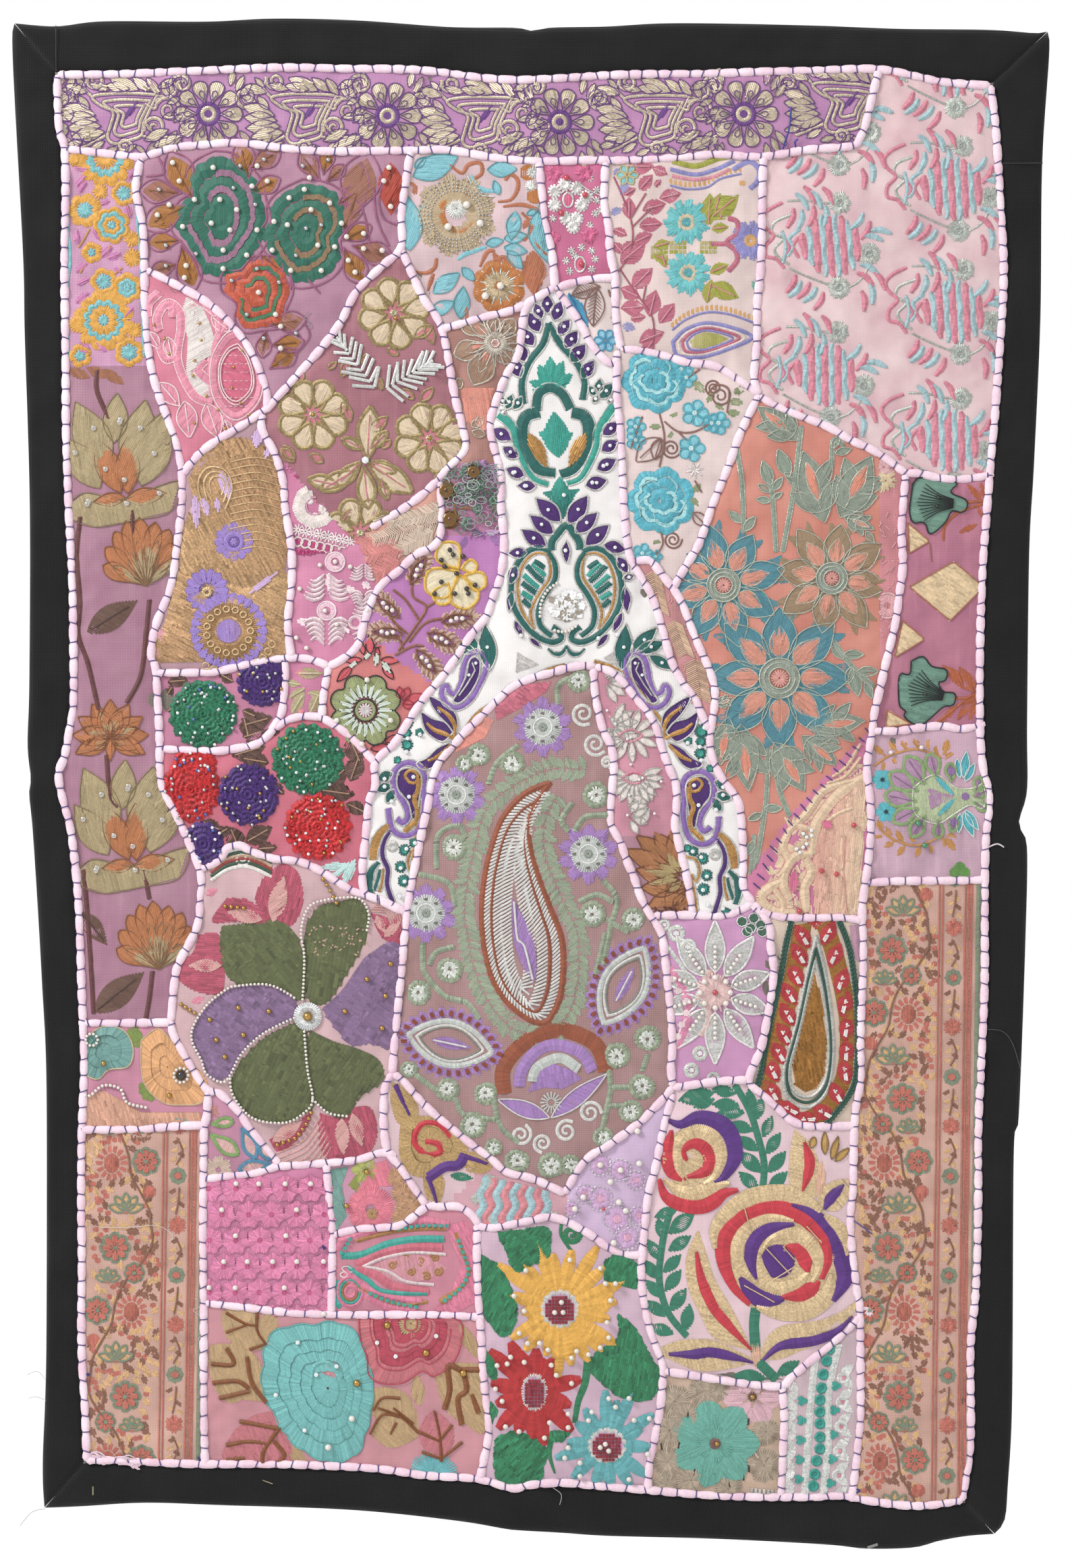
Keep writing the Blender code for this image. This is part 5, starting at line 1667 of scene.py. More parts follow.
def sewBrownLeaf():
    work = Needlework("brownLeaf")
    brown = "8E6458"
    leafOne, rib = leafShape(24, 12, fat=0.5, bend=-0.05)
    for x, drop, angle, size in ((39, 155, 98, 1.0), (41, 155, 165, 0.75)):
        work.move(x, drop, turn=angle, size=size)
        work.line(leafOne, brown, width=0.8, closed=True, step=1.4)
        work.line(rib, brown, width=0.8, step=1.4)
        for k in range(2, 10):
            work.line([rib[k], rib[k] + (3, 4.2 - abs(k - 5) * 0.4)], brown, width=0.5, step=1.2)
            work.line([rib[k], rib[k] + (3, -4.2 + abs(k - 5) * 0.4)], brown, width=0.5, step=1.2)
    work.move()
    work.leaves([(23, 161, 34, 180), (22, 159, 27, 167)], 0.4, "3F9BC4", vein="2E6FA0")
    work.flower(44, 187, 7, "8CCBE0", petals=6, edge="3F9BC4")
    work.disc(46, 190, 1.6, "3F5FA8")
    work.line([(46, 157), (47, 161)], brown, width=1.2)
    work.leaves([(53, 165, 47, 174)], 0.3, "CFAFA0")
    work.sew()


def sewRedLeaves():
    work = Needlework("redLeaves")
    red, turquoise, olive, periwinkle, amber = "C0647C", "62BFC2", "A3A32E", "8C88C4", "D9A45E"
    for run in ([(49, 90), (55, 104), (60, 120), (59, 134), (52, 146)],
                [(53, 145), (62, 159), (72, 174), (72, 192)], [(60, 120), (73, 107)],
                [(59, 115), (68, 100)], [(66, 165), (68, 155)]):
        work.line(run, "A95468", width=1.0, smooth=True)
    work.leaves([
        (57, 84, 73, 84), (64, 98, 72, 89), (55, 101, 62, 97), (58, 115, 58, 102),
        (76, 103, 89, 100), (66, 110, 80, 106), (64, 119, 78, 118), (49, 121, 57, 125),
        (61, 129, 72, 124), (53, 141, 68, 129), (60, 156, 72, 144),
        (53, 156, 65, 162), (53, 168, 68, 167), (70, 173, 74, 157),
        (76, 177, 85, 165), (64, 188, 79, 182), (66, 196, 73, 186), (72, 85, 81, 89),
        (49, 129, 55, 136), (54, 134, 61, 128), (73, 96, 77, 92), (59, 174, 68, 173),
    ], 0.62, red, vein="D9909E", puff=0.6, slant=40)
    for x, drop in ((92, 117), (93, 147)):
        work.rays(x, drop, 5.5, 14.5, turquoise, lobes=11, depth=0.3, uneven=0.15, width=1.1, puff=0.7)
        work.rays(x, drop, 3.2, 6.4, "D2BE9C", width=0.8, uneven=0.3)
        work.rays(x, drop, 0, 3.4, "4CA5AA", width=0.8)
    for x, drop in ((87, 132), (105, 132), (76, 135)):
        for dx in (-4, -1.4, 1.2, 3.8):
            for dy in (-2.6, 0, 2.6):
                work.disc(x + dx, drop + dy, 1.15, olive if (dx > 0) != (dy > 0) else "B9B070")
    work.leaves([
        (105, 119, 106, 100), (82, 129, 72, 132), (80, 140, 72, 136), (80, 144, 77, 135),
        (104, 165, 107, 151), (106, 115, 123, 101), (107, 121, 117, 120), (106, 147, 117, 142),
        (106, 154, 123, 162), (109, 111, 112, 100),
    ], 0.57, olive, vein="D98A8A", slant=35, puff=0.7)
    work.band([(117, 115), (122, 117), (122, 124), (116, 129), (121, 134), (122, 140), (117, 146)], 3.0, red)
    work.band([(107, 130), (113, 130), (117, 130)], 2.6, red)
    work.rays(130, 128, 3.6, 12, periwinkle, lobes=11, depth=0.28, width=1.0)
    work.rays(130, 128, 1.0, 4.2, amber, width=0.7)
    eye = [(84, 188), (91, 181), (103, 177), (117, 179), (131, 185), (117, 192), (100, 197),
           (87, 196)]
    centre = np.array(eye).mean(0)
    for size, colour, wide in ((1.0, periwinkle, 2.2), (0.84, "E7D3CC", 1.4), (0.72, red, 1.8),
                               (0.58, periwinkle, 1.2)):
        work.band(centre + (np.array(eye) - centre) * (size, size), wide, colour, closed=True)
    work.fill(centre + (np.array(eye) - centre) * 0.48, olive, puff=0.7, to="B9B070")
    for points in ([(84, 178), (92, 172), (104, 168), (117, 169), (132, 174)],
                   [(83, 93), (92, 95), (104, 94), (112, 89), (124, 86)]):
        for x, drop in smoothLine(points, 2.9):
            work.leaf(x, drop + 1.5, 265, 3.6, 2.0, amber, width=0.7)
        work.band([(x, drop + 2.6) for x, drop in points], 1.2, periwinkle)
    for run, colour, wide in (([(84, 81), (97, 84), (109, 80), (117, 78)], olive, 3.2),
                              ([(83, 86), (97, 89), (109, 86), (120, 81)], periwinkle, 2.4),
                              ([(84, 90), (97, 92), (109, 90), (117, 86)], "D98A9A", 2.0),
                              ([(120, 86), (129, 81), (135, 86), (134, 93), (130, 97)], periwinkle, 3.0)):
        work.band(run, wide, colour)
    work.disc(125, 94, 1.6, amber)
    work.flower(57, 89, 6.5, "7CC6C8", petals=6, edge="C9B27A")
    work.leaves([(49, 89, 53, 85), (57, 93, 53, 101), (47, 112, 54, 109),
                 (54, 178, 62, 180)], 0.61, "9A96C4")
    work.disc(57, 89, 1.6, "E0A86A")
    work.line([(114, 107), (112, 115)], "D98A8A", width=0.9)
    work.leaves([(131, 152, 135, 159)], 3, "6FB9A8")
    work.sew()


for sewing in (sewTopStrip, sewAmberFlowers, sewRoses, sewTealPots, sewBlueFloral, sewSilverOnPink,
               sewBrownLeaf, sewRedLeaves):
    sewing()
print("top row sewn")


def sewPinkPaisleys():
    work = Needlework("pinkPaisleys")
    pink, deep, pale = "E88FA6", "D96482", "F0CFD2"
    work.fill([(-204, 161), (-194, 168), (-190, 177), (-185, 193), (-192, 197), (-196, 205), (-188, 218),
               (-192, 221), (-200, 217), (-204, 205), (-203, 186), (-207, 172)], "E2D6D0", angle=150,
              puff=0.6)
    eye = np.array([(-173, 182), (-165, 192), (-160, 209), (-162, 222), (-173, 232), (-182, 228),
                    (-188, 216), (-188, 199), (-181, 186)])
    inner = eye.mean(0) + (eye - eye.mean(0)) * 0.72
    work.fill(inner, deep, angle=30)
    work.band(eye, 5.4, pink, closed=True, puff=0.8)
    for outline in (inner, eye.mean(0) + (eye - eye.mean(0)) * 1.08,
                    eye.mean(0) + (eye - eye.mean(0)) * 0.64):
        work.line(outline, pale, width=0.8, closed=True, smooth=True, out=1)
    for k in range(7):
        net = [(-185, 200), (-163, 200)]
        work.line(np.array(net) + (0, 5 * k - 4), pale, width=0.5, gap=0.4, step=2.4)
    for run in (
        [(-220, 181), (-221, 173), (-215, 165), (-208, 170), (-207, 180), (-209, 199), (-200, 219),
         (-189, 224)],
        [(-227, 173), (-226, 165), (-220, 159)], [(-193, 199), (-197, 205), (-189, 212)],
        [(-212, 173), (-211, 168), (-214, 169)], [(-193, 165), (-185, 173), (-184, 182)],
        [(-178, 176), (-185, 186), (-189, 200)], [(-220, 190), (-216, 198), (-211, 197)],
        [(-182, 232), (-174, 236), (-165, 232)],
    ):
        work.band(run, 5.0, pink, puff=0.8, edge=pale, edgeWidth=0.7, slant=1.5)
    work.leaves([(-205, 223, -202, 245), (-192, 224, -185, 245), (-181, 234, -178, 243),
                 (-220, 212, -208, 226), (-226, 182, -220, 192), (-215, 185, -212, 199),
                 (-189, 173, -178, 182)], 0.55, pink,
                edge=pale, vein=pale, slant=50)
    work.bead([(-223, 178), (-217, 186), (-214, 195), (-196, 177), (-195, 187), (-199, 199), (-200, 208),
               (-192, 220), (-171, 193), (-176, 203), (-177, 215), (-172, 224), (-167, 231), (-199, 236),
               (-185, 228), (-181, 239), (-221, 213)], "goldBead", 1.0)
    work.sew()


def sewOliveZari():
    work = Needlework("oliveZari")
    olive, cream, pink = "A08B5C", "DBC3A2", "CB7480"
    for x, drop, turn in ((-81, 171, 10), (-129, 231, 0), (-60, 245, 5), (-101, 301, 0)):
        work.move(x, drop, turn)
        for k in range(8):
            a = math.radians(45 * k + 22)
            root = (5 * math.cos(a), 5 * math.sin(a))
            petal = turned(leafShape(16, 12.5, fat=0.66, tip=0.6)[0], *root, 45 * k + 22)
            work.fill(petal, cream, angle=45 * k + 22, puff=0.5)
            work.band(petal, 2.6, olive, closed=True, metal=True, spacing=0.7, puff=0.6)
            work.leaf(0, 0, 45 * k, 10, 2.4, pink, puff=0.8)
        work.rays(0, 0, 0.2, 2.4, "CFC9A0", metal=True, puff=0.9)
    work.move()
    work.leaves([(-113, 273, -132, 269), (-104, 264, -125, 276), (-97, 259, -70, 277), (-97, 258, -95, 226),
                 (-99, 262, -96, 287), (-101, 259, -115, 273), (-95, 259, -80, 265), (-88, 216, -91, 209),
                 (-100, 251, -112, 245), (-95, 251, -85, 241), (-89, 269, -85, 281), (-107, 287, -112, 295)],
                0.42, cream, edge=olive, edgeWidth=2.2, edgeMetal=True, vein=pink, fat=0.55)
    work.leaves([(-120, 204, -115, 200), (-135, 205, -140, 215), (-148, 251, -140, 259),
                 (-100, 201, -97, 195), (-69, 185, -58, 178), (-65, 223, -58, 215), (-83, 246, -88, 251),
                 (-140, 257, -147, 249), (-123, 259, -131, 254), (-76, 216, -69, 222), (-85, 192, -78, 196),
                 (-51, 265, -58, 272), (-107, 235, -112, 223), (-95, 241, -85, 232), (-62, 178, -58, 189),
                 (-108, 199, -112, 209)],
                0.5, pink, edge=olive, edgeWidth=1.2, edgeMetal=True)
    for root, tip in (((-90, 218), (-115, 185)), ((-88, 217), (-58, 199))):
        root, tip = np.array(root, float), np.array(tip, float)
        way = (tip - root) / math.hypot(*(tip - root))
        cross = np.array([-way[1], way[0]])
        for k in range(9):
            spot = root + (tip - root) * (0.1 + 0.1 * k)
            for side in (-1, 1):
                end = spot + way * rng.uniform(4, 11)
                end = end + cross * side * (11 - k * 0.7) * rng.uniform(0.75, 1.15)
                work.line([spot, end], "D9D9D6", width=2.0, step=20, metal=True, high=1.1, out=0.9)
        work.line([root + (tip - root) * 0.75, tip], "D9D9D6", width=2.0, step=20, metal=True, high=1.1,
                  out=0.9)
    work.bead([(-98, 258)], "stone", 2.6)
    work.bead([(-129, 231), (-80, 174), (-60, 245)], "goldBead", 1.3, out=1.8)
    work.sew()


def sewLotusStrip():
    work = Needlework("lotusStrip")
    tan, rust, stem, dark = "AE9A70", "B9713F", "6B3B3B", "6A4A3C"
    tanEdge, rustEdge = "8A7350", "8E5530"
    for x, drop in ((-243, 265), (-238, 482)):
        work.move(x, drop)
        base = [(-35.2, 23), (-21.6, 12.2), (0, 16.2), (18.9, 9.5), (35.2, 5.4), (29.7, 23), (8.1, 28.4),
                (-14.9, 32.4), (-31.1, 27)]
        work.fill(base, tan, angle=75, puff=0.7)
        work.line(base, tanEdge, width=0.7, closed=True, smooth=True)
        work.leaves([(-8.1, -1.4, -27, -41.9), (-12.2, 9.5, -32.4, -20.3), (-4.1, -17.6, -2, -47.3),
                     (6.8, 2.7, 14.9, -43.3), (12.2, 8.1, 25.7, -36.5)], 0.5, tan, edge=tanEdge,
                    edgeWidth=0.6, slant=20, puff=0.7, stitch=4)
        work.leaves([(0, 12.2, -14.9, -20.3), (4.1, 12.8, 4.1, -21.6), (2.7, 14.9, -16.2, 17.6),
                     (2.7, 16.2, 27, 12.2), (2.7, 8.1, -0.7, -5.4)], 0.42, rust, edge=rustEdge,
                    edgeWidth=0.6, slant=20, puff=0.9, stitch=4)
        spots = [(-16, -26.1), (0, -31.1), (-0.4, -29.5), (11.9, -26.1), (-27, -11.5), (20, -11.1),
                 (-8.8, -1.8), (2.4, 4.5), (23, 12.4), (3.8, 18.5), (-18.9, 17.3), (-19.7, 18.9)]
        work.bead(spots, "sequin", 1.5, out=1.6)
    for x, drop in ((-232, 312), (-224, 539)):
        work.move(x, drop)
        work.leaves([(4.1, 20.3, -21.6, 8.1), (4.1, 20.3, -20.3, -2.7), (4.1, 20.3, -14.9, -12.2),
                     (4.1, 20.3, -8.1, -18.3), (4.1, 20.3, 0, -20.3), (4.1, 20.3, 9.5, -17.6),
                     (4.1, 20.3, 17.6, -13.5), (4.1, 20.3, 22.3, -5.4)], 10.5, rust,
                    edge=rustEdge, edgeWidth=0.6, fat=0.72, slant=15, tip=0.7)
        work.leaves([(4.1, 20.3, -16.2, 8.1), (4.1, 20.3, -6.8, 0), (4.1, 20.3, -1.4, -6.8),
                     (4.1, 20.3, 5.4, -8.1), (4.1, 20.3, 10.8, -6.8), (4.1, 20.3, 17.6, 5.4),
                     (4.1, 20.3, 23, 2.7)], 6.5, tan, edge=tanEdge, edgeWidth=0.6, fat=0.6)
    work.move(-249, 416)
    for colour, radius, count in ((rust, 23, 9), (tan, 17, 6), (rust, 11, 5)):
        for k in range(count):
            angle = -205 + 230 * k / (count - 1)
            work.leaf(0, 6, angle, radius, radius * 0.5, colour, edge=rustEdge, edgeWidth=0.5, slant=15)
    work.leaves([(0, 4, -18, 16), (0, 4, 18, 16), (0, 4, 0, 20)], 6, rust, edge=rustEdge, edgeWidth=0.5)
    work.move()
    for run in (
        [(-257, 205), (-257, 217), (-250, 233)],
        [(-267, 292), (-269, 314), (-267, 341), (-268, 361), (-262, 379),
        (-256, 405)], [(-236, 288), (-236, 301)], [(-226, 341), (-228, 361), (-231, 385), (-239, 401)],
        [(-251, 433), (-249, 457), (-245, 463)], [(-265, 501), (-262, 537), (-259, 585)],
        [(-229, 501), (-226, 517)], [(-224, 561), (-226, 577), (-229, 593)],
    ):
        work.band(run, 2.8, stem, spacing=0.9, puff=0.8)
    work.leaves([(-263, 360, -233, 341), (-259, 585, -229, 561), (-267, 525, -251, 545)], 0.42, dark,
                vein="4E342C", slant=60)
    work.leaves([(-274, 204, -261, 209), (-254, 204, -241, 213), (-263, 203, -250, 209)], 6, "9E6242",
                slant=30)
    work.sew()


def sewTanScrolls():
    work = Needlework("tanScrolls")
    tan, gold, violet, deep = "BE9268", "D2A877", "9E80CE", "7558A8"
    work.fill([(-203, 269), (-197, 258), (-186, 246), (-171, 244), (-155, 251), (-147, 270), (-144, 308),
               (-146, 324), (-161, 337), (-180, 334), (-209, 327), (-207, 301), (-200, 281)], tan,
              angle=62, metal=True, to=gold, vary=0.16, stitch=4, width=0.75)
    work.fill([(-209, 324), (-180, 331), (-144, 324), (-143, 376), (-228, 378), (-217, 354)], gold,
              angle=28, metal=True, to=tan, vary=0.16, stitch=4, width=0.75)
    for root, tip, wide in (((-184, 264), (-178, 282), 7), ((-199, 278), (-198, 299), 5),
                            ((-195, 280), (-191, 291), 5), ((-186, 280), (-185, 289), 3),
                            ((-161, 239), (-163, 251), 6), ((-167, 337), (-150, 324), 3.2),
                            ((-156, 251), (-157, 257), 3)):
        work.leaves([(*root, *tip)], wide, "D2AEDA", lift=0.9, puff=0.2)
    for size in (1.0, 0.72, 0.45):
        work.line(np.array([(-9.5, 12.2), (-12.2, 0), (-6.8, -9.5), (4.1, -8.1), (8.1, 2.7),
                            (4.1, 14.9)]) * size + (-185, 272),
                  "E0BE8E", width=0.9, metal=True, smooth=True, out=1.3)
    for row in range(13):
        work.line(np.array([(-16.2, 0), (0, -2.7), (14.9, 1.4)]) + (-162, 259) + (0, row * 4.4), "D8B482",
                  width=0.7, metal=True, smooth=True, out=1.0)
    work.flower(-176, 306, 11.6, violet, petals=12, inner=0.5, edge=deep, fat=0.7, tip=0.6, wide=1.25,
                lift=0.8)
    work.rings(-176, 306, 6, [violet, deep, violet], [1, 0.6, 0.35], lobes=0, lift=1.2)
    work.flower(-192, 335, 13, violet, petals=14, inner=0.4, edge=deep, fat=0.7, tip=0.6, wide=1.25,
                lift=0.8)
    work.rings(-192, 336, 3, ["D9B98A", "8A6A50"], [1, 0.4], lobes=0, lift=1.6, metal=True)
    x, drop = -179, 359
    for k in range(26):
        a = 2 * math.pi * k / 26
        work.leaf(x + 16 * math.cos(a), drop + 16 * math.sin(a), math.degrees(a), 7, 5, violet, edge=deep,
                  fat=0.7, tip=0.6, edgeWidth=0.5, lift=0.9)
    work.rays(x, drop, 9, 16.5, "A98052", metal=True, lift=1.0)
    for k in range(15):
        a = 2 * math.pi * k / 15
        spot = (x + 13 * math.cos(a), drop + 13 * math.sin(a))
        work.line(ringShape(1.9, 10) + spot, "E0BE8E", width=0.8, closed=True, metal=True, step=1.1, out=1.8)
    for k in range(10):
        a = 2.1 - math.pi * k / 16
        spot = (x + 27 * math.cos(a), drop + 24 * math.sin(a))
        work.line(ringShape(2.1, 10) + spot, "D8B482", width=0.9, closed=True, metal=True, step=1.1, out=1.6)
    work.disc(x, drop, 7, "A580B8", lift=1.2, to=violet)
    work.leaves([(-224, 368, -220, 376), (-220, 358, -217, 366)], 5, "E8A0AC")
    work.sew()


def sewWhiteScallops():
    work = Needlework("whiteScallops")
    white, pink, deep = "EBDDD6", "E07BAA", "C23A7C"
    for x, drop, inner, outer in ((-128, 285, 6, 13.5), (-120, 287, 2, 6)):
        work.rays(x, drop, inner, outer, white, width=0.9, puff=0.8, uneven=0.05)
    work.line(ringShape(5.2) + (-128, 285), "D9A0B4", width=1.0, closed=True)
    for k in range(8):
        spot = np.array((-138, 299)) + np.array((4.4, 1.0)) * k
        work.rays(*spot, 0.5, 3.6, "F2E4E2", width=0.7, count=9)
        work.line(ringShape(3.0, 10) + (spot + (0, 7)), white, width=0.9, closed=True)
        work.disc(*(spot + (0, 7)), 1.6, deep)
    for k in range(9):
        spot = np.array((-142, 262)) + np.array((5.0, 4.2)) * k
        work.rays(*spot, 0.3, 4.5, deep if k % 2 else pink, width=0.9, uneven=0.5, puff=0.9)
    for k in range(9):
        spot = np.array((-140, 312)) + np.array((4.2, 0.3)) * k
        work.rays(*spot, 0.3, 3.2, deep, width=0.9, uneven=0.5, puff=0.9)
    work.starAt([(-125, 281), (-121, 287), (-128, 291), (-131, 282)], 2.2, "F2E4E2", metal=False)
    work.sew()


def sewPaleScrolls():
    work = Needlework("paleScrolls")
    pale, white = "F3C6D6", "F6DDE2"
    for x, drop, size in ((-121, 346, 1), (-94, 355, 0.85), (-99, 332, 0.6)):
        for flip in (False, True):
            work.move(x, drop, size=size, flip=flip)
            for way in (-1, 1):
                for k in range(5):
                    bow = [(1.6, way * (9 + 2.9 * k)), (4, way * (6.6 + 2.9 * k)),
                           (8.5 - 0.5 * k, way * (5.6 + 2.7 * k)),
                           (13 - k, way * (7.5 + 2.5 * k) + rng.uniform(-0.6, 0.6))]
                    work.band(bow, 2.0, white, spacing=0.6, puff=0.9, taper=(0.3, 1, 1, 0.3), slant=1.2)
                    work.line(np.array(bow) + (0, 1.1), pale, width=0.5, smooth=True, out=0.3)
    work.move()
    for x, drop, radius in ((-116, 318, 5.8), (-121, 347, 5.6), (-104, 354, 4)):
        work.rays(x, drop, 2.4, radius, pale, width=0.8)
        work.line(ringShape(radius) + (x, drop), white, width=0.9, closed=True)
    work.leaves([(-120, 324, -119, 337), (-104, 334, -112, 335), (-139, 353, -130, 354),
                 (-107, 360, -117, 354), (-100, 330, -95, 334)], 4, white)
    work.bead([(-116, 318), (-137, 334), (-122, 347), (-125, 320), (-139, 363), (-115, 355), (-97, 347),
               (-133, 369), (-107, 321)], "pearl", 1.5, out=1.4)
    work.sew()


def sewFeather():
    work = Needlework("feather")
    cream, rose = "DCC4AE", "E08A86"
    for root, tip, colour, spread_ in (((-49, 293), (-92, 305), cream, 9),
                                       ((-51, 287), (-84, 295), cream, 7),
                                       ((-76, 311), (-103, 315), rose, 9),
                                       ((-78, 318), (-100, 330), rose, 8),
                                       ((-58, 300), (-78, 311), cream, 8),
                                       ((-95, 305), (-107, 314), rose, 6)):
        root, tip = np.array(root, float), np.array(tip, float)
        way = (tip - root) / math.hypot(*(tip - root))
        cross = np.array([-way[1], way[0]])
        for share in np.linspace(0, 1, 34):
            spot = root + (tip - root) * share
            reach = spread_ * (1 - 0.5 * share)
            for side in (-1, 1):
                end = spot + way * reach * 0.6 + cross * side * reach * rng.uniform(0.7, 1.0)
                work.line([spot, end], colour, width=0.8, step=20, out=0.4, vary=0.1)
    work.sew()


def sewDiscButtons():
    work = Needlework("discButtons")
    for x, drop in rng.normal((0, 0), (12, 13), (150, 2)) + (-34, 277):
        colour = ("86A08E", "B9CDBF", "A9A0B0", "5E7E6C")[rng.integers(4)]
        loop = ringShape(rng.uniform(1.8, 3.8), 9) * (1, rng.uniform(0.6, 1)) + (x, drop)
        work.line(loop, colour, width=0.55, closed=True, step=1.2, out=rng.uniform(0.4, 2.2))
    for x, drop in ((-39, 265), (-30, 272), (-22, 282), (-38, 295), (-32, 287)):
        work.rays(x, drop, 0.4, 4.0, "6E8E78", uneven=0.4, puff=1.2, width=0.8)
    for root, tip in (((-31, 249), (-22, 268)), ((-22, 251), (-30, 259)), ((-45, 303), (-38, 312)),
                      ((-35, 301), (-16, 323)), ((-27, 300), (-20, 308))):
        root, tip = np.array(root, float), np.array(tip, float)
        way = (tip - root) / math.hypot(*(tip - root))
        cross = np.array([-way[1], way[0]])
        for share in np.linspace(0, 1, 20):
            spot = root + (tip - root) * share
            reach = 7 * math.sin(math.pi * (0.15 + 0.8 * share))
            for side in (-1, 1):
                work.line([spot, spot + way * 2 + cross * side * reach], "B05CB4" if side > 0 else "C9A0CC",
                          width=0.8, step=20, out=0.5)
    work.line([(-34, 299), (-27, 303), (-20, 310)], "6A4E78", width=2.0, step=1.4)
    for x, drop, radius in ((-50, 276, 4.4), (-48, 293, 4.2), (-34, 265, 3.6)):
        work.rays(x, drop, radius, radius + 1.6, "8A5A2E", puff=0.8)
        work.bead([(x, drop)], "bronze", radius, out=2.2)
    for run in ([(-56, 284), (-54, 291), (-49, 297), (-43, 295)], [(-45, 284), (-45, 288), (-43, 293)],
                [(-42, 287), (-38, 286), (-35, 287)]):
        work.line(run, "8A5A2E", width=1.3, smooth=True, out=1.4)
    work.sew()


def sewButterfly():
    work = Needlework("butterfly")
    yellow, cream, brown, tan = "F0C03C", "E9D9B4", "9B6550", "D9B59A"
    wings = [(-43, 322, -53, 307), (-43, 324, -62, 335), (-41, 322, -32, 320), (-42, 326, -38, 346),
             (-39, 326, -27, 332), (-49, 331, -55, 343)]
    for x, drop, tipX, tipDrop in wings:
        length, angle = reachOf(x, drop, tipX, tipDrop)
        shape = turned(leafShape(length, length * 0.85, fat=0.62, tip=0.7)[0], x, drop, angle)
        work.fill(shape, cream, angle=angle, width=0.8)
        work.band(shape, 1.8, yellow, closed=True, puff=1.0)
    work.bead([(-48, 311), (-46, 314), (-40, 315), (-53, 317), (-51, 321), (-44, 325), (-53, 330),
               (-57, 337), (-45, 337), (-38, 334), (-37, 337), (-33, 332)], "blackBead", 1.6, out=1.4)
    for run in ([(-78, 370), (-69, 357), (-62, 345), (-70, 338), (-70, 324)],
                [(-72, 365), (-62, 354), (-46, 351)], [(-74, 360), (-83, 351), (-85, 339)],
                [(-80, 373), (-70, 368), (-64, 368)], [(-62, 345), (-57, 342)],
                [(-85, 360), (-78, 364), (-76, 370)], [(-66, 353), (-74, 341), (-81, 335)]):
        work.band(run, 1.6, brown, spacing=0.9, puff=0.8)
    for x, drop, turn in ((-67, 323, -60), (-85, 345, 220), (-85, 360, 185), (-44, 352, -10),
                          (-53, 364, 25), (-62, 377, 50)):
        work.move(x, drop, turn)
        for share in (-8, -4, 0, 4, 8):
            for side in (-1, 1):
                work.leaf(share, side, side * 48, 8.6 - 0.4 * abs(share), 3.4, tan, vein=brown, puff=0.8,
                          stitch=4)
        work.leaf(8, 0, 0, 7, 3.4, tan, puff=0.8)
        work.band(leafShape(18, 6)[0] - (9, 0), 1.1, brown, closed=True, puff=0.8, lift=0.6)
        work.bead([(-3.4, 0.5), (0, -0.4), (3.4, 0.3)], "pearl", 1.5, out=2.2)
    work.move()
    work.leaves([(-22, 301, -20, 309), (-38, 303, -42, 311)], 4, "9C6AA8")
    work.sew()


def sewBrownSilk():
    work = Needlework("brownSilk")
    grey, brown, coral = "B9AFA0", "A27F66", "DC8A76"
    for x, drop, angle, reach in ((-22, 188, 0, 17), (-22, 188, 50, 17), (-23, 190, 115, 26),
                                  (-27, 189, 160, 20), (-24, 185, 215, 22), (-22, 185, 270, 13),
                                  (-19, 186, 310, 15)):
        work.leaf(x, drop, angle, reach, reach * 0.62, brown, edge=grey, edgeMetal=True, edgeWidth=1.0,
                  fat=0.6)
        work.leaf(x, drop, angle, reach * 0.7, reach * 0.3, coral, edge=grey, edgeMetal=True, edgeWidth=0.8)
    work.rays(-21, 189, 3, 7, grey, metal=True, lift=0.8)
    work.rays(-21, 189, 0.5, 3, "C98A88", lift=0.9)
    work.line(ringShape(2.4) + (-21, 189), "D8CFC4", width=0.8, closed=True, metal=True, out=1.4)
    for k in range(16):
        a = 2 * math.pi * k / 16
        spoke = np.array([math.cos(a), math.sin(a)])
        work.line([spoke * 7 + (-21, 189), spoke * 14 + (-21, 189)], "CFC6BA", width=0.7, metal=True,
                  out=1.2)
    work.leaves([(-35, 238, -30, 235), (-27, 243, -35, 241), (-30, 238, -31, 232), (-43, 209, -42, 216)], 5,
                brown, edge=grey, edgeMetal=True)
    work.fill([(-42, 215), (-22, 215), (-27, 241), (-38, 235)], coral, angle=80, puff=0.2, high=0.15)
    work.sew()


for sewing in (sewPinkPaisleys, sewOliveZari, sewLotusStrip, sewTanScrolls, sewWhiteScallops, sewPaleScrolls,
               sewFeather, sewDiscButtons, sewButterfly, sewBrownSilk):
    sewing()
print("left side sewn")


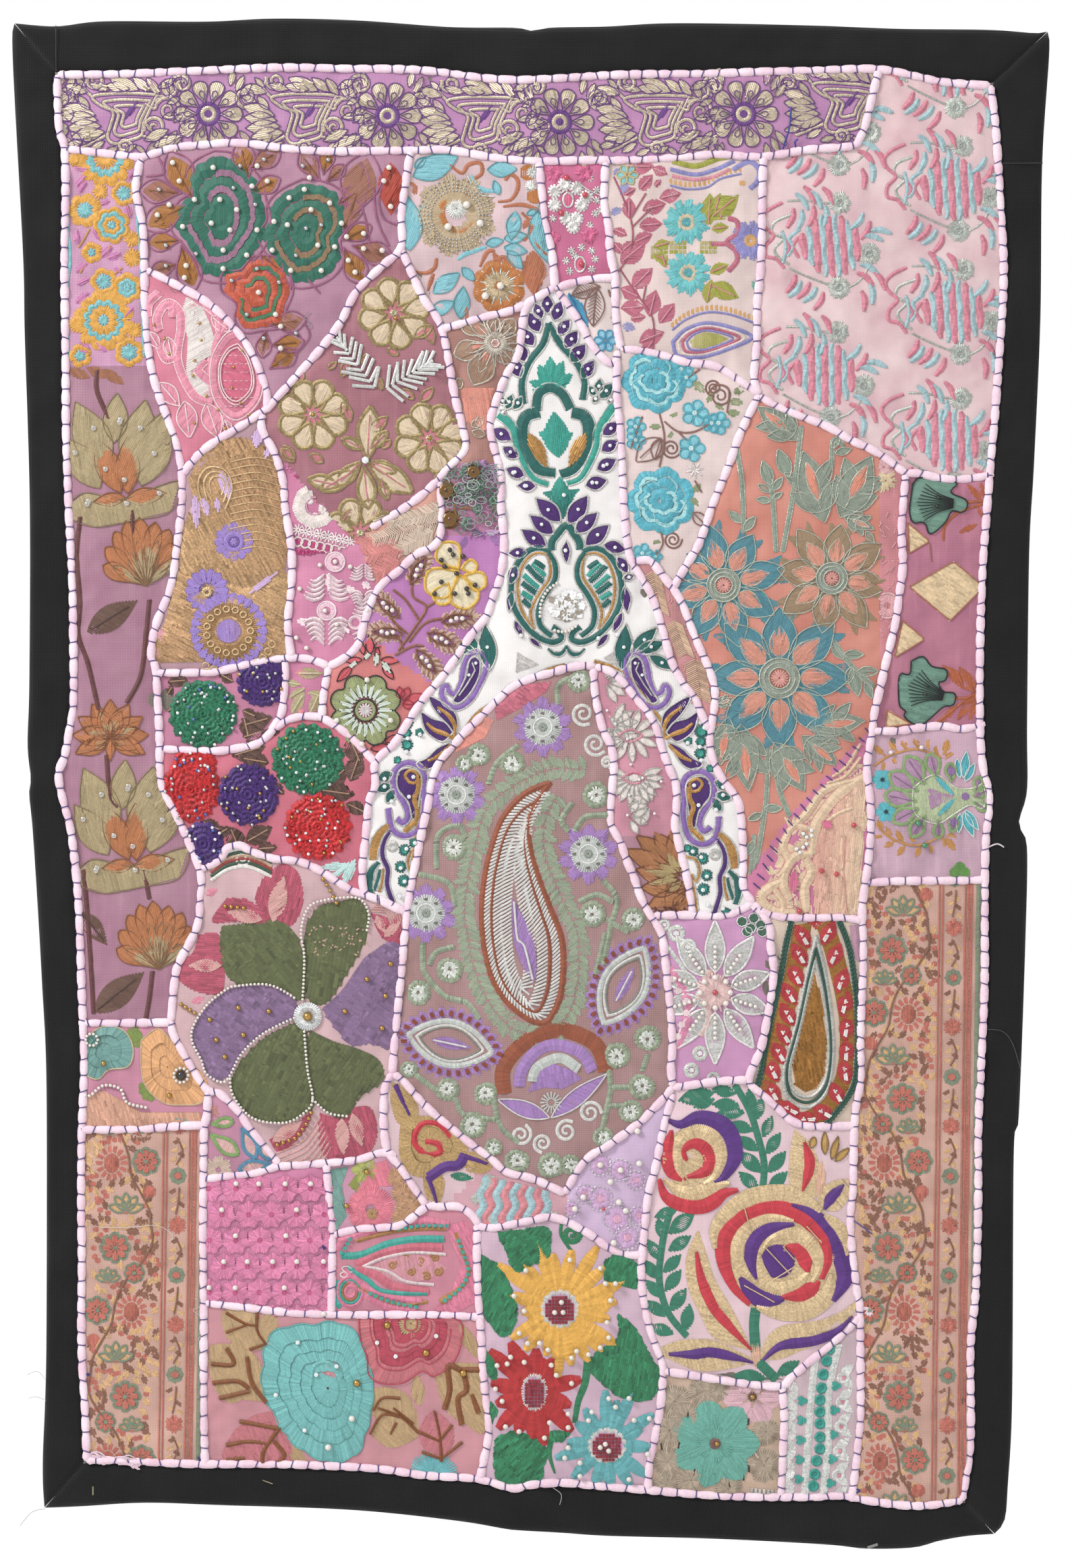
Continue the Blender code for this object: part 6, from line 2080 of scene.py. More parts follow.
def sewArch():
    work = Needlework("arch")
    teal, bright, purple, light, gold, silver = "0F625C", "22A08E", "4A1E70", "8D66B4", "BC8A46", "C6C3BE"

    def stonedLeaves(pairs, wide, colour, stones=True):
        work.leaves(pairs, min(wide * 1.6, 0.62), colour, edge=silver, edgeMetal=True, edgeWidth=1.0,
                    puff=0.6, stitch=4)
        if stones:
            work.bead([((a + c) / 2, (b + d) / 2) for a, b, c, d in pairs], "stone", 1.3, out=1.2)

    def strip(points, wide, colour, **more):
        work.band(points, wide * 1.22, colour, edge=silver, edgeMetal=True, edgeWidth=1.0, **more)

    def outlined(shape, colour, angle=60, **more):
        work.fill(shape, colour, angle=angle, stitch=4, puff=0.5, **more)
        work.line(shape, silver, metal=True, closed=True, width=1.0, step=1.4, out=0.7, smooth=True)

    # The finial over the head.
    work.move(22, 300)
    stonedLeaves([(-12.2, -128.4, -12.4, -140.6), (-15.5, -125.1, -19.6, -135.2),
                  (-8.4, -124.4, -4.1, -136.6), (-16.9, -117.6, -23.3, -129.8), (-6.1, -116.3, 1.4, -125.7),
                  (-20.3, -109.5, -27.7, -120.3), (-2, -108.2, 6.1, -119), (-25, -100, -30.4, -112.2),
                  (1.4, -100, 10.8, -110.9), (-27.7, -90.6, -33.1, -102.8), (8.1, -90.6, 15.5, -101.4)],
                 0.42, purple)
    for run in ([(-11.5, -122.4), (-14.9, -110.9), (-23, -100), (-27.3, -87.9), (-26.4, -75.7)],
                [(-11.5, -122.4), (-4.7, -110.9), (4.7, -100), (9.7, -89.2), (8.7, -78.4)]):
        strip(run, 3.6, teal, puff=0.6)
    work.leaves([(-10.5, -86.5, -10.5, -103.4), (-11.5, -86.5, -17.6, -98.7), (-9.5, -86.5, -2.7, -100.7),
                 (-13.5, -85.2, -23, -88.6), (-8.1, -85.2, 2.7, -93.3), (-14.9, -81.1, -21.6, -83.8)], 0.52,
                bright, slant=10, puff=0.7, stitch=4)
    strip([(-18.9, -71.7), (-17.3, -81.1), (-10.5, -84.9), (-3.4, -81.1), (1.1, -73)], 5, teal)
    work.leaves([(-5.7, -43.3, -8.4, -71), (-6.1, -54.1, -17.8, -58.4), (-5.7, -54.1, 3.2, -58.1),
                 (-6.1, -59.5, -14.9, -54.1), (-5.7, -59.5, 1.4, -54.1)], 0.56, bright, slant=10, puff=0.6,
                stitch=4)
    for run in ([(-17.6, -70.3), (-25, -67.6), (-27.7, -58.1), (-24.3, -46), (-17.6, -36.5), (-8.1, -34.5)],
                [(2.7, -70.3), (10.1, -67.6), (12.4, -58.1), (8.1, -44.6), (2.7, -36.5), (-4.1, -33.8)]):
        strip(run, 6.5, teal, taper=(0.9, 1, 1, 0.9, 0.7), puff=0.7)
    work.leaves([(-23.7, -58.1, -12.2, -37.2), (10.5, -58.1, 0.3, -37.9)], 0.34, gold, metal=True, lift=0.8)
    for run in ([(-40.6, -69), (-32.4, -60.8), (-29.7, -48.7), (-21.6, -32.4), (-12.2, -27.7)],
                [(27, -74.4), (17.6, -59.5), (16.2, -48.7), (8.1, -32.4), (0, -28.4)]):
        strip(run, 4, bright, taper=(1.2, 1, 0.8, 0.7), puff=0.5)
    stonedLeaves([(-33.8, -54.1, -45.3, -60.8), (-29.1, -43.3, -39.2, -50), (-25.7, -32.4, -37.2, -37.2),
                  (-18.9, -26.4, -30.4, -27), (20.3, -56.8, 30.4, -64.9), (19.6, -47.3, 30, -54.1),
                  (16.9, -36.5, 29.1, -42.6), (10.1, -27, 23.7, -30.4)],
                 0.42, purple)
    stonedLeaves([(-35.4, -75, -41.9, -79.1), (-36.5, -71.7, -33.1, -81.1), (-32.4, -71.7, -27, -79.8),
                  (-36.5, -69, -40.6, -71.7), (16.9, -79.8, 12.2, -86.5), (17.6, -81.1, 18.9, -90.6),
                  (18.9, -78.4, 26.4, -87.9), (14.9, -75.7, 17.6, -81.1), (23.7, -75.7, 27, -79.8)], 0.46,
                 teal)
    # The head: a tulip and leaves over two facing paisleys round a mirror.
    head, ringed = (21, 333), []
    work.move(*head)
    work.fill([(-1.8, -40.2), (-5.7, -46.8), (-9.9, -52.2), (-14.7, -55.8), (-9, -57), (-6.9, -61.8),
               (-3.9, -65.4), (-0.9, -61.8), (1.5, -57.6), (8.7, -58.2), (5.1, -54.6), (2.4, -48)], bright,
              angle=80, to=teal, fade="along", stitch=4, puff=0.7)
    stonedLeaves([(-3.3, -38.4, -18.3, -52.8), (-7.5, -31.2, -21.9, -42.6), (0.9, -37.2, 12.9, -54.6),
                  (5.1, -31.8, 18.9, -44.4), (-11.7, -23.4, -27, -34.2), (11.1, -24.6, 25.8, -37.2)], 0.31,
                 purple)
    stonedLeaves([(-23.1, -20.4, -34.8, -19.8), (21.9, -25.2, 35.7, -21.6), (-29.7, -12.6, -33.6, -1.2),
                  (30.3, -18, 36.6, -7.8), (33.3, -4.8, 40.8, -6.9)], 0.36, purple)
    work.leaves([(-32.1, 2.4, -34.2, 15), (34.5, -0.6, 36, 15.6), (-30.6, 19.8, -25.8, 30),
                 (33, 15, 27.6, 27), (24.9, 27.6, 18, 36), (-21.9, 30, -15, 36)], 0.36, purple, edge=silver,
                edgeMetal=True, puff=0.6)
    strip([(-9, -22.2), (-8.4, -27), (-4.8, -31.8), (-1.2, -36), (1.8, -35.4), (4.2, -31.8), (7.5, -27),
           (8.1, -22.8)], 4, teal,
          puff=0.7)
    outlined([(0, -27.6), (2.3, -21.6), (0.3, -13.8), (-2.9, -21.6)], purple)
    for flip in (False, True):
        work.move(*head, flip=flip)
        strip([(10.5, -21), (16.5, -23.1), (23.1, -20.7), (28.2, -15), (31.5, -7.2), (32.7, 1.2),
               (31.5, 10.2), (27.9, 18), (22.2, 25.2), (15.6, 30.3), (8.4, 32.7), (3, 30.6), (4.5, 26.4),
               (7.8, 24)], 3.2, teal, puff=0.6)
        strip([(10.5, -19.8), (7.2, -14.4), (6.3, -8.4), (7.5, -3), (11.1, 2.4), (14.7, 8.4), (16.7, 15),
               (15.7, 22.2), (12.9, 25.8), (9, 28.8)], 3, teal, puff=0.6)
        strip([(0, 35.4), (3, 39.3), (7.2, 39.6), (10.5, 36.9)], 2.6, teal, taper=(0.7, 1, 0.4))
        for run in ([(10.1, -16.2), (12.3, -19.5), (18.3, -19.8), (23.7, -15.9), (27.3, -9), (28.8, 0),
                     (27.7, 9.6), (24.6, 17.4), (19.5, 24.6)],
                    [(10.1, -16.2), (9.3, -10.2), (10.5, -4.2), (14.7, 1.8), (18.9, 9), (21.1, 15.6),
                     (19.5, 24.6)]):
            work.band(run, 2.1, gold, metal=True, edge=silver, edgeMetal=True, edgeWidth=0.7)
        for points, colour in (
            ([(13.5, -11.4), (16.2, -13.5), (18.6, -14.7)], teal),
            ([(13.2, -6.6), (15.9, -9.6), (19.8, -13.5)], bright),
            ([(14.1, -3.3), (18.6, -6.9), (23.1, -12)], teal),
            ([(17.1, 0.3), (20.7, -2.7), (24.9, -6.6)], bright),
            ([(18.6, 3.3), (22.2, 0.9), (25.8, -2.1)], teal),
            ([(20.7, 6.9), (23.1, 5.4), (25.9, 3.6)], bright),
            ([(21.6, 11.4), (24, 9.6), (25.5, 8.1)], teal)):
            work.band(points, 3.3, colour, puff=0.6)
            ringed.append((flip, np.array(points) + (0, 2.0)))
    for flip, points in ringed:
        work.move(*head, flip=flip)
        work.beadLine(points, "silverBead", 0.5, spacing=1.3)
    work.move(*head)
    # The mirror is laid as small chips. Some are metal; the rest carry a painted reflection in white, pale
    # grey and grey.
    for x, drop in rng.normal((0, 11), (5.0, 5.2), (110, 2)):
        if math.hypot(x, drop - 11) < 9.6:
            work.fill(np.array([(-2, -1.4), (2, -1), (1.6, 1.4), (-1.5, 1.2)]) + (x, drop),
                      rng.choice(["FFFFFF", "FFFFFF", "DAD6D0", "A89C8C"]), angle=rng.uniform(0, 180),
                      width=1.4, metal=rng.uniform() < 0.4, lift=rng.uniform(0.2, 1.0))
    work.beadLine([(-5.7, -2.1), (-10.5, 1.2), (-13.5, 5.4), (-15.3, 10.8), (-15.6, 17.4)], "whiteBead", 1.1,
                  spacing=2.3)
    work.beadLine([(-6.9, 25.8), (-3.3, 26.7), (0.9, 26.4), (5.4, 23.4)], "whiteBead", 1.1, spacing=2.3)
    work.bead([(-1.5, -54.3), (-24.6, -59.7), (-31.5, -67.5), (15.3, -61.8), (21.9, -71.7), (18.9, 30.3),
               (30, 28.2), (-27, 28.8), (-0.6, -21.6)], "stone", 1.5, out=1.2)
    # The two legs mirror each other, a little apart.
    for flip, (x, drop), (outX, outDrop) in ((False, (79, 423), (0, 0)), (True, (-45, 423), (7, -5))):
        work.move(x - 0.7 * outX, drop, flip=flip)
        stonedLeaves([(-25.4, -40.2, -22.7, -68.5), (-20, -51, -3.8, -66.5), (-17.3, -51.4, 1.6, -57.7),
                      (-9.2, -49.6, 6.4, -40.8)], 0.24, teal)
        outlined([(-20, -46.2), (-16.6, -48.9), (-13.2, -45.6), (-11.6, -37.5), (-7.8, -29.3), (-3.8, -22.6),
                  (-7.8, -21.2), (-14.6, -28), (-19.3, -37.5)], purple)
        strip([(-1.8, -27.3), (0.3, -32), (3, -28), (0.3, -21.2), (-6.5, -18.5), (-14.6, -23.9),
               (-20, -33.4), (-23.4, -41.5), (-22.7, -48.3), (-18, -51.6), (-12.6, -48.9), (-9.9, -41.5),
               (-8.5, -33.4), (-5.1, -26.6), (-1.1, -28.7)], 3, light, puff=0.6)
        work.line([(-15.1, -45.3), (-16.9, -40.6), (-12.2, -32.4), (-7.4, -25.7)], silver, metal=True,
                  width=0.9, out=1.0)
        work.bead([(-17.3, -44.9), (-13.2, -37.9)], "stone", 1.2, out=1.2)
        work.move(x, drop, flip=flip)
        for shape, vein, wide in (
            ([(-1.9, -7.6), (-0.4, -15.2), (6.5, -21.3), (15.2, -25.5), (14.1, -20.5), (9.5, -13.7),
              (4.2, -8.4), (0.4, -3.8)],
             [(0.4, -1.5), (0, -7.6), (3.4, -13.7), (9.9, -18.6)], 2.8),
            ([(1.1, -3.8), (5.7, -9.9), (13.3, -12.2), (19.9, -16.3), (19.4, -10.6), (17.1, -4.6), (11.8, 0),
              (6.5, 1.5)],
             [(0.8, -0.4), (5.7, -3), (11.8, -5.3), (16.3, -9)], 3),
            ([(1.9, 1.5), (10.3, 5.3), (16.3, 11), (22.8, 14.4), (19, 18.1), (12.9, 16.9), (8.4, 12.5)],
             [(3, 3.8), (8.7, 9.5), (15.6, 12.8)], 3)):
            outlined(shape, purple)
            work.band(vein, wide, gold, metal=True, taper=(0.6, 1, 0.5), lift=0.6)
        work.move(x - outX, drop + outDrop, flip=flip)
        for spot, radius in (((22, -4.6), 4.6), ((21.7, 1.5), 3.4), ((21.3, 8.4), 3.8), ((14.1, 1.1), 2.8),
                             ((27, 17.5), 2.6), ((13.7, 64.6), 2.6), ((17.1, 66.5), 3.4),
                             ((22.8, 70.7), 3.8), ((25.1, 80.6), 3.8), ((23.2, 88.9), 4.0),
                             ((36.5, 102.6), 3.2)):
            work.rays(*spot, 0.3, radius, bright, puff=0.6, to=teal, lobes=5, depth=0.15)
        stonedLeaves([(29.3, 25.1, 39.5, 29.3), (30, 32.7, 40.3, 35.3), (28.5, 34.6, 33.8, 43.3)], 0.4, teal,
                     stones=False)
        outlined([(13.3, 36.5), (12.5, 28.9), (14.8, 24.3), (20.5, 22), (25.8, 23.9), (27.4, 30.4),
                  (25.8, 36.5), (20.5, 42.6), (17.9, 53.2), (15.2, 47.1)], purple)
        strip([(32.3, 46.4), (31.5, 53.2), (29.3, 59.3), (23.2, 62.3), (16.3, 60), (12.5, 53.2), (11, 44.1),
               (11.8, 34.2), (11, 26.6), (14.1, 21.3), (20.9, 19), (27, 22), (29.6, 28.1), (28.5, 35),
               (24.7, 40.3), (21.7, 45.6), (20.9, 50.9), (23.6, 54.7), (27, 52.4)], 3.2, light, puff=0.6)
        work.band([(20.1, 30.4), (16.3, 30.8), (15.2, 25.8), (19.4, 23.6), (22.4, 26.6), (20.1, 30.4)], 1.8,
                  gold, metal=True, lift=0.6)
        work.band([(14.4, 28.9), (14.8, 35), (17.1, 40.3), (15.2, 47.1), (16.3, 53.2), (22.4, 59.3)], 2.9,
                  gold, metal=True, lift=0.6)
        strip([(31.9, 55.9), (37.6, 61.6), (40.7, 69.2), (41.4, 76)], 5, gold, metal=True,
              taper=(0.7, 1, 0.8))
        strip([(31.5, 59.3), (35.3, 66.1), (35.7, 74.5), (32.7, 82.1), (33.1, 91.2), (29.6, 102.6)], 2.7,
              purple)
        strip([(38.4, 78.3), (42.9, 83.6), (43.7, 91.2), (42.2, 97.3)], 4.4, teal, taper=(0.5, 1, 0.6))
        strip([(37.2, 82.8), (38.8, 88.9), (40.7, 94.2)], 2.2, teal)
        strip([(35.3, 82.1), (36.1, 89.7), (37.6, 95)], 1.7, gold, metal=True)
        strip([(13.3, 69.9), (18.6, 71.4), (20.9, 78.3), (18.6, 84.4), (16.3, 80.6)], 1.7, gold, metal=True)
        strip([(16.3, 83.6), (17.9, 91.2), (19.4, 101.1)], 1.7, gold, metal=True)
        work.rays(30, 68.4, 0.6, 3.6, silver, metal=True, count=22, puff=0.4)
        work.bead([(23.6, -6.8), (20.9, 4.6), (21.7, 12.5), (13.7, 2.3), (34.6, 28.5), (34.6, 33.1),
                   (30.4, 41.8), (17.5, 27.4), (20.1, 39.1), (16.7, 66.5), (21.7, 69.9), (25.1, 81.3),
                   (22.8, 89.3), (34.6, 100.3), (25.8, 98)], "stone", 1.5, out=1.2)
    work.move()
    for run in ([(20, 379), (5, 384), (-16, 398), (-32, 408), (-42, 422)],
                [(-62, 438), (-66, 460), (-70, 494)], [(38, 377), (57, 385), (77, 412)]):
        work.band(run, 2.2, gold, metal=True, edge=silver, edgeMetal=True)
    work.fill([(-8, 372), (5, 379), (-9, 384)], "CFC9C4", metal=True, angle=30)
    work.fill([(43, 375), (51, 370), (53, 383)], "CFC9C4", metal=True, angle=30)
    work.sew()


def sewTurquoiseFlowers():
    work = Needlework("turquoiseFlowers")
    turquoise, pale, brown, sage = "4DB1C4", "A5DDE0", "8E6458", "8E9A6E"
    for x, drop, radius in ((73, 211, 19), (77, 282, 20)):
        scallopedRose(work, ringShape(radius, 30, lobes=7, depth=0.16) + (x, drop), turquoise, pale)
        for k in range(5):
            a = 2 * math.pi * k / 5
            bow = [(x + r * math.cos(a + t), drop + r * math.sin(a + t))
                   for r, t in ((15, 0), (13, 0.5), (9, 0.8))]
            work.band(bow, 1.6, pale, puff=1.2)
    for x, drop, radius in ((62, 238, 6), (62, 246, 6), (97, 230, 8), (95, 251, 8), (107, 236, 6),
                            (66, 313, 6), (89, 204, 7), (92, 209, 6), (111, 236, 7), (74, 315, 4)):
        work.flower(x, drop, radius, "7FCBD8", petals=5, edge=turquoise, fat=0.65, tip=0.7, centre="CFE8E4")
    for run in ([(76, 230), (79, 245), (76, 262)], [(79, 235), (87, 241), (97, 241), (108, 235)],
                [(59, 251), (66, 232)], [(77, 300), (78, 308), (74, 314)],
                [(97, 270), (101, 277)], [(87, 241), (92, 246)], [(109, 213), (117, 216), (116, 230)],
                [(93, 209), (100, 204)]):
        work.line(run, brown, width=1.1, smooth=True)
    for x, drop, radius, start in ((83, 251, 6, 0), (84, 305, 5.5, 0), (108, 215, 5, 90),
                                   (112, 220, 7, 200)):
        work.spiral(x, drop, radius, brown, wide=1.0, start=start, turns=2, spacing=0.7)
    work.leaves([(77, 245, 62, 259), (96, 289, 104, 297), (77, 245, 73, 258)], 0.62, None, edge=brown,
                vein=brown)
    work.leaves([(96, 211, 103, 218), (77, 238, 70, 238), (87, 230, 82, 232), (84, 241, 81, 245),
                 (95, 277, 101, 272), (95, 280, 99, 285), (72, 307, 77, 306), (108, 218, 104, 224),
                 (120, 219, 127, 214), (117, 223, 126, 224), (116, 230, 124, 230), (109, 224, 114, 228),
                 (87, 211, 92, 207)], 0.50, sage)
    work.starAt([(97, 264)], 5, "E0D6D2", count=8)
    work.sew()


def salmonLeaf(work, pair, wide):
    x, drop, tipX, tipDrop = pair
    long, angle = reachOf(x, drop, tipX, tipDrop)
    for side in (-42, 42):
        for share in (0.15, 0.42):
            work.leaf(x + share * (tipX - x), drop + share * (tipDrop - drop), angle + side, long * 0.5,
                      long * wide * 0.5, "8A9585", edge="B9BFAF", edgeMetal=True, edgeWidth=0.6)
    work.leaf(x, drop, angle, long, long * wide, "8A9585", edge="B9BFAF", edgeMetal=True, slant=40,
              edgeWidth=0.6)
    work.leaf(x + 0.3 * (tipX - x), drop + 0.3 * (tipDrop - drop), angle, long * 0.55, long * wide * 0.36,
              "DF8A70", edge="CBCDBF", edgeMetal=True, lift=0.5, edgeWidth=0.7)


def sewSalmon():
    work = Needlework("salmon")
    blue, brown, grey, inner, silver = "4A8795", "9C8060", "98A293", "D98F78", "B9BFAF"
    for x, drop, radius, colour, turn in ((178, 328, 31, brown, 10), (114, 332, 33, blue, 30),
                                          (147, 387, 40, blue, 0)):
        for k in range(8):
            angle = turn + 45 * k
            a = math.radians(angle)
            reach = radius * (0.9 + 0.1 * (k % 2))
            root = (x + 0.16 * radius * math.cos(a), drop + 0.16 * radius * math.sin(a))
            work.leaf(*root, angle, reach, radius * 0.52, colour, edge=silver, edgeMetal=True, fat=0.5,
                      slant=18, edgeWidth=0.6, stitch=5)
            for lobe in (-1, 1):
                for share in (0.3, 0.5, 0.7):
                    work.leaf(root[0] + share * reach * math.cos(a + 0.12 * lobe),
                              root[1] + share * reach * math.sin(a + 0.12 * lobe), angle + lobe * 28,
                              reach * 0.34, radius * 0.14, colour, slant=18)
            start = (x + 0.3 * radius * math.cos(a), drop + 0.3 * radius * math.sin(a))
            work.leaf(*start, angle, reach * 0.55, radius * 0.3, inner, edge=silver, edgeMetal=True, fat=0.4,
                      lift=0.5, edgeWidth=0.7)
        work.rays(x, drop, radius * 0.16, radius * 0.3, grey, lift=0.6)
        for share in (0.3, 0.23, 0.16):
            work.line(ringShape(radius * share) + (x, drop), silver, width=0.8, closed=True, metal=True,
                      out=1.2)
        work.rays(x, drop, 0.5, radius * 0.13, "D9958A", lift=0.6)
    for pair, wide in (((174, 295, 161, 252), 0.42), ((183, 292, 202, 255), 0.5),
                       ((159, 246, 134, 226), 0.45), ((124, 414, 129, 454), 0.42),
                       ((144, 425, 162, 454), 0.5), ((163, 416, 198, 412), 0.4), ((160, 421, 182, 439), 0.4),
                       ((117, 410, 112, 439), 0.4), ((185, 291, 203, 299), 0.4),
                       ((109, 403, 120, 399), 0.4)):
        salmonLeaf(work, pair, wide)
    for run in ([(149, 312), (156, 273), (160, 238)], [(145, 312), (143, 280), (141, 269)],
                [(126, 301), (125, 273), (122, 251)], [(140, 429), (139, 460), (132, 504)],
                [(143, 429), (147, 453), (154, 471)], [(179, 365), (190, 380), (203, 392)],
                [(178, 262), (179, 246), (185, 249)], [(130, 506), (132, 480)]):
        work.band(run, 2.6, "8E9C8A", edge=silver, edgeMetal=True)
    work.leaves([
        (142, 273, 137, 258), (142, 277, 134, 272), (142, 282, 133, 281), (143, 276, 149, 268),
        (143, 281, 149, 277), (153, 268, 146, 251), (125, 295, 117, 288), (126, 300, 133, 291),
        (180, 254, 190, 251), (178, 251, 183, 243), (185, 373, 197, 373), (193, 383, 206, 383),
        (190, 381, 194, 398), (198, 389, 202, 399), (137, 467, 128, 471), (138, 464, 149, 464),
        (134, 496, 141, 495), (190, 380, 187, 391), (178, 368, 185, 376),
        (132, 483, 128, 492), (198, 300, 203, 307),
    ], 0.46, "8E9C8A", edge=silver, edgeMetal=True, edgeWidth=0.7)
    work.sew()


def sewStrips():
    work = Needlework("pinkStrip")
    work.rays(210, 270, 1, 8, "DCC39A", uneven=0.6)
    work.rays(209, 262, 1, 7, "D9A5A8", uneven=0.6)
    work.rays(211, 344, 2, 7.5, "E8A9AE", uneven=0.1)
    work.line(ringShape(7.5) + (211, 344), "EEC0C0", width=0.8, closed=True)
    for _ in range(40):
        spot = np.array((205, 284)) + rng.uniform((0, 0), (12, 85))
        work.line([spot, spot + (rng.uniform(-3, 3), rng.uniform(1, 4))], "E8A5A8", width=0.6, out=0.2)
    strip = Needlework("fleshStrip")
    for root, tip, reach in (((97, 376), (101, 399), 6), ((85, 353), (92, 372), 5),
                             ((72, 324), (77, 347), 5)):
        root, tip = np.array(root, float), np.array(tip, float)
        for share in np.linspace(0, 1, 22):
            spot = root + (tip - root) * share
            for side in (-1, 1):
                strip.line([spot, spot + (side * reach, 3)], "DDB898", width=0.7, step=20, out=0.4,
                           vary=0.12)
    for _ in range(60):
        spot = np.array((87, 345)) + rng.uniform((-22, -50), (22, 60))
        strip.line([spot, spot + (rng.uniform(-3, 3), rng.uniform(-3, 3))], "E7A6A2", width=0.6, out=0.2)
    work.sew()
    strip.sew()


def sewTulips():
    work = Needlework("tulips")
    green, black, rust, beige = "6A9482", "1D1D21", "B3582B", "E0C296"
    heads = (
        ([(226, 273), (231, 268), (252, 271), (248, 277), (258, 282), (256, 289), (249, 288),
          (245, 295), (236, 302), (233, 295), (226, 295), (224, 287)], (255, 284)),
        ([(225, 377), (232, 374), (237, 380), (246, 382), (245, 389), (241, 389), (244, 395),
          (251, 396), (250, 403), (244, 404), (235, 412), (229, 415), (221, 410), (222, 406),
          (218, 403), (218, 385), (224, 385)], (249, 399)),
    )
    for points, calyx in heads:
        points = smoothLine([*points, points[0]], 1.5)[:-1]
        work.fill(points, green, angle=10, puff=0.6, stitch=5)
        work.line(points, black, width=0.9, closed=True, out=0.9)
        middle, calyx = points.mean(0), np.array(calyx)
        for k in range(-5, 6):
            way = (middle - calyx) / math.hypot(*(middle - calyx))
            cross = np.array([-way[1], way[0]])
            run = [calyx + way * 5 + cross * k * 0.5, calyx + way * 14 + cross * k * 1.1,
                   calyx + way * (27 - abs(k)) + cross * k * 2.2]
            work.line(run, black, width=0.55, smooth=True, out=1.3)
        work.bead([middle + (1, -3), middle + (0, 2)], "blackBead", 1.1, out=1.6)
    for run in ([(258, 283), (270, 282)], [(244, 305), (245, 297), (253, 289), (267, 284)],
                [(251, 399), (260, 398), (266, 392)], [(241, 413), (252, 404), (266, 393)]):
        work.band(run, 1.6, rust)
    work.leaves([
        (267, 282, 258, 272), (269, 281, 266, 271), (270, 287, 270, 295), (264, 296, 253, 301),
        (264, 285, 267, 292), (263, 395, 243, 379), (264, 393, 253, 380), (266, 392, 264, 384),
        (264, 396, 252, 412), (266, 398, 259, 412), (266, 399, 266, 410), (252, 403, 243, 413),
    ], 0.28, rust, slant=30, puff=0.7)
    for shape in ([(224, 333), (250, 318), (268, 333), (248, 353)],
                  [(223, 295), (236, 306), (224, 313)], [(220, 353), (233, 364), (215, 375)],
                  [(211, 406), (225, 414), (210, 416)]):
        work.fill(shape, beige, angle=32, width=1.0, stitch=2.4, puff=0.3, vary=0.12)
        work.line(shape, "B06A4A", width=0.8, closed=True)
    work.line([(236, 307), (237, 318)], "A06050", width=0.5)
    work.sew()


def sewSageFan():
    work = Needlework("sageFan")
    sage, green, mauve, turquoise, amber = "B4C096", "88A56A", "B48AAA", "4DB6C2", "C98C42"
    for tip, root in (((209, 456), (228, 460)), ((212, 443), (229, 454)), ((222, 433), (233, 450)),
                      ((236, 431), (240, 446)), ((214, 472), (229, 464)), ((225, 481), (233, 468)),
                      ((241, 482), (241, 471)), ((248, 437), (249, 448)), ((249, 478), (251, 468)),
                      ((266, 445), (263, 454)), ((271, 453), (262, 457)), ((270, 465), (262, 460))):
        work.leaves([(*root, *tip)], 0.56, mauve, edge=green, edgeWidth=2.0, vein="8E6A90", fat=0.6,
                    puff=0.5)
    core = [(226, 452), (239, 444), (252, 452), (262, 452), (268, 450), (268, 464), (260, 462),
            (251, 467), (240, 473), (227, 467)]
    work.fill(core, sage, angle=80, stitch=4, puff=0.8)
    work.line(core, "D8DEC8", width=0.8, closed=True, smooth=True, metal=True)
    work.fill([(235, 452), (251, 457), (236, 465)], mauve, angle=70, lift=0.9)
    work.leaves([(239, 445, 251, 457), (251, 458, 240, 469)], 3.0, turquoise, lift=1.0, slant=60)
    work.leaves([(254, 446, 252, 434), (256, 446, 258, 430), (257, 448, 263, 437),
                 (254, 467, 253, 479), (256, 466, 262, 481), (257, 465, 265, 477)], 0.34, turquoise,
                edge="DCE8E4", edgeWidth=0.6)
    for stem, leavesHere in (
        ([(203, 439), (212, 433), (228, 429), (243, 434)],
         [(209, 435, 208, 442), (210, 433, 203, 427), (217, 431, 212, 424), (224, 430, 219, 424),
          (231, 429, 226, 423), (235, 430, 235, 423), (241, 434, 239, 427), (244, 434, 247, 423),
          (244, 435, 250, 431), (214, 433, 216, 438)]),
        ([(204, 473), (212, 481), (228, 486), (244, 480)],
         [(209, 479, 205, 471), (209, 480, 203, 481), (214, 483, 210, 475), (216, 483, 209, 487),
          (221, 485, 216, 477), (222, 485, 217, 492), (231, 485, 228, 493), (236, 484, 237, 491),
          (228, 485, 224, 480), (244, 480, 245, 487), (245, 479, 252, 481), (245, 480, 251, 489)]),
    ):
        work.line(stem, amber, width=1.2, smooth=True)
        work.leaves(leavesHere, 0.36, amber, puff=0.9, fat=0.6)
    for x, drop in ((208, 447), (210, 466)):
        work.flower(x, drop, 6.2, turquoise, petals=6, fat=0.66, tip=0.6, wide=1.2, centre="1F4A4E")
    for x, drop in ((249, 442), (250, 472), (257, 457)):
        work.disc(x, drop, 2.2, "8E6AA0", lift=0.9)
    for x, drop in ((251, 502), (254, 499), (257, 502)):
        work.disc(x, drop, 3.2, "5F9440")
    work.bead([(229, 473), (233, 486)], "greenBead", 1.8, out=1.6)
    work.bead([(231, 428), (213, 431)], "pearl", 1.4, out=1.6)
    work.sew()


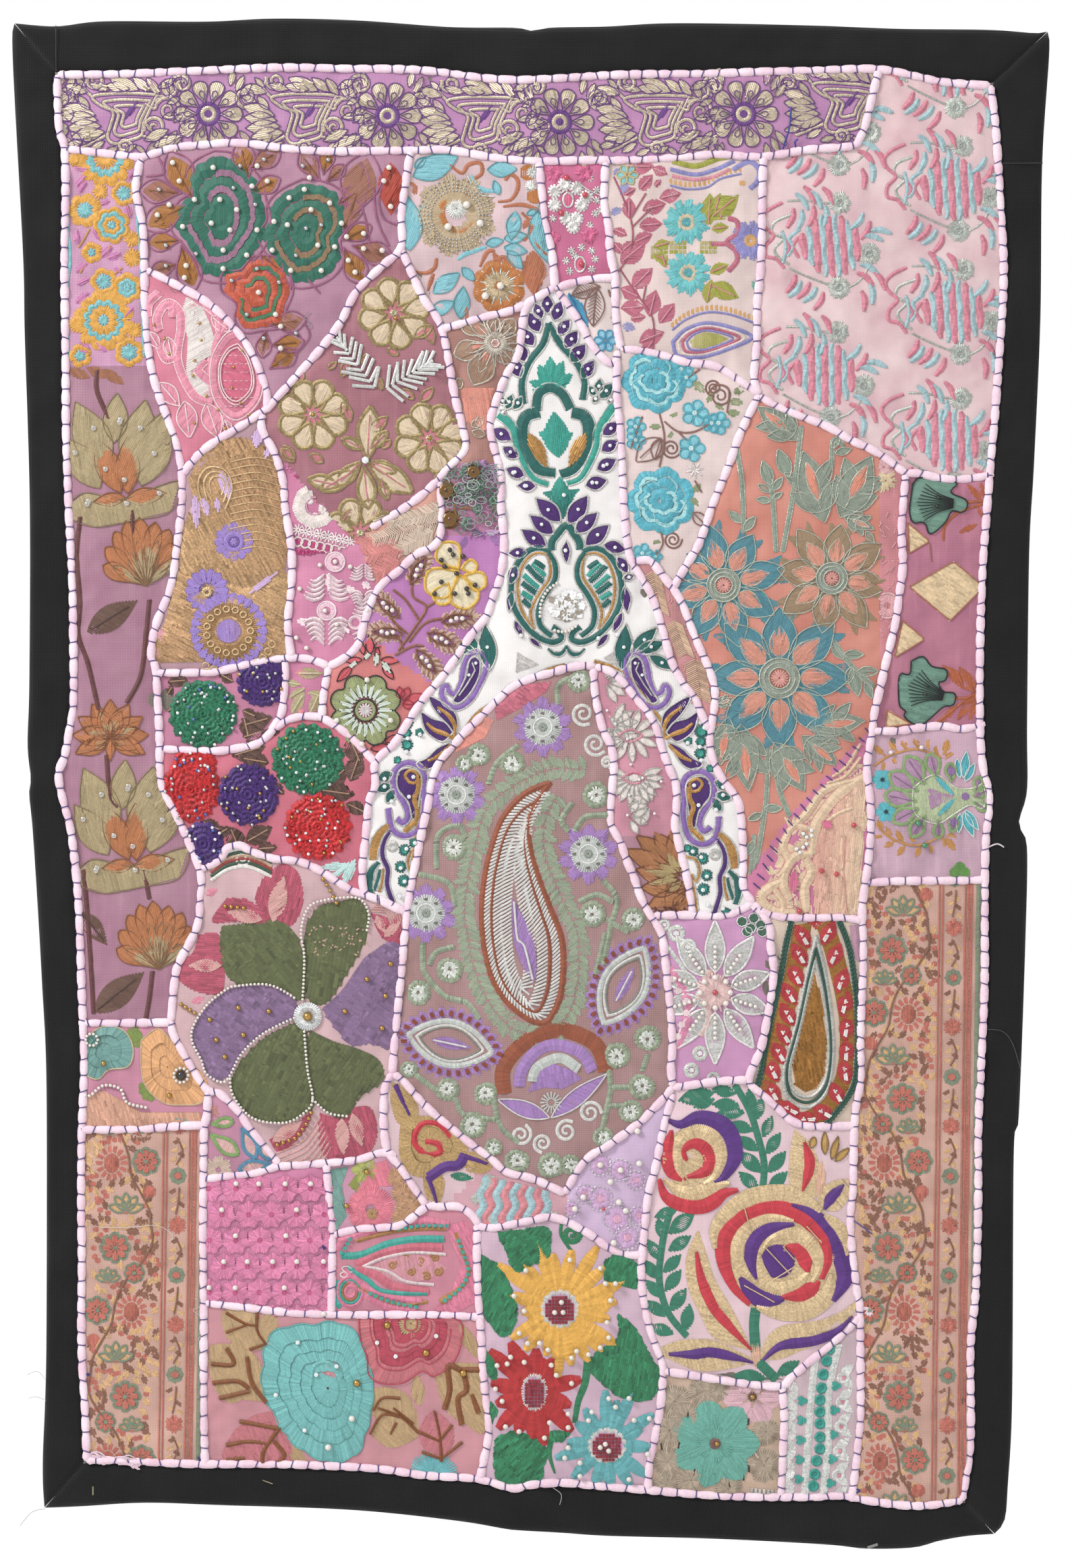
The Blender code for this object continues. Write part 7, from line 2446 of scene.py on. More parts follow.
def sewCreamRelief():
    work = Needlework("creamRelief")
    cream, rose = "E8C9A6", "E0A090"
    work.fill([(199, 445), (185, 452), (176, 471), (167, 485), (167, 507), (168, 527), (195, 527),
               (197, 480)], cream, angle=96, stitch=3, vary=0.1, puff=0.5, to=rose)
    for run, wide in (
        ([(198, 445), (185, 453), (176, 462), (168, 475), (166, 491)], 7),
        ([(190, 448), (174, 453), (163, 467), (153, 477)], 5),
        ([(153, 477), (149, 487), (153, 496), (147, 504)], 5),
        ([(166, 491), (157, 492), (152, 498), (149, 507), (153, 518)], 6),
        ([(163, 494), (166, 502), (162, 511), (163, 525)], 6),
        ([(149, 507), (141, 511), (136, 517), (144, 525), (160, 526)], 6),
        ([(168, 477), (160, 475), (155, 472)], 4), ([(195, 426), (187, 439), (179, 445)], 2),
        ([(176, 471), (182, 467), (190, 464)], 3), ([(144, 512), (149, 519), (149, 526)], 4),
        ([(195, 434), (186, 445), (176, 449)], 2),
    ):
        work.band(run, wide, cream, edge=rose, edgeWidth=0.7, puff=1.0, taper=(0.7, 1, 0.9, 1, 0.7),
                  slant=1.2)
    for line in ([(197, 439), (182, 452), (172, 464), (163, 473), (153, 475)],
                 [(174, 461), (166, 480), (160, 488), (148, 492)],
                 [(163, 491), (153, 492), (148, 502), (143, 504)],
                 [(166, 527), (153, 521), (144, 519), (136, 517)], [(149, 526), (153, 510), (166, 496)],
                 [(193, 464), (182, 475), (174, 491), (170, 507)], [(197, 467), (190, 487), (189, 521)]):
        laurel(work, line, cream, reach=6.5, step=2.4, wide=2.4, lean=60)
    work.leaves([(155, 514, 156, 500), (178, 475, 172, 472)], 5, "DE6C92", lift=1.3)
    work.line([(186, 480), (185, 500), (187, 526)], rose, width=0.8, smooth=True, out=1)
    work.bead([(191, 474), (172, 501), (181, 503), (159, 525)], "redBead", 1.7, out=1.6)
    work.bead([(161, 479), (163, 481), (166, 480), (166, 477), (163, 485), (161, 487), (157, 488),
               (159, 490)], "stone", 1.4, out=1.4)
    work.sew()


def yarnBall(work, x, drop, radius, colour, stones, oval=1.0):
    for ring in range(int(radius / 3)):
        outer = radius - ring * 3.1
        work.rays(x, drop, max(outer - 4.8, 0.2), outer, colour, width=1.0, puff=1.5, lift=0.3 + ring * 0.22,
                  lobes=max(5, 16 - 2 * ring), depth=0.12, turn=rng.uniform(0, 60), vary=0.22, oval=oval,
                  uneven=0.07)
    for kind, count in stones:
        around = rng.uniform(0, 2 * math.pi, count)
        reach = radius * np.sqrt(rng.uniform(0.03, 0.85, count))
        work.bead(np.column_stack([x + reach * np.cos(around), drop + reach * np.sin(around) * oval]), kind,
                  1.1, out=2.0)


def bronzeLeaves(work, pairs):
    work.leaves(pairs, 0.62, "6A4F48", metal=True, vein="B08A6A", slant=50, vary=0.2, puff=0.6)


def sewYarns():
    work = Needlework("upperYarn")
    bronzeLeaves(work, [(-215, 389, -203, 388), (-217, 399, -212, 391), (-176, 389, -185, 384),
                        (-171, 406, -162, 410), (-171, 415, -153, 410), (-171, 422, -157, 418),
                        (-170, 410, -167, 423), (-216, 407, -209, 402)])
    yarnBall(work, -194, 408, 21.5, "1D7A56", (("stone", 12), ("silverBead", 18), ("blueBead", 6)))
    yarnBall(work, -159, 389, 16, "4A2676", (("silverBead", 12), ("goldBead", 7)))
    low = Needlework("lowerYarn")
    bronzeLeaves(low, [(-177, 433, -157, 427), (-155, 437, -173, 434), (-196, 473, -182, 477),
                       (-188, 481, -178, 475), (-169, 484, -153, 475), (-162, 488, -150, 487),
                       (-123, 452, -108, 439), (-125, 453, -104, 456), (-107, 448, -101, 431),
                       (-153, 449, -146, 456), (-193, 471, -193, 479), (-184, 431, -193, 426),
                       (-178, 475, -171, 492), (-180, 491, -162, 494), (-108, 421, -100, 439),
                       (-109, 461, -97, 467), (-157, 421, -147, 412)])
    yarnBall(low, -201, 453, 18, "CC0E18", (("silverBead", 14), ("blueBead", 6)), oval=1.15)
    yarnBall(low, -199, 439, 14, "CC0E18", (("stone", 6), ("blueBead", 4)))
    yarnBall(low, -194, 485, 13, "4A2676", (("stone", 10), ("blueBead", 3)), oval=1.1)
    yarnBall(low, -167, 456, 19.5, "4A2676", (("silverBead", 18), ("goldBead", 8)))
    yarnBall(low, -132, 435, 22.5, "1D7A56", (("stone", 8), ("silverBead", 18), ("goldBead", 8)))
    yarnBall(low, -126, 475, 21, "D3121C", (("stone", 8), ("silverBead", 18), ("goldBead", 8)))
    low.leaves([(-108, 498, -125, 499), (-107, 496, -120, 506), (-104, 494, -112, 511)], 0.3, "BFE0DC")
    work.sew()
    low.sew()


def sewMintFlower():
    work = Needlework("mintFlower")
    olive, mint, black, red = "9AA26C", "CDD8CA", "1E1E22", "DA5560"
    x, drop = -98, 406
    work.rays(x, drop, 9, 22, olive, lobes=8, depth=0.22, puff=0.6)
    work.line([(x + r * math.cos(a), drop + r * math.sin(a)) for a in np.linspace(0, 6.28, 49)
               for r in [22 * (0.78 + 0.22 * abs(math.sin(4 * a)) ** 0.7)]], black, width=0.8, closed=True,
              out=0.7)
    for k in range(20):
        work.leaf(x + 7 * math.cos(k * 0.314), drop + 7 * math.sin(k * 0.314), k * 18, 9.5, 2.6, mint,
                  edge=black, edgeWidth=0.55, lift=0.8)
    work.rays(x, drop, 4.4, 6.6, olive, lift=0.9)
    work.line(ringShape(6.6) + (x, drop), black, width=0.7, closed=True, out=1.3)
    work.rays(x, drop, 0, 4.2, "CFC4C4", lift=1.0)
    work.leaves([(-76, 402, -64, 396), (-76, 400, -72, 392), (-77, 399, -78, 392), (-76, 403, -69, 402)],
                5.5, red, edge="A02A3C", edgeWidth=0.6, slant=20)
    work.leaves([(-95, 429, -83, 427), (-104, 431, -100, 439), (-111, 425, -119, 431), (-78, 421, -87, 425)],
                0.4, red, edge=black, edgeWidth=0.6)
    work.leaves([(-99, 373, -101, 365), (-95, 373, -96, 361), (-91, 376, -91, 368), (-89, 376, -78, 377),
                 (-88, 379, -81, 388), (-100, 376, -110, 377), (-106, 380, -115, 389), (-93, 369, -87, 365)],
                0.4, red, edge=black, edgeWidth=0.6)
    work.leaves([(-95, 372, -99, 376), (-91, 372, -92, 380), (-88, 377, -83, 384), (-103, 377, -108, 381)],
                0.36, mint, edge=black, edgeWidth=0.6, lift=0.8)
    work.bead([(-97, 388), (-83, 412), (-115, 412), (-100, 426)], "pearl", 1.8, out=1.6)
    leaf = Needlework("beigeLeaf")
    for root, tip in (((-139, 384), (-123, 384)), ((-134, 393), (-144, 399)), ((-132, 395), (-121, 399)),
                      ((-142, 408), (-134, 395)), ((-131, 408), (-125, 395)), ((-146, 389), (-136, 391))):
        leaf.leaves([(*root, *tip)], 0.42, "B9A97C", vein="D6CBA4", slant=45, puff=0.6)
    leaf.leaves([(-140, 384, -132, 383), (-138, 406, -134, 408)], 3, "E58A92")
    work.sew()
    leaf.sew()


for sewing in (sewArch, sewTurquoiseFlowers, sewSalmon, sewStrips, sewTulips, sewSageFan, sewCreamRelief,
               sewYarns, sewMintFlower):
    sewing()
print("middle sewn")


def spiralLeaf(work, x, drop, radius, turn=0.0):
    work.rays(x, drop, radius * 0.5, radius, "98A388", puff=0.8, uneven=0.1, lobes=1, depth=0.3, turn=turn,
              vary=0.13)
    work.rays(x, drop, radius * 0.2, radius * 0.7, "D6DAD0", width=0.7, lift=0.6, uneven=0.5, vary=0.15)
    work.spiral(x, drop, radius * 0.34, "A3AC93", turns=1.1, wide=1.3, start=turn)


def sewOval():
    work = Needlework("oval")
    lilac, grey, rust, sage, white = "A97FC0", "C6CAC4", "9C4F2E", "98A48A", "DAD8D2"
    work.fill([(-22, 403), (-8, 391), (12, 389), (9, 395), (-5, 404), (-20, 412)], "C7657A", angle=30,
              vary=0.15, puff=0.4, stitch=3)
    work.fill([(-22, 412), (-27, 422), (-45, 431), (-43, 426), (-27, 410)], "DE8878", angle=30, high=0.15,
              puff=0.1)
    for x, drop in ((7, 416), (-44, 456), (34, 491), (-62, 526)):
        work.rays(x, drop, 9, 19, lilac, lobes=10, depth=0.34, puff=0.5, width=0.9, uneven=0.12)
        work.rays(x, drop, 2.4, 11.5, grey, width=0.8, uneven=0.12, lift=0.7, puff=0.8)
        work.rays(x, drop, 0.4, 2.6, "98A294", lift=1.2)
        for k in range(8):
            a = 2 * math.pi * k / 8
            work.disc(x + 8.2 * math.cos(a), drop + 8.2 * math.sin(a), 0.9, "6F6A66", lift=1.5, puff=0.1)
        work.line(ringShape(5.6) + (x, drop), "EEF0EA", width=0.8, closed=True, out=1.6)
    outline = [(11, 449), (-3, 455), (-16, 469), (-23, 487), (-27, 504), (-29, 526), (-27, 548),
               (-21, 568), (-9, 583), (7, 591), (16, 579), (19, 561), (18, 541), (12, 525),
               (5, 507), (0, 491), (-2, 475), (2, 462)]
    shape = smoothLine([*outline, outline[0]], 1.0)[:-1]
    middle = np.array((-9, 534), float)
    inside = middle + (shape - middle) * (0.72, 0.88)
    work.band(shape, 3.8, rust, closed=True, smooth=False, puff=0.8, spacing=0.9)
    work.band(inside, 1.8, rust, closed=True, smooth=False, puff=0.8, spacing=0.9)
    for across, down, wide in ((0.86, 0.93, 5), (0.56, 0.82, 6.5), (0.3, 0.66, 7)):
        work.band(middle + (shape - middle) * (across, down), wide, white, closed=True, smooth=False,
                  spacing=1.9, slant=4.4, puff=0.7, thread=1.0)
    work.leaves([(2, 567, -11, 517)], 11, lilac, slant=35, puff=0.8, lift=0.6)
    work.line([(1, 565), (-4, 545), (-8, 541), (-10, 519)], white, width=1.2, smooth=True, out=1.8)
    for line in ([(32, 441), (12, 441), (-9, 450), (-26, 464), (-34, 491), (-39, 521), (-37, 542),
                  (-33, 560), (-24, 580), (-11, 594), (1, 598)],
                 [(15, 457), (8, 473), (9, 494), (17, 514), (25, 531), (28, 542), (28, 563),
                  (24, 582), (16, 594)]):
        laurel(work, line, sage, reach=8.6, step=4.2, wide=4.4, lean=58)
    for x, drop, radius in (
        (28, 388, 8), (-31, 433, 8), (-11, 438, 8.4), (39, 456, 9), (-46, 487, 9), (36, 527, 9),
        (61, 530, 8), (-48, 559, 9), (-67, 573, 8.4), (51, 611, 9), (69, 601, 9), (-72, 618, 6),
        (-50, 630, 8), (-27, 632, 8), (-35, 651, 9), (66, 628, 9), (59, 644, 8), (43, 659, 7),
        (-8, 672, 8.4), (12, 676, 9), (24, 675, 7), (-22, 665, 6), (-39, 438, 6),
    ):
        spiralLeaf(work, x, drop, radius, rng.uniform(0, 360))
    for line in (
        [(-25, 449), (-20, 437), (-8, 427)], [(-56, 499), (-55, 480), (-43, 474), (-39, 481)],
        [(-66, 503), (-49, 508), (-45, 521)], [(22, 477), (18, 471), (24, 461)],
        [(26, 477), (32, 469), (45, 468)], [(43, 507), (51, 518), (47, 534), (43, 556)],
        [(29, 519), (39, 515), (48, 519)], [(-64, 544), (-64, 557), (-62, 563), (-51, 575),
        (-38, 579), (-31, 588)], [(-60, 556), (-56, 549), (-46, 546)], [(-69, 621), (-57, 630),
        (-45, 636), (-40, 645), (-22, 648)], [(-22, 636), (-18, 652), (-8, 661)],
        [(46, 619), (47, 630), (45, 641), (42, 655)], [(47, 629), (58, 629)],
        [(45, 640), (55, 640)], [(69, 610), (66, 619)], [(44, 538), (38, 563)],
        [(16, 402), (16, 392), (22, 387)], [(45, 530), (57, 537)],
    ):
        work.band(line, 3.4, sage, puff=0.8, spacing=1.1, slant=0.9, thread=1.1, vary=0.12)
    for x, drop, radius, start, flip in ((31, 408, 7.0, 60, 1), (38, 426, 7.0, 40, 1), (45, 437, 4, 60, -1),
                                         (-6, 657, 6.4, 300, 1), (7, 662, 5.6, 100, 1),
                                         (21, 655, 6.6, 300, -1), (35, 644, 6.8, 0, -1)):
        work.spiral(x, drop, radius, white, start=start, flip=flip, turns=1.6, wide=2.0)
    for x, drop, angle, long, wide in ((-48, 603, 12, 50, 26), (55, 569, -62, 50, 26)):
        work.move(x, drop, turn=angle)
        ring = leafShape(long, wide, fat=0.5, tip=0.8, count=17)[0] - (long / 2, 0)
        for share, colour, width in ((1.0, grey, 3.2), (0.72, "8E8A80", 1.2), (0.8, white, 1.6)):
            work.band(ring * share, width, colour, closed=True, puff=0.5)
        work.leaf(-11, 0, 0, 24, 7, lilac, slant=50, puff=0.9)
        work.line([(-10, 0), (10, 0)], white, width=1.0, out=1.6)
        for spot in evenly(np.vstack([ring, ring[:1]]) * 1.04, 4.7)[:-1]:
            way = spot / math.hypot(*spot)
            angleOut = math.degrees(math.atan2(way[1] * 1.6, way[0]))
            work.leaf(*spot, angleOut, 8.4, 5.2, lilac, fat=0.5, puff=0.8)
            work.leaf(*(spot + way * 1.6), angleOut, 4.8, 2.4, "8E3F24", fat=0.5, lift=0.9)
    work.move()
    work.band([(-16, 632), (-16, 617), (-3, 602), (16, 595), (35, 601), (42, 610), (44, 619)],
              9, rust, puff=0.8)
    work.band([(-7, 628), (-5, 618), (4, 607), (16, 604), (30, 609), (36, 619)], 7, lilac, puff=0.8)
    work.band([(1, 625), (3, 618), (11, 613), (19, 612), (28, 618)], 6, grey, puff=0.8)
    work.fill([(-2, 632), (5, 619), (13, 615), (24, 619), (30, 624), (19, 630), (8, 629)],
              lilac, angle=80, stitch=4, puff=0.7)
    work.leaves([(12, 647, 45, 621), (11, 647, -20, 636)], 9.5, lilac, edge=white, slant=60, puff=0.8)
    work.rays(12, 638, 2, 6.5, grey, count=16)
    work.sew()


def sewOvalSide():
    work = Needlework("silverLeaves")
    pale, grey = "E9DDD5", "BDB8B2"
    for x, drop, low, high, count, reach in ((43, 389, -70, 60, 6, 12), (47, 415, -60, 90, 7, 13),
                                             (59, 421, -200, 150, 12, 14), (61, 446, -20, 200, 12, 14),
                                             (72, 462, 120, 260, 6, 11), (57, 469, -60, 60, 4, 9)):
        for k in range(count):
            angle = low + (high - low) * k / (count - 1)
            a = math.radians(angle)
            work.leaf(x + 3.4 * math.cos(a), drop + 2.4 * math.sin(a), angle, reach, 4.4, pale, edge=grey,
                      edgeMetal=True, edgeWidth=0.6, slant=90, fat=0.55)
    for x, drop in ((59, 421), (61, 446)):
        eye = leafShape(14, 7, fat=0.5)[0] - (7, 0) + (x, drop)
        work.band(eye, 1.6, "E48AA0", closed=True, puff=0.8)
        work.fill(eye.mean(0) + (eye - eye.mean(0)) * 0.6, pale, angle=60)
    work.bead([(50, 414), (45, 406), (59, 422), (57, 423), (60, 432), (59, 438), (66, 446),
               (77, 448), (58, 456), (57, 468), (64, 447), (73, 467)], "stone", 1.0, out=1.2)
    lotus = Needlework("rustLotus")
    rust, tan, dark = "AE7040", "AD9560", "7A4526"
    lotus.leaves([(89, 500, 62, 480), (89, 500, 73, 478), (89, 500, 83, 477), (89, 504, 55, 488),
                  (89, 507, 62, 500), (91, 511, 65, 511), (91, 515, 69, 522),
                  (92, 512, 87, 527), (91, 507, 80, 523)], 11, rust, edge=dark, edgeWidth=0.6, fat=0.55,
                 slant=15)
    lotus.leaves([(87, 504, 66, 501), (87, 506, 69, 509), (87, 502, 74, 497),
                  (88, 502, 80, 489), (89, 507, 81, 514), (89, 502, 88, 491)], 5, tan, edge=dark,
                 edgeWidth=0.6, lift=0.5)
    for k in range(14):
        spot = np.array((73, 525)) + (1.4 * k, rng.uniform(-2, 1))
        lotus.line([spot, spot + rng.uniform(-2, 2, 2)], "5E2E22", width=0.8, out=0.8)
    work.sew()
    lotus.sew()


def sewSilverStar():
    work = Needlework("silverStar")
    silver, pale = "D2D0CC", "EBC4C0"
    x, drop = 109, 573
    for k in range(10):
        angle = -90 + 36 * k
        a = math.radians(angle)
        root = (x + 10 * math.cos(a), drop + 12 * math.sin(a))
        reach = 22 + 9 * abs(math.sin(a))
        work.leaf(*root, angle, reach, 11.5, silver, edge="EDEBE6", metal=True, edgeMetal=True, slant=80,
                  fat=0.42, edgeWidth=1.2, puff=0.8)
        spots = [(root[0] + r * math.cos(a), root[1] + r * math.sin(a)) for r in (3, 6, 9, 12, 15)]
        work.bead(spots, "pearl", 1.3, out=1.6)
    work.rays(x, drop, 1, 13, pale, uneven=0.35, width=0.9, puff=0.6, lift=0.5)
    around = np.linspace(0, 2 * math.pi, 9)[:-1]
    work.bead(np.column_stack([x + 9 * np.cos(around), drop + 9 * np.sin(around)]), "pearl", 1.8, out=1.8)
    work.bead([(x, drop)], "redBead", 1.8, out=2)
    for rx, rd, radius in ((86, 538, 5.2), (93, 546, 5), (100, 609, 4.6), (95, 619, 4.6),
                           (79, 533, 3.6), (104, 576, 7), (108, 624, 4)):
        work.rays(rx, rd, radius * 0.45, radius, "D6DAD0", metal=True)
        work.disc(rx, rd, radius * 0.3, "E8ECE4")
    work.band([(80, 545), (89, 557), (96, 569)], 2.6, "D6D8D2", metal=True)
    work.band([(82, 559), (92, 575), (92, 590), (86, 606)], 5.4, "E58CB0", puff=0.7)
    for rx, rd in ((87, 572), (92, 578), (92, 585), (89, 592), (87, 599), (84, 565)):
        work.disc(rx, rd, 2.0, "F0D4D8", lift=1.0)
    work.band([(105, 560), (103, 569), (105, 588), (100, 598)], 4.5, "E9C4BC", puff=0.7)
    for rx, rd in ((125, 531), (130, 535), (136, 533), (132, 529), (137, 537), (128, 537)):
        work.rays(rx, rd, 0.3, 3.2, "3C6B54", width=0.9)
        work.line(ringShape(3.2, 10) + (rx, rd), "DADCD6", width=0.7, closed=True, metal=True)
    work.sew()


def sewTeardrop():
    work = Needlework("teardrop")
    green, silver, red, gold = "2F5A4A", "D4D4CE", "BB2630", "A5702A"
    for line in ([(154, 532), (151, 545), (148, 563), (142, 590), (137, 617), (134, 629)],
                 [(183, 532), (189, 549), (193, 579), (193, 617), (189, 633), (175, 651)]):
        work.band(line, 3.4, green, edge=silver, edgeMetal=True, puff=0.8)
        for spot in smoothLine(line, 2.4):
            work.rays(*spot, 0.2, 2.0, green, count=8, puff=0.8, lift=0.6)
    for line in ([(161, 533), (155, 565), (148, 595), (140, 622), (143, 637), (153, 648)],
                 [(174, 532), (182, 559), (188, 592), (186, 622), (176, 641), (163, 649)]):
        work.band(line, 10.5, gold, metal=True, puff=0.4, slant=3)
    for x, drop, angle in (
        (161, 540, 60), (159, 551, 60), (157, 563, 65), (153, 574, 60), (152, 586, 60), (150, 598, 60),
        (147, 609, 60), (143, 619, 65), (143, 632, 60), (176, 538, 120), (180, 551, 115), (184, 566, 110),
        (186, 580, 105), (187, 594, 100), (187, 608, 95), (186, 620, 80), (181, 633, 60), (173, 644, 30),
        (153, 642, 30), (163, 648, 0),
    ):
        loop = turned(leafShape(16, 9, fat=0.5, tip=0.8)[0] - (8, 0), x, drop, angle)
        work.fill(loop, red, angle=angle + 60, lift=0.5, puff=0.9, stitch=4)
        work.leaf(x, drop, angle, 6.6, 2.0, "E6DEDA", lift=1.4)
        work.leaf(x, drop, angle + 180, 3.4, 1.7, "E6DEDA", lift=1.4)
    tear = np.array([(169, 540), (163, 565), (157, 592), (150, 619), (152, 635), (161, 641),
                     (170, 638), (177, 626), (179, 601), (175, 565)])
    middle = np.array((166, 611))
    for size, colour, wide, metal in ((1.0, silver, 2.2, True), (0.9, green, 1.8, False),
                                      (0.8, silver, 2.0, True)):
        work.band(middle + (tear - middle) * size, wide, colour, closed=True, metal=metal, puff=0.9)
    work.fill(middle + (tear - middle) * 0.7, gold, angle=80, stitch=2.6, metal=True, vary=0.16)
    work.leaves([(168, 533, 163, 530), (170, 533, 174, 529), (169, 536, 169, 529)], 4, red)
    work.fill([(189, 533), (195, 533), (195, 556), (191, 552)], "B98AA0", angle=80, high=0.15)
    work.disc(193, 546, 2, "4A2A30")
    work.sew()


def feltPetal(work, points, colour, angle):
    # A petal of short close stitches, set at random so that it looks felted.
    shape = smoothLine([*points, points[0]], 2.0)[:-1]
    work.fill(shape, colour, angle=angle, stitch=2.2, width=0.85, vary=0.08, puff=0.9, high=0.35)
    work.fill(shape, colour, angle=angle + 30, stitch=1.6, width=2.0, vary=0.16, puff=0.9, lift=0.25,
              high=0.3)


def sewBigFlower():
    work = Needlework("bigFlower")
    olive, lilac, crimson, pale = "5E653C", "87688F", "B84C64", "D9A09A"
    crimsonPetals = [
        ([(-159, 506), (-148, 497), (-138, 502), (-135, 518), (-141, 533), (-153, 532), (-163, 519)],
         (-153, 531), (-146, 504)),
        ([(-180, 517), (-166, 519), (-153, 533), (-173, 531), (-189, 531)], (-159, 530), (-180, 525)),
        ([(-197, 539), (-184, 540), (-182, 571), (-196, 573), (-209, 565), (-208, 556), (-200, 549)],
         (-183, 557), (-203, 557)),
        ([(-125, 644), (-115, 647), (-103, 644), (-104, 668), (-116, 673), (-125, 665)], (-112, 647),
         (-111, 669)),
        ([(-106, 641), (-95, 641), (-91, 655), (-95, 667), (-107, 668)], (-106, 644), (-100, 664)),
        ([(-89, 540), (-77, 526), (-74, 540), (-80, 545)], (-87, 540), (-77, 531)),
        ([(-95, 526), (-85, 529), (-84, 537), (-88, 541)], (-92, 527), (-86, 538)),
        ([(-155, 660), (-140, 651), (-130, 644), (-134, 655), (-148, 668)], (-153, 661), (-135, 649)),
    ]
    for points, root, tip in crimsonPetals:
        shape = smoothLine([*points, points[0]], 2.0)[:-1]
        work.fill(shape, crimson, angle=reachOf(*root, *tip)[1], stitch=4, vary=0.12)
        work.leaves([(*root, *tip)], 0.38, pale, lift=0.7, slant=40)
    for k in range(7):
        work.band([(-150, 668), (-135, 661), (-125, 647)] + np.array((0.6, 1.4)) * k * 2, 1.4, pale,
                  puff=0.4)
        work.band([(-95, 525), (-85, 527), (-81, 540)] + np.array((1.2, -1.4)) * k, 0.9, pale, puff=0.4)
    petals = [
        ([(-183, 534), (-166, 532), (-151, 530), (-140, 538), (-135, 552), (-134, 577), (-146, 571),
          (-159, 568), (-173, 568), (-181, 561), (-184, 545)], olive, 20),
        ([(-133, 533), (-125, 522), (-112, 519), (-103, 518), (-96, 528), (-99, 544), (-108, 560),
          (-121, 579), (-132, 576), (-134, 552)], olive, 70),
        ([(-139, 577), (-150, 571), (-166, 569), (-180, 572), (-193, 583), (-201, 598), (-195, 613),
          (-189, 624), (-178, 622), (-171, 609), (-158, 596), (-140, 588)], lilac, 5),
        ([(-123, 582), (-112, 572), (-103, 559), (-95, 550), (-78, 546), (-78, 602), (-95, 603), (-107, 603),
          (-120, 588)], lilac, 5),
        ([(-140, 591), (-159, 601), (-174, 618), (-177, 632), (-166, 646), (-146, 650), (-134, 644),
          (-128, 636), (-133, 596)], olive, 85),
        ([(-131, 595), (-116, 602), (-103, 606), (-90, 613), (-88, 625), (-103, 636), (-107, 645),
          (-115, 647), (-128, 636), (-132, 619)], olive, 95),
    ]
    for points, colour, angle in petals:
        feltPetal(work, points, colour, angle)
    for x, drop in rng.uniform((-131, 533), (-97, 552), (50, 2)):
        work.line([(x, drop), (x + rng.uniform(-2, 2), drop + 1)], "C9A08C", width=0.9, out=1.2)
    for line in (
        [(-135, 577), (-134, 552), (-136, 538), (-133, 525), (-125, 519), (-103, 517), (-96, 526),
         (-97, 536)],
        [(-140, 576), (-150, 570), (-159, 568), (-173, 569), (-180, 571), (-193, 582), (-201, 598),
         (-195, 613), (-192, 621), (-183, 626), (-178, 622), (-171, 609), (-158, 597), (-140, 588)],
        [(-178, 624), (-176, 634), (-165, 647), (-146, 650), (-134, 644), (-129, 636), (-132, 619),
         (-134, 596)], [(-129, 636), (-120, 644), (-109, 646)],
    ):
        work.beadLine(line, "whiteBead", 0.95, spacing=2.3, smooth=True, out=1.4)
    work.bead([(-190, 589), (-173, 582), (-155, 584), (-186, 601), (-170, 598), (-181, 611), (-110, 584),
               (-83, 556), (-97, 565), (-86, 575), (-88, 594)], "goldBead", 1.7, out=2)
    for line in ([(-123, 506), (-119, 512), (-115, 520)], [(-207, 580), (-199, 585)],
                 [(-150, 663), (-139, 659), (-133, 651), (-130, 644)], [(-181, 522), (-170, 523)]):
        work.beadLine(line, "goldBead", 1.4, spacing=3.6, out=1.4)
    work.rays(-132, 587, 2.4, 8.4, "DADCDC", metal=True, width=0.8, lift=1.4, puff=0.8)
    work.bead([(-132, 587)], "goldBead", 2.9, out=3.2)
    fan = [(-189, 500), (-180, 494), (-170, 492), (-162, 494), (-154, 498)]
    for shift, colour in ((8, "EDE8E0"), (5, "3C5A48"), (2.4, "A5403A"), (0, "C9A78A"), (-2.5, "3C5A48"),
                          (-5, "EDE8E0")):
        work.band(np.array(fan) + (0, shift * 0.8), 2.0, colour, puff=0.6)
    work.spiral(-171, 494, 4.4, "EDE8E0", wide=1.6)
    work.leaves([(-193, 515, -185, 512), (-201, 579, -193, 576)], 4, "E889A0")
    work.sew()


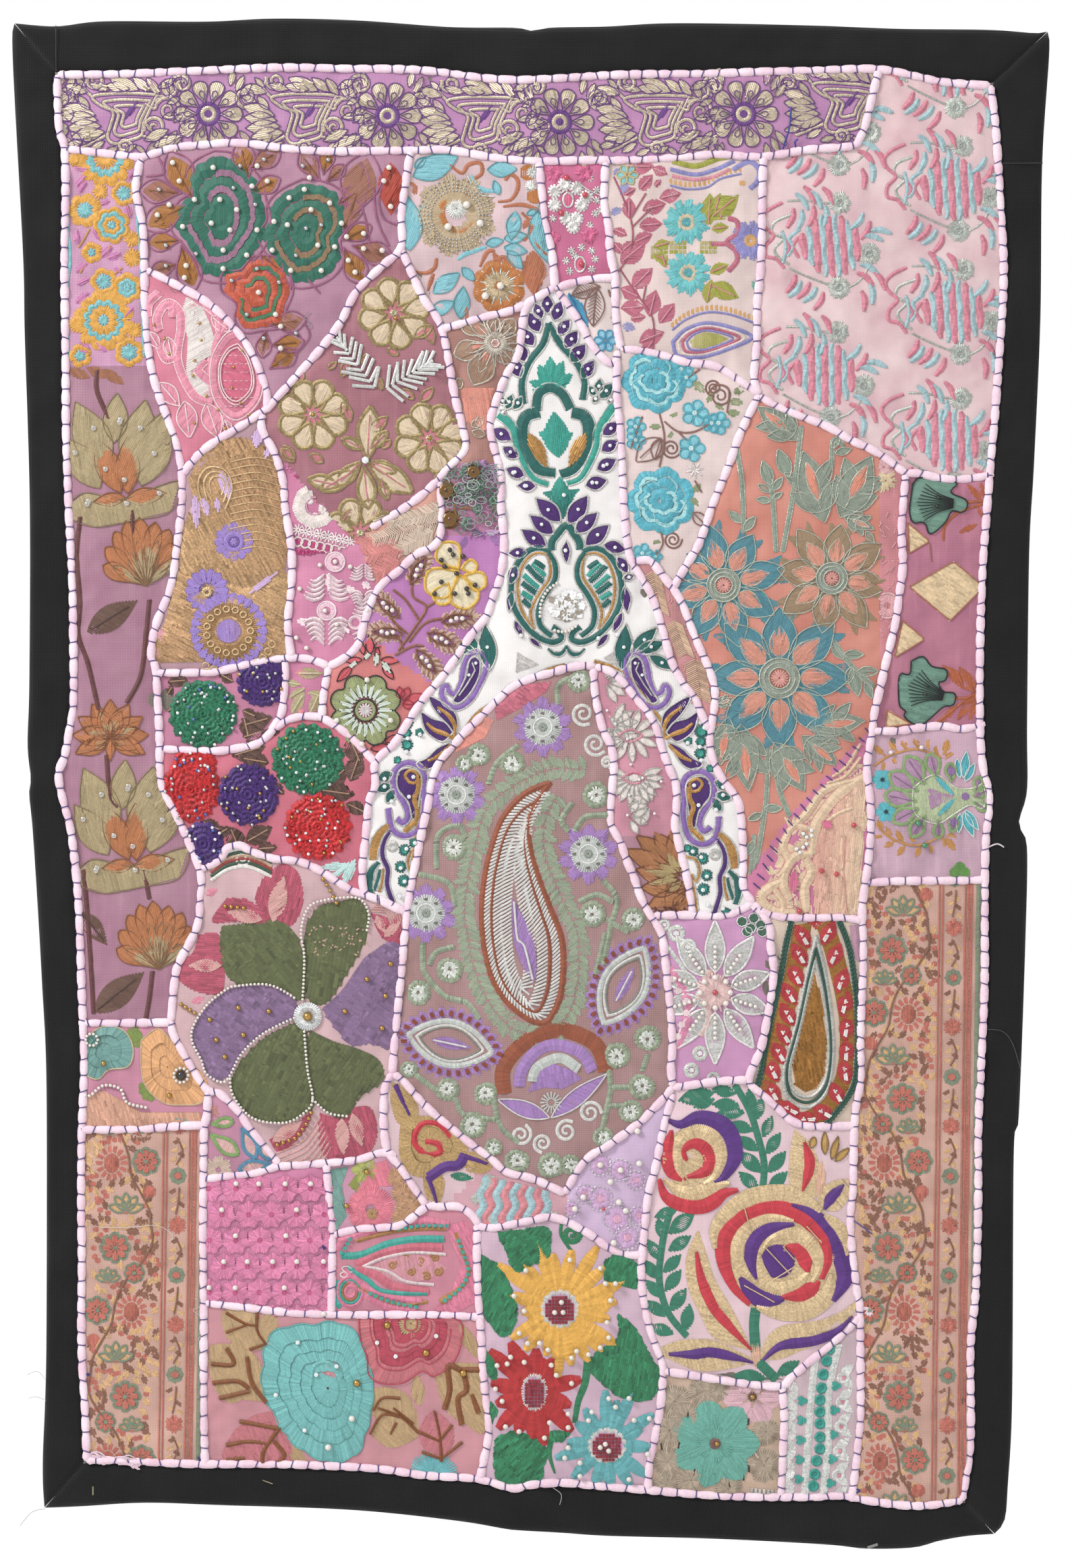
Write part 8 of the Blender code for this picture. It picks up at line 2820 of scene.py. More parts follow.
def sewVine(name, left, top, halves):
    # Each half of the pattern is the mirror of the one above.
    work = Needlework(name)
    coral, sage, cream, brown = "C46A58", "7F8B72", "DBAB74", "8E5E48"
    half, middle = 88.0, 17.2
    taken = []

    def at(x, drop):
        return (left + x - 0.015 * drop, top + drop)

    for turn in range(*halves):
        def place(x, drop):
            return at(2 * middle - x if turn % 2 else x, drop + half * turn)

        stem = [place(*spot) for spot in ((34.4, 28), (35.5, 38), (29, 50), (19, 62), (14, 74), (12, 86),
                                          (6, 97), (1, 107), (0, 116))]
        work.line(stem, brown, width=1.2, smooth=True)
        for x, drop, radius in ((13.5, 41, 9.6), (25, 56, 6.6), (3.4, 78, 8.8)):
            spot = place(x, drop)
            work.flower(*spot, radius, sage, petals=8, fat=0.66, tip=0.5, wide=1.3)
            work.flower(*spot, radius * 0.8, coral, petals=8, fat=0.66, tip=0.6, wide=0.95, lift=0.6)
            work.disc(*spot, 1.2, sage, lift=1)
            taken.append((*spot, radius))
        x, drop = place(23.7, 79)
        for angle in range(0, 360, 26):
            a = math.radians(angle)
            work.leaf(x + 5 * math.cos(a), drop + 6 * math.sin(a), angle, 5, 2.5, coral)
        work.disc(x, drop, 4.4, "B4624F", oval=1.3, stitch=2, vary=0.15)
        taken.append((x, drop, 10))
        for x, drop, reach in ((9.5, 60, 8), (14.9, 107, 11)):
            x, drop = place(x, drop)
            for angle in (-165, -128, -90, -52, -15):
                work.leaf(x, drop, angle, reach, reach * 0.44, cream, edge=sage, edgeWidth=1.3, slant=60)
            work.disc(x, drop, 1.8, coral, lift=0.5)
            taken.append((x, drop - reach * 0.5, reach * 0.8))
        work.disc(*place(1.4, 96), 4, coral, stitch=2, vary=0.15)
        for _ in range(800):
            x, drop = place(rng.uniform(0.5, 39.5), rng.uniform(28, 28 + half))
            if any(math.hypot(x - px, drop - pd) < reach + 1.5 for px, pd, reach in taken[-260:]):
                continue
            if rng.uniform() < 0.3:
                work.disc(x, drop, 1.5, coral, puff=0.6)
                taken.append((x, drop, 0.8))
            else:
                angle = rng.choice((-140, -100, -60, 40, 80, 130)) + rng.uniform(-15, 15)
                a = math.radians(angle)
                work.leaf(x - 2.6 * math.cos(a), drop - 2.6 * math.sin(a), angle, 6.4, 3.0,
                          cream if rng.uniform() < 0.5 else brown, puff=0.6)
                taken.append((x, drop, 1.6))
    low, high = 28 + half * halves[0], 28 + half * halves[1]
    down = np.arange(low, high, 4.0)
    for x in (41.2, 43.2, 56.6, 58.2, 60.4, 68):
        work.line([at(x, d) for d in down], coral, width=0.9)
    work.band([at(64.6, d) for d in down], 2.8, sage, puff=0.4, slant=1.6, smooth=False, spacing=1.0)
    for x in (59.4, 69.4):
        for d in np.arange(low, high, 2.2):
            work.disc(*at(x, d), 0.8, coral)
    for drop in np.arange(27.7 - 3 * 58.8, high, 58.8):
        if drop + 30 < low:
            continue
        work.rays(*at(50, drop), 0.4, 5.4, coral, lobes=6, depth=0.16, vary=0.15)
        work.flower(*at(50, drop + 29.6), 5.2, sage, petals=8, fat=0.66, wide=1.3)
        work.disc(*at(50, drop + 29.6), 2.0, coral, lift=0.6)
        for first, side in ((7, 1), (36.5, -1)):
            twig = [at(50 - side, drop + first), at(51.5 + side, drop + first + 8),
                    at(49, drop + first + 16)]
            work.line(twig, brown, width=1.0, smooth=True)
            for k in range(6):
                spot = at(50 + side * (1 - 0.4 * k), drop + first + 1 + 2.6 * k)
                work.leaf(*spot, 35 if k % 2 else 150, 5.2, 2.5, brown if k % 3 == 0 else cream, puff=0.6)
    work.sew()


def sewMirrorFlower():
    work = Needlework("mirrorFlower")
    teal, peach, green = "6E9F98", "E2A56C", "7F9440"
    work.fill([(-267, 636), (-253, 631), (-242, 637), (-231, 644), (-196, 644), (-194, 653), (-267, 653)],
              "D9A084", angle=75, stitch=4, vary=0.12)
    for points, colour, middle in (
        ([(-265, 601), (-254, 593), (-241, 595), (-235, 606), (-238, 617), (-250, 619), (-257, 625),
          (-267, 618)],
         teal, (-254, 607)),
        ([(-231, 601), (-221, 594), (-213, 601), (-203, 613), (-192, 625), (-194, 638), (-207, 640),
          (-219, 638), (-230, 625)], peach, (-215, 617)),
    ):
        outline = smoothLine([*points, points[0]], 0.9)[:-1]
        middle = np.array(middle, float)
        for outer, inner in ((1.0, 0.62), (0.66, 0.3), (0.34, 0.02)):
            work.petalRing(outline, middle, outer, inner, colour, 0.14)
        work.line(middle + (outline - middle) * 0.98, "CDB28A", width=0.8, closed=True)
    work.beadLine([(-266, 633), (-261, 634), (-253, 628), (-243, 630), (-239, 638), (-228, 641)],
                  "whiteBead", 1.1, spacing=2.4, smooth=True, out=1.3)
    work.beadLine(ringShape(3.6) + (-260, 601), "whiteBead", 1.0, closed=True, spacing=2.2, out=1.8)
    work.beadLine(ringShape(4.2) + (-207, 622), "whiteBead", 1.1, closed=True, spacing=2.4, out=1.8)
    work.bead([(-207, 622)], "blackBead", 3.0, out=1.6)
    work.bead([(-253, 615), (-214, 634)], "goldBead", 1.7, out=1.8)
    for x, drop in ((-235, 598), (-226, 633), (-234, 601), (-228, 630), (-224, 629)):
        work.flower(x, drop, 5, green, petals=5, fat=0.6)
    work.band([(-215, 651), (-209, 648), (-201, 651)], 3.4, teal)
    leaves = Needlework("blueLeaves")
    for root, tip, edge in (((-189, 651), (-176, 649), "7FA05A"), ((-190, 657), (-173, 669), "7FA05A"),
                            ((-171, 653), (-163, 671), "4C88A8"), ((-154, 674), (-173, 678), "4C88A8"),
                            ((-162, 659), (-154, 672), "4C88A8")):
        leaves.leaves([(*root, *tip)], 0.4, "DFB0A8", edge=edge, edgeWidth=2.2, slant=70, fat=0.6)
    leaves.rays(-185, 678, 2, 9, "CDB2A0", uneven=0.3)
    leaves.leaves([(-190, 644, -185, 640), (-185, 647, -189, 641)], 3, "C98A80")
    work.sew()
    leaves.sew()


def sewScallopRows():
    work = Needlework("scallopRows")
    pink, deep = "E884B0", "CE5688"
    for row in range(9):
        for column in range(6):
            x, drop = -190 + 14.9 * column + 7.4 * (row % 2) + rng.uniform(-0.8, 0.8), 686 + 15.4 * row
            if row == 8 or column == 5 and row % 2:
                continue
            for a in np.linspace(0, 2, 44, endpoint=False) * math.pi:
                way, reach = np.array((math.cos(a), math.sin(a))), 7.6 + 0.7 * math.sin(7 * a)
                work.line([way * 1.6 + (x, drop + 3), way * reach + (x, drop + 3)], pink, width=1.0,
                          step=3.2, out=0.7, vary=0.13)
            work.disc(x, drop + 3, 1.6, deep, lift=0.8)
            if rng.uniform() < 0.4:
                work.bead([(x, drop)], "pearl", 1.7, out=2)
    work.sew()


for sewing in (sewOval, sewOvalSide, sewSilverStar, sewTeardrop, sewBigFlower, sewMirrorFlower,
               sewScallopRows):
    sewing()
sewVine("rightVine", 201, 507, (-1, 4))
sewVine("leftVine", -259, 683, (-2, 2))
print("lower part sewn")


def checkCore(work, x, drop, across, high):
    # A woven-looking seed head: dark squares on pale ground with a silver rim.
    work.rays(x, drop, across * 0.8, across * 1.22, "D2CEC8", width=0.8, oval=high / across, lobes=14,
              depth=0.12, lift=0.8)
    work.disc(x, drop, across, "C99ABC", oval=high / across, lift=1.0, puff=0)
    for dx in np.arange(-across, across, 1.9):
        for dd in np.arange(-high, high, 2.1):
            if (dx / across) ** 2 + (dd / high) ** 2 < 0.9:
                work.line([(x + dx, drop + dd), (x + dx, drop + dd + 1.7)], "941C2C", width=1.7, out=1.5,
                          vary=0.15)


def fingerFlower(work, x, drop, reach, colour, tips, across, high, wide=6.2):
    work.disc(x, drop, reach, colour, stitch=3, vary=0.1, puff=0.8, oval=high / across)
    for tx, td in tips:
        toward = np.array((tx - x, td - drop))
        root = np.array((x, drop)) + toward * 0.35
        work.band([root, root * 0.5 + np.array((tx, td)) * 0.5, (tx, td)], wide, colour, spacing=1.0,
                  puff=0.9, taper=(1, 1, 1.08, 0.95, 0.5))
    checkCore(work, x, drop, across, high)


def fleece(work, points, colour, angle):
    shape = smoothLine([*points, points[0]], 2.0)[:-1]
    shape = shape + rng.normal(0, 0.35, shape.shape)
    work.fill(shape, colour, angle=angle, stitch=3.4, width=0.9, vary=0.13, puff=0.9)
    work.fill(shape, colour, angle=angle + 55, stitch=2.6, width=1.0, vary=0.22, puff=0.9, lift=0.35)


def sewSunflower():
    work = Needlework("sunflower")
    green, yellow, red, blue = "257F52", "EDB038", "BE2024", "5FAFB4"
    for points, angle in (
        ([(-20, 714), (-5, 713), (10, 712), (11, 728), (0, 735), (-9, 738), (-14, 728)], 80),
        ([(-30, 728), (-19, 734), (-13, 744), (-8, 761), (-14, 776), (-23, 771), (-30, 756)], 60),
        ([(44, 731), (55, 727), (66, 740), (64, 748), (53, 747), (43, 742)], 60),
        ([(51, 763), (61, 771), (72, 790), (77, 800), (73, 812), (65, 815), (50, 811),
          (35, 796), (38, 786), (51, 778)], 45),
        ([(-21, 836), (-8, 832), (9, 842), (7, 855), (4, 863), (-16, 864), (-22, 853)], 80),
        ([(-28, 784), (-22, 789), (-20, 802), (-26, 798)], 80), ([(-27, 813), (-20, 820), (-26, 832)], 50),
        ([(11, 832), (23, 833), (19, 838), (12, 838)], 20),
    ):
        fleece(work, points, green, angle)
    work.band([(34, 789), (32, 804), (28, 815), (26, 827)], 5, green, taper=(1, 0.6))
    work.band([(12, 836), (11, 846), (14, 857)], 4, green, taper=(1, 0.3))
    work.band([(18, 710), (18, 717), (24, 726)], 2, green)
    work.spiral(24, 716, 5.4, green, turns=1.3, wide=3.4)
    fingerFlower(work, 17, 760, 20, yellow, (
        (-19, 734), (-4, 734), (4, 721), (13, 728), (24, 726), (39, 724), (43, 736),
        (55, 744), (50, 756), (46, 766), (51, 782), (42, 785), (34, 791), (24, 793),
        (16, 800), (9, 787), (-3, 784), (-11, 777), (-5, 762), (-12, 752)), 9.6, 9.6, 7.4)
    work.leaves([(27, 765, 49, 750)], 17, yellow, stitch=3, fat=0.5)
    fingerFlower(work, 2, 809, 15, red, (
        (-12, 780), (3, 784), (-24, 785), (-23, 804), (13, 790), (29, 802), (24, 832),
        (8, 840), (-8, 833), (-19, 830), (-20, 816), (23, 817), (1, 836), (-6, 786)), 6.6, 9.6, 8.6)
    fingerFlower(work, 45, 841, 16, blue, (
        (44, 809), (60, 810), (72, 823), (32, 820), (15, 848), (22, 839), (25, 860),
        (38, 865), (47, 867), (59, 865), (68, 859), (71, 842), (51, 815), (27, 828),
        (65, 832)), 9.6, 9.0, 7.0)
    work.bead([
        (23, 731), (41, 736), (44, 745), (50, 745), (47, 755), (45, 768), (46, 777),
        (41, 783), (34, 787), (27, 785), (24, 789), (10, 784), (5, 780), (-2, 780),
        (-7, 774), (-4, 761), (-10, 752), (-3, 737), (15, 799), (-12, 788), (-20, 793),
        (-14, 792), (-4, 791), (12, 793), (-21, 807), (-17, 814), (-15, 829), (-7, 832),
        (11, 827), (22, 822), (24, 804), (22, 830), (8, 836), (46, 813), (58, 813),
        (50, 818), (36, 821), (34, 826), (22, 842), (20, 848), (29, 851), (29, 859),
        (58, 861), (69, 846), (70, 825), (61, 826), (41, 842), (44, 840),
        (46, 844), (18, 756), (19, 762), (14, 762)], "whiteBead", 1.7, out=2.6)
    work.sew()


roseLeaf = {"vein": "8A4E1E", "blush": "C9747C"}


def veinLeaf(work, leaves, colour, veins):
    work.leaves(leaves, 0.62, colour, slant=35, fat=0.55, tip=0.8, stitch=5)
    for line in veins:
        work.band(line, 2.2, roseLeaf["vein"], puff=0.9, taper=(0.9, 0.6), lift=0.5)


def sewRedRose():
    work = Needlework("redRose")
    tan, pink, deep, blue = "C09E70", "CD7078", "BF4056", "72BEBB"
    veinLeaf(work, [(-153, 784, -183, 762), (-155, 778, -155, 761)], tan, [
        [(-162, 763), (-162, 773), (-157, 781)], [(-180, 763), (-169, 769), (-163, 770)],
        [(-180, 774), (-169, 770)], [(-166, 784), (-157, 781)]])
    ribs = [
        [(-168, 789), (-165, 804), (-157, 815)],
        [(-180, 784), (-176, 793), (-189, 793)],
        [(-188, 804), (-174, 803), (-167, 807)],
        [(-184, 813), (-167, 809)],
    ]
    veinLeaf(work, [(-156, 815, -190, 782)], tan, ribs)
    work.fill(leafShape(25, 30, fat=0.5, tip=0.6)[0] + (-189, 801), tan, angle=60, stitch=5)
    for line in ribs:
        work.band(line, 2.6, roseLeaf["vein"], puff=0.9, lift=0.8)
    work.fill(smoothLine([(-154, 821), (-144, 832), (-142, 853), (-180, 852), (-179, 838),
                          (-167, 825), (-154, 821)], 2)[:-1], roseLeaf["blush"], angle=70, stitch=5)
    for line in ([(-172, 827), (-161, 829), (-150, 831)], [(-149, 831), (-158, 844), (-159, 852)],
                 [(-180, 841), (-167, 839), (-158, 840)], [(-180, 850), (-170, 849)],
                 [(-152, 839), (-146, 847), (-150, 852)]):
        work.band(line, 2.6, roseLeaf["vein"], puff=0.9, lift=0.5)
    work.fill([(-142, 835), (-132, 851), (-143, 853)], tan, angle=60)
    veinLeaf(work, [(-67, 836, -93, 807), (-67, 836, -95, 832)], tan, [
        [(-67, 833), (-77, 824), (-90, 819)], [(-78, 813), (-88, 813), (-93, 820)],
        [(-77, 824), (-88, 823), (-95, 834)], [(-80, 828), (-83, 834)], [(-70, 828), (-81, 819)]])
    veinLeaf(work, [(-53, 853, -58, 820)], roseLeaf["blush"], [
        [(-53, 850), (-54, 835), (-57, 821)], [(-66, 833), (-55, 838)], [(-64, 845), (-53, 849)],
        [(-41, 839), (-53, 849)], [(-47, 829), (-54, 838)]])
    work.fill(smoothLine([(-57, 800), (-49, 793), (-39, 792), (-27, 797), (-27, 832), (-39, 828),
                          (-51, 819), (-57, 800)], 2)[:-1], tan, angle=55, stitch=5)
    for line in ([(-51, 819), (-48, 808), (-49, 794), (-42, 796)], [(-40, 797), (-38, 808),
                 (-43, 813), (-41, 828)], [(-31, 796), (-40, 796)], [(-35, 811), (-31, 821)]):
        work.band(line, 3.4, roseLeaf["vein"], puff=0.9, lift=0.5)
    work.leaves([(-66, 818, -68, 798), (-45, 767, -28, 792)], 8, tan, slant=20)
    rose = smoothLine([(-102, 766), (-101, 778), (-97, 789), (-96, 799), (-89, 804), (-76, 804), (-64, 797),
                       (-57, 800), (-46, 792), (-41, 779), (-44, 766), (-73, 765), (-102, 766)], 0.9)[:-1]
    middle = np.array((-72, 767), float)
    for outer, inner, colour in ((1.0, 0.72, pink), (0.78, 0.5, deep), (0.56, 0.36, pink),
                                 (0.42, 0.22, deep)):
        rim = work.petalRing(rose, middle, outer, inner, colour, 0.1)
        work.line(rim, deep, width=0.8, closed=True, out=1.0)
    work.rays(-71, 769, 0.5, 8.4, tan, lobes=6, depth=0.2, lift=0.6)
    work.line(ringShape(4.4, lobes=4, depth=0.15) + (-71, 769), deep, width=0.9, closed=True, out=1.4)
    blob = smoothLine([(-143, 771), (-128, 770), (-115, 769), (-103, 776), (-98, 790), (-94, 804),
                       (-95, 819), (-98, 832), (-104, 846), (-119, 850), (-134, 844), (-145, 834),
                       (-152, 821), (-158, 809), (-158, 796), (-155, 778), (-143, 771)], 0.8)[:-1]
    middle = np.array((-120, 807), float)
    blob = middle + (blob - middle) * (1 + 0.04 * np.abs(np.sin(np.arange(len(blob)) * 0.17)))[:, None]
    for outer, inner in ((1.0, 0.76), (0.82, 0.58), (0.66, 0.42), (0.5, 0.26), (0.34, 0.02)):
        rim = work.petalRing(blob, middle, outer, inner, blue, 0.12, width=1.2, out=1.1)
        work.line(rim, "5FB0AE", width=0.8, closed=True, out=0.6)
    work.fill(leafShape(17, 11, fat=0.5)[0] + (-127, 796), "C98C94", angle=50, stitch=3, lift=0.5)
    work.band([(-130, 805), (-128, 794), (-120, 792), (-112, 800)], 3.4, blue, puff=1.0, lift=0.6)
    work.bead([(-138, 780), (-127, 799), (-115, 794), (-151, 811), (-134, 832), (-56, 776), (-91, 780),
               (-80, 788)], "stone", 1.6, out=1.6)
    work.bead([(-85, 770), (-62, 786), (-40, 798), (-103, 804)], "goldBead", 2.4, out=1.6)
    work.bead([(-106, 825), (-120, 842)], "pearl", 2.0, out=1.6)
    work.rays(-58, 859, 1, 15, "66B6BC", lobes=9, depth=0.1)
    work.sew()


def sewTealPaisley():
    work = Needlework("tealPaisley")
    pink, teal, gold, pale = "E27C9A", "33A99B", "B07A3E", "E8D4D4"
    work.fill([(-49, 711), (-39, 708), (-32, 717), (-32, 756), (-45, 763), (-57, 761), (-46, 747),
               (-41, 735), (-47, 721)], pink, angle=65, stitch=4, vary=0.1)
    for line, colour, wide in (
        ([(-113, 720), (-99, 715), (-83, 710), (-65, 708), (-49, 711)], pink, 5.6),
        ([(-103, 720), (-83, 715), (-65, 713), (-51, 713)], gold, 2.4),
        ([(-112, 729), (-100, 728), (-85, 722), (-68, 719), (-52, 719)], teal, 4.2),
        ([(-103, 734), (-91, 728), (-73, 724), (-53, 724)], "D2687C", 5.0),
        ([(-99, 735), (-87, 730), (-70, 727), (-51, 728)], pale, 1.8),
        ([(-99, 735), (-85, 738), (-74, 744), (-58, 746)], pale, 1.8),
        ([(-103, 736), (-92, 740), (-81, 747), (-61, 750)], "D2687C", 5.0),
        ([(-108, 736), (-97, 743), (-87, 750), (-62, 751)], teal, 3.0),
        ([(-109, 738), (-99, 747), (-85, 753), (-65, 756)], pink, 4.4),
        ([(-103, 747), (-89, 754), (-76, 758), (-62, 756)], gold, 2.4),
        ([(-109, 743), (-97, 752), (-84, 759), (-68, 761)], pink, 4.6),
        ([(-45, 716), (-40, 728), (-37, 740), (-43, 749), (-53, 756)], gold, 4.4),
    ):
        work.band(line, wide, colour, puff=0.8, spacing=0.85)
    for line in ([(-78, 713), (-65, 711), (-50, 711)], [(-43, 720), (-40, 728), (-37, 739), (-43, 749),
                 (-51, 755)], [(-95, 751), (-83, 756), (-68, 759)], [(-112, 727), (-107, 719)]):
        for spot in smoothLine(line, 3.6):
            work.disc(*spot, 1.2, teal, lift=1.2)
    work.fill(leafShape(46, 17, fat=0.5, tip=0.9)[0] + (-95, 736), "D9939F", angle=80, high=0.15, puff=0.1)
    for x, drop in ((-82, 734), (-74, 731), (-65, 732), (-57, 730), (-71, 738), (-62, 741), (-55, 738)):
        work.spiral(x, drop, 2.6, gold, turns=1.3, wide=1.5, start=rng.uniform(0, 360))
    work.band([(-115, 725), (-112, 721), (-103, 715)], 4, pink)
    work.band([(-115, 744), (-116, 754), (-113, 759)], 3.6, teal)
    for size, colour, wide in ((6.8, teal, 2.2), (5.2, gold, 1.4), (3.4, pink, 2.4), (8.6, pink, 2.4)):
        work.band(ringShape(size) * (0.85, 1) + (-107, 750), wide, colour, closed=True, puff=0.8)
    work.leaves([(-112, 736, -105, 738), (-113, 740, -108, 740)], 3.6, pink, edge=pale)
    work.sew()


def sewBeigeFlower():
    work = Needlework("beigeFlower")
    beige, teal, pale = "AE9C86", "66AF9E", "DFB0BC"
    for x, drop, radius in ((85, 815, 11), (103, 809, 11), (82, 832, 11), (81, 851, 10),
                            (80, 865, 9), (95, 862, 10), (139, 833, 9), (138, 853, 11), (117, 867, 9),
                            (110, 807, 9), (92, 824, 10)):
        work.rays(x, drop, 0.6, radius, beige, uneven=0.1, lobes=5, depth=0.12, vary=0.13, puff=0.7)
    work.flower(131, 813, 18, pale, petals=6, wide=1.1, fat=0.6)
    work.rays(131, 812, 0.4, 2.8, "6A4A3C", lift=1)
    work.flower(109, 840, 27, teal, petals=7, wide=1.16, fat=0.6, lift=0.6)
    work.rays(109, 840, 2, 11, teal, lobes=6, depth=0.2, lift=1)
    work.rays(109, 840, 0.4, 3.4, "8A5A58", lift=1.6)
    work.bead([(110, 840), (131, 812)], "goldBead", 1.6, out=2.6)
    for x, drop in ((93, 821), (77, 840), (88, 839), (129, 825), (129, 853), (117, 862),
                    (97, 855), (126, 858)):
        work.line([(x, drop), (x + rng.uniform(-1, 1), drop + 4)], "37302E", width=1.0, out=0.6)
    for k in range(9):
        work.line([(130, 867), (147, 868)] + np.array((0, 0.6)) * k, "D8D6D2", width=0.6, gap=0.4,
                  metal=True)
    work.sew()


def sewTealTrim():
    work = Needlework("tealTrim")
    teal, silver = "2EA394", "E0E0DC"
    for line in ([(169, 784), (166, 811), (164, 838), (162, 870)], [(182, 782), (176, 811),
                 (176, 838), (173, 870)]):
        work.band(line, 4.4, silver, metal=True, slant=1.4, puff=0.9, spacing=1.0)
    for x, drop in ((177, 784), (175, 791), (173, 799), (172, 807), (171, 814), (171, 821), (171, 828),
                    (171, 836), (171, 843), (169, 850), (168, 858), (167, 865)):
        work.rays(x, drop, 1.4, 3.4, teal, puff=0.9)
        work.spiral(x, drop, 1.7, teal, turns=1.4, wide=1.0)
    for k in range(6):
        left = np.array((155, 809)) + (-0.5 * k, 11.6 * k)
        right = np.array((186, 800)) + (-0.8 * k, 14.4 * k)
        for spot, side, reach in ((left, 1, 10), (right, -1, 11)):
            for lean in (-38, 38):
                work.leaf(spot[0] + side * 3.6, spot[1], 90 + side * (90 + lean), reach, 5.6, silver,
                          metal=True, fat=0.5, slant=70)
            for turn in (0, 120, 240):
                a = math.radians(turn)
                work.disc(spot[0] + side * 5.6 + 1.5 * math.cos(a), spot[1] + 5.6 + 1.5 * math.sin(a), 1.5,
                          teal, lift=0.6)
        work.rays(right[0] - 1, right[1] + 1, 2, 4, silver, metal=True, width=0.6)
        work.disc(right[0] - 1, right[1] + 1, 1.3, "D88C9C", lift=0.5)
    work.sew()


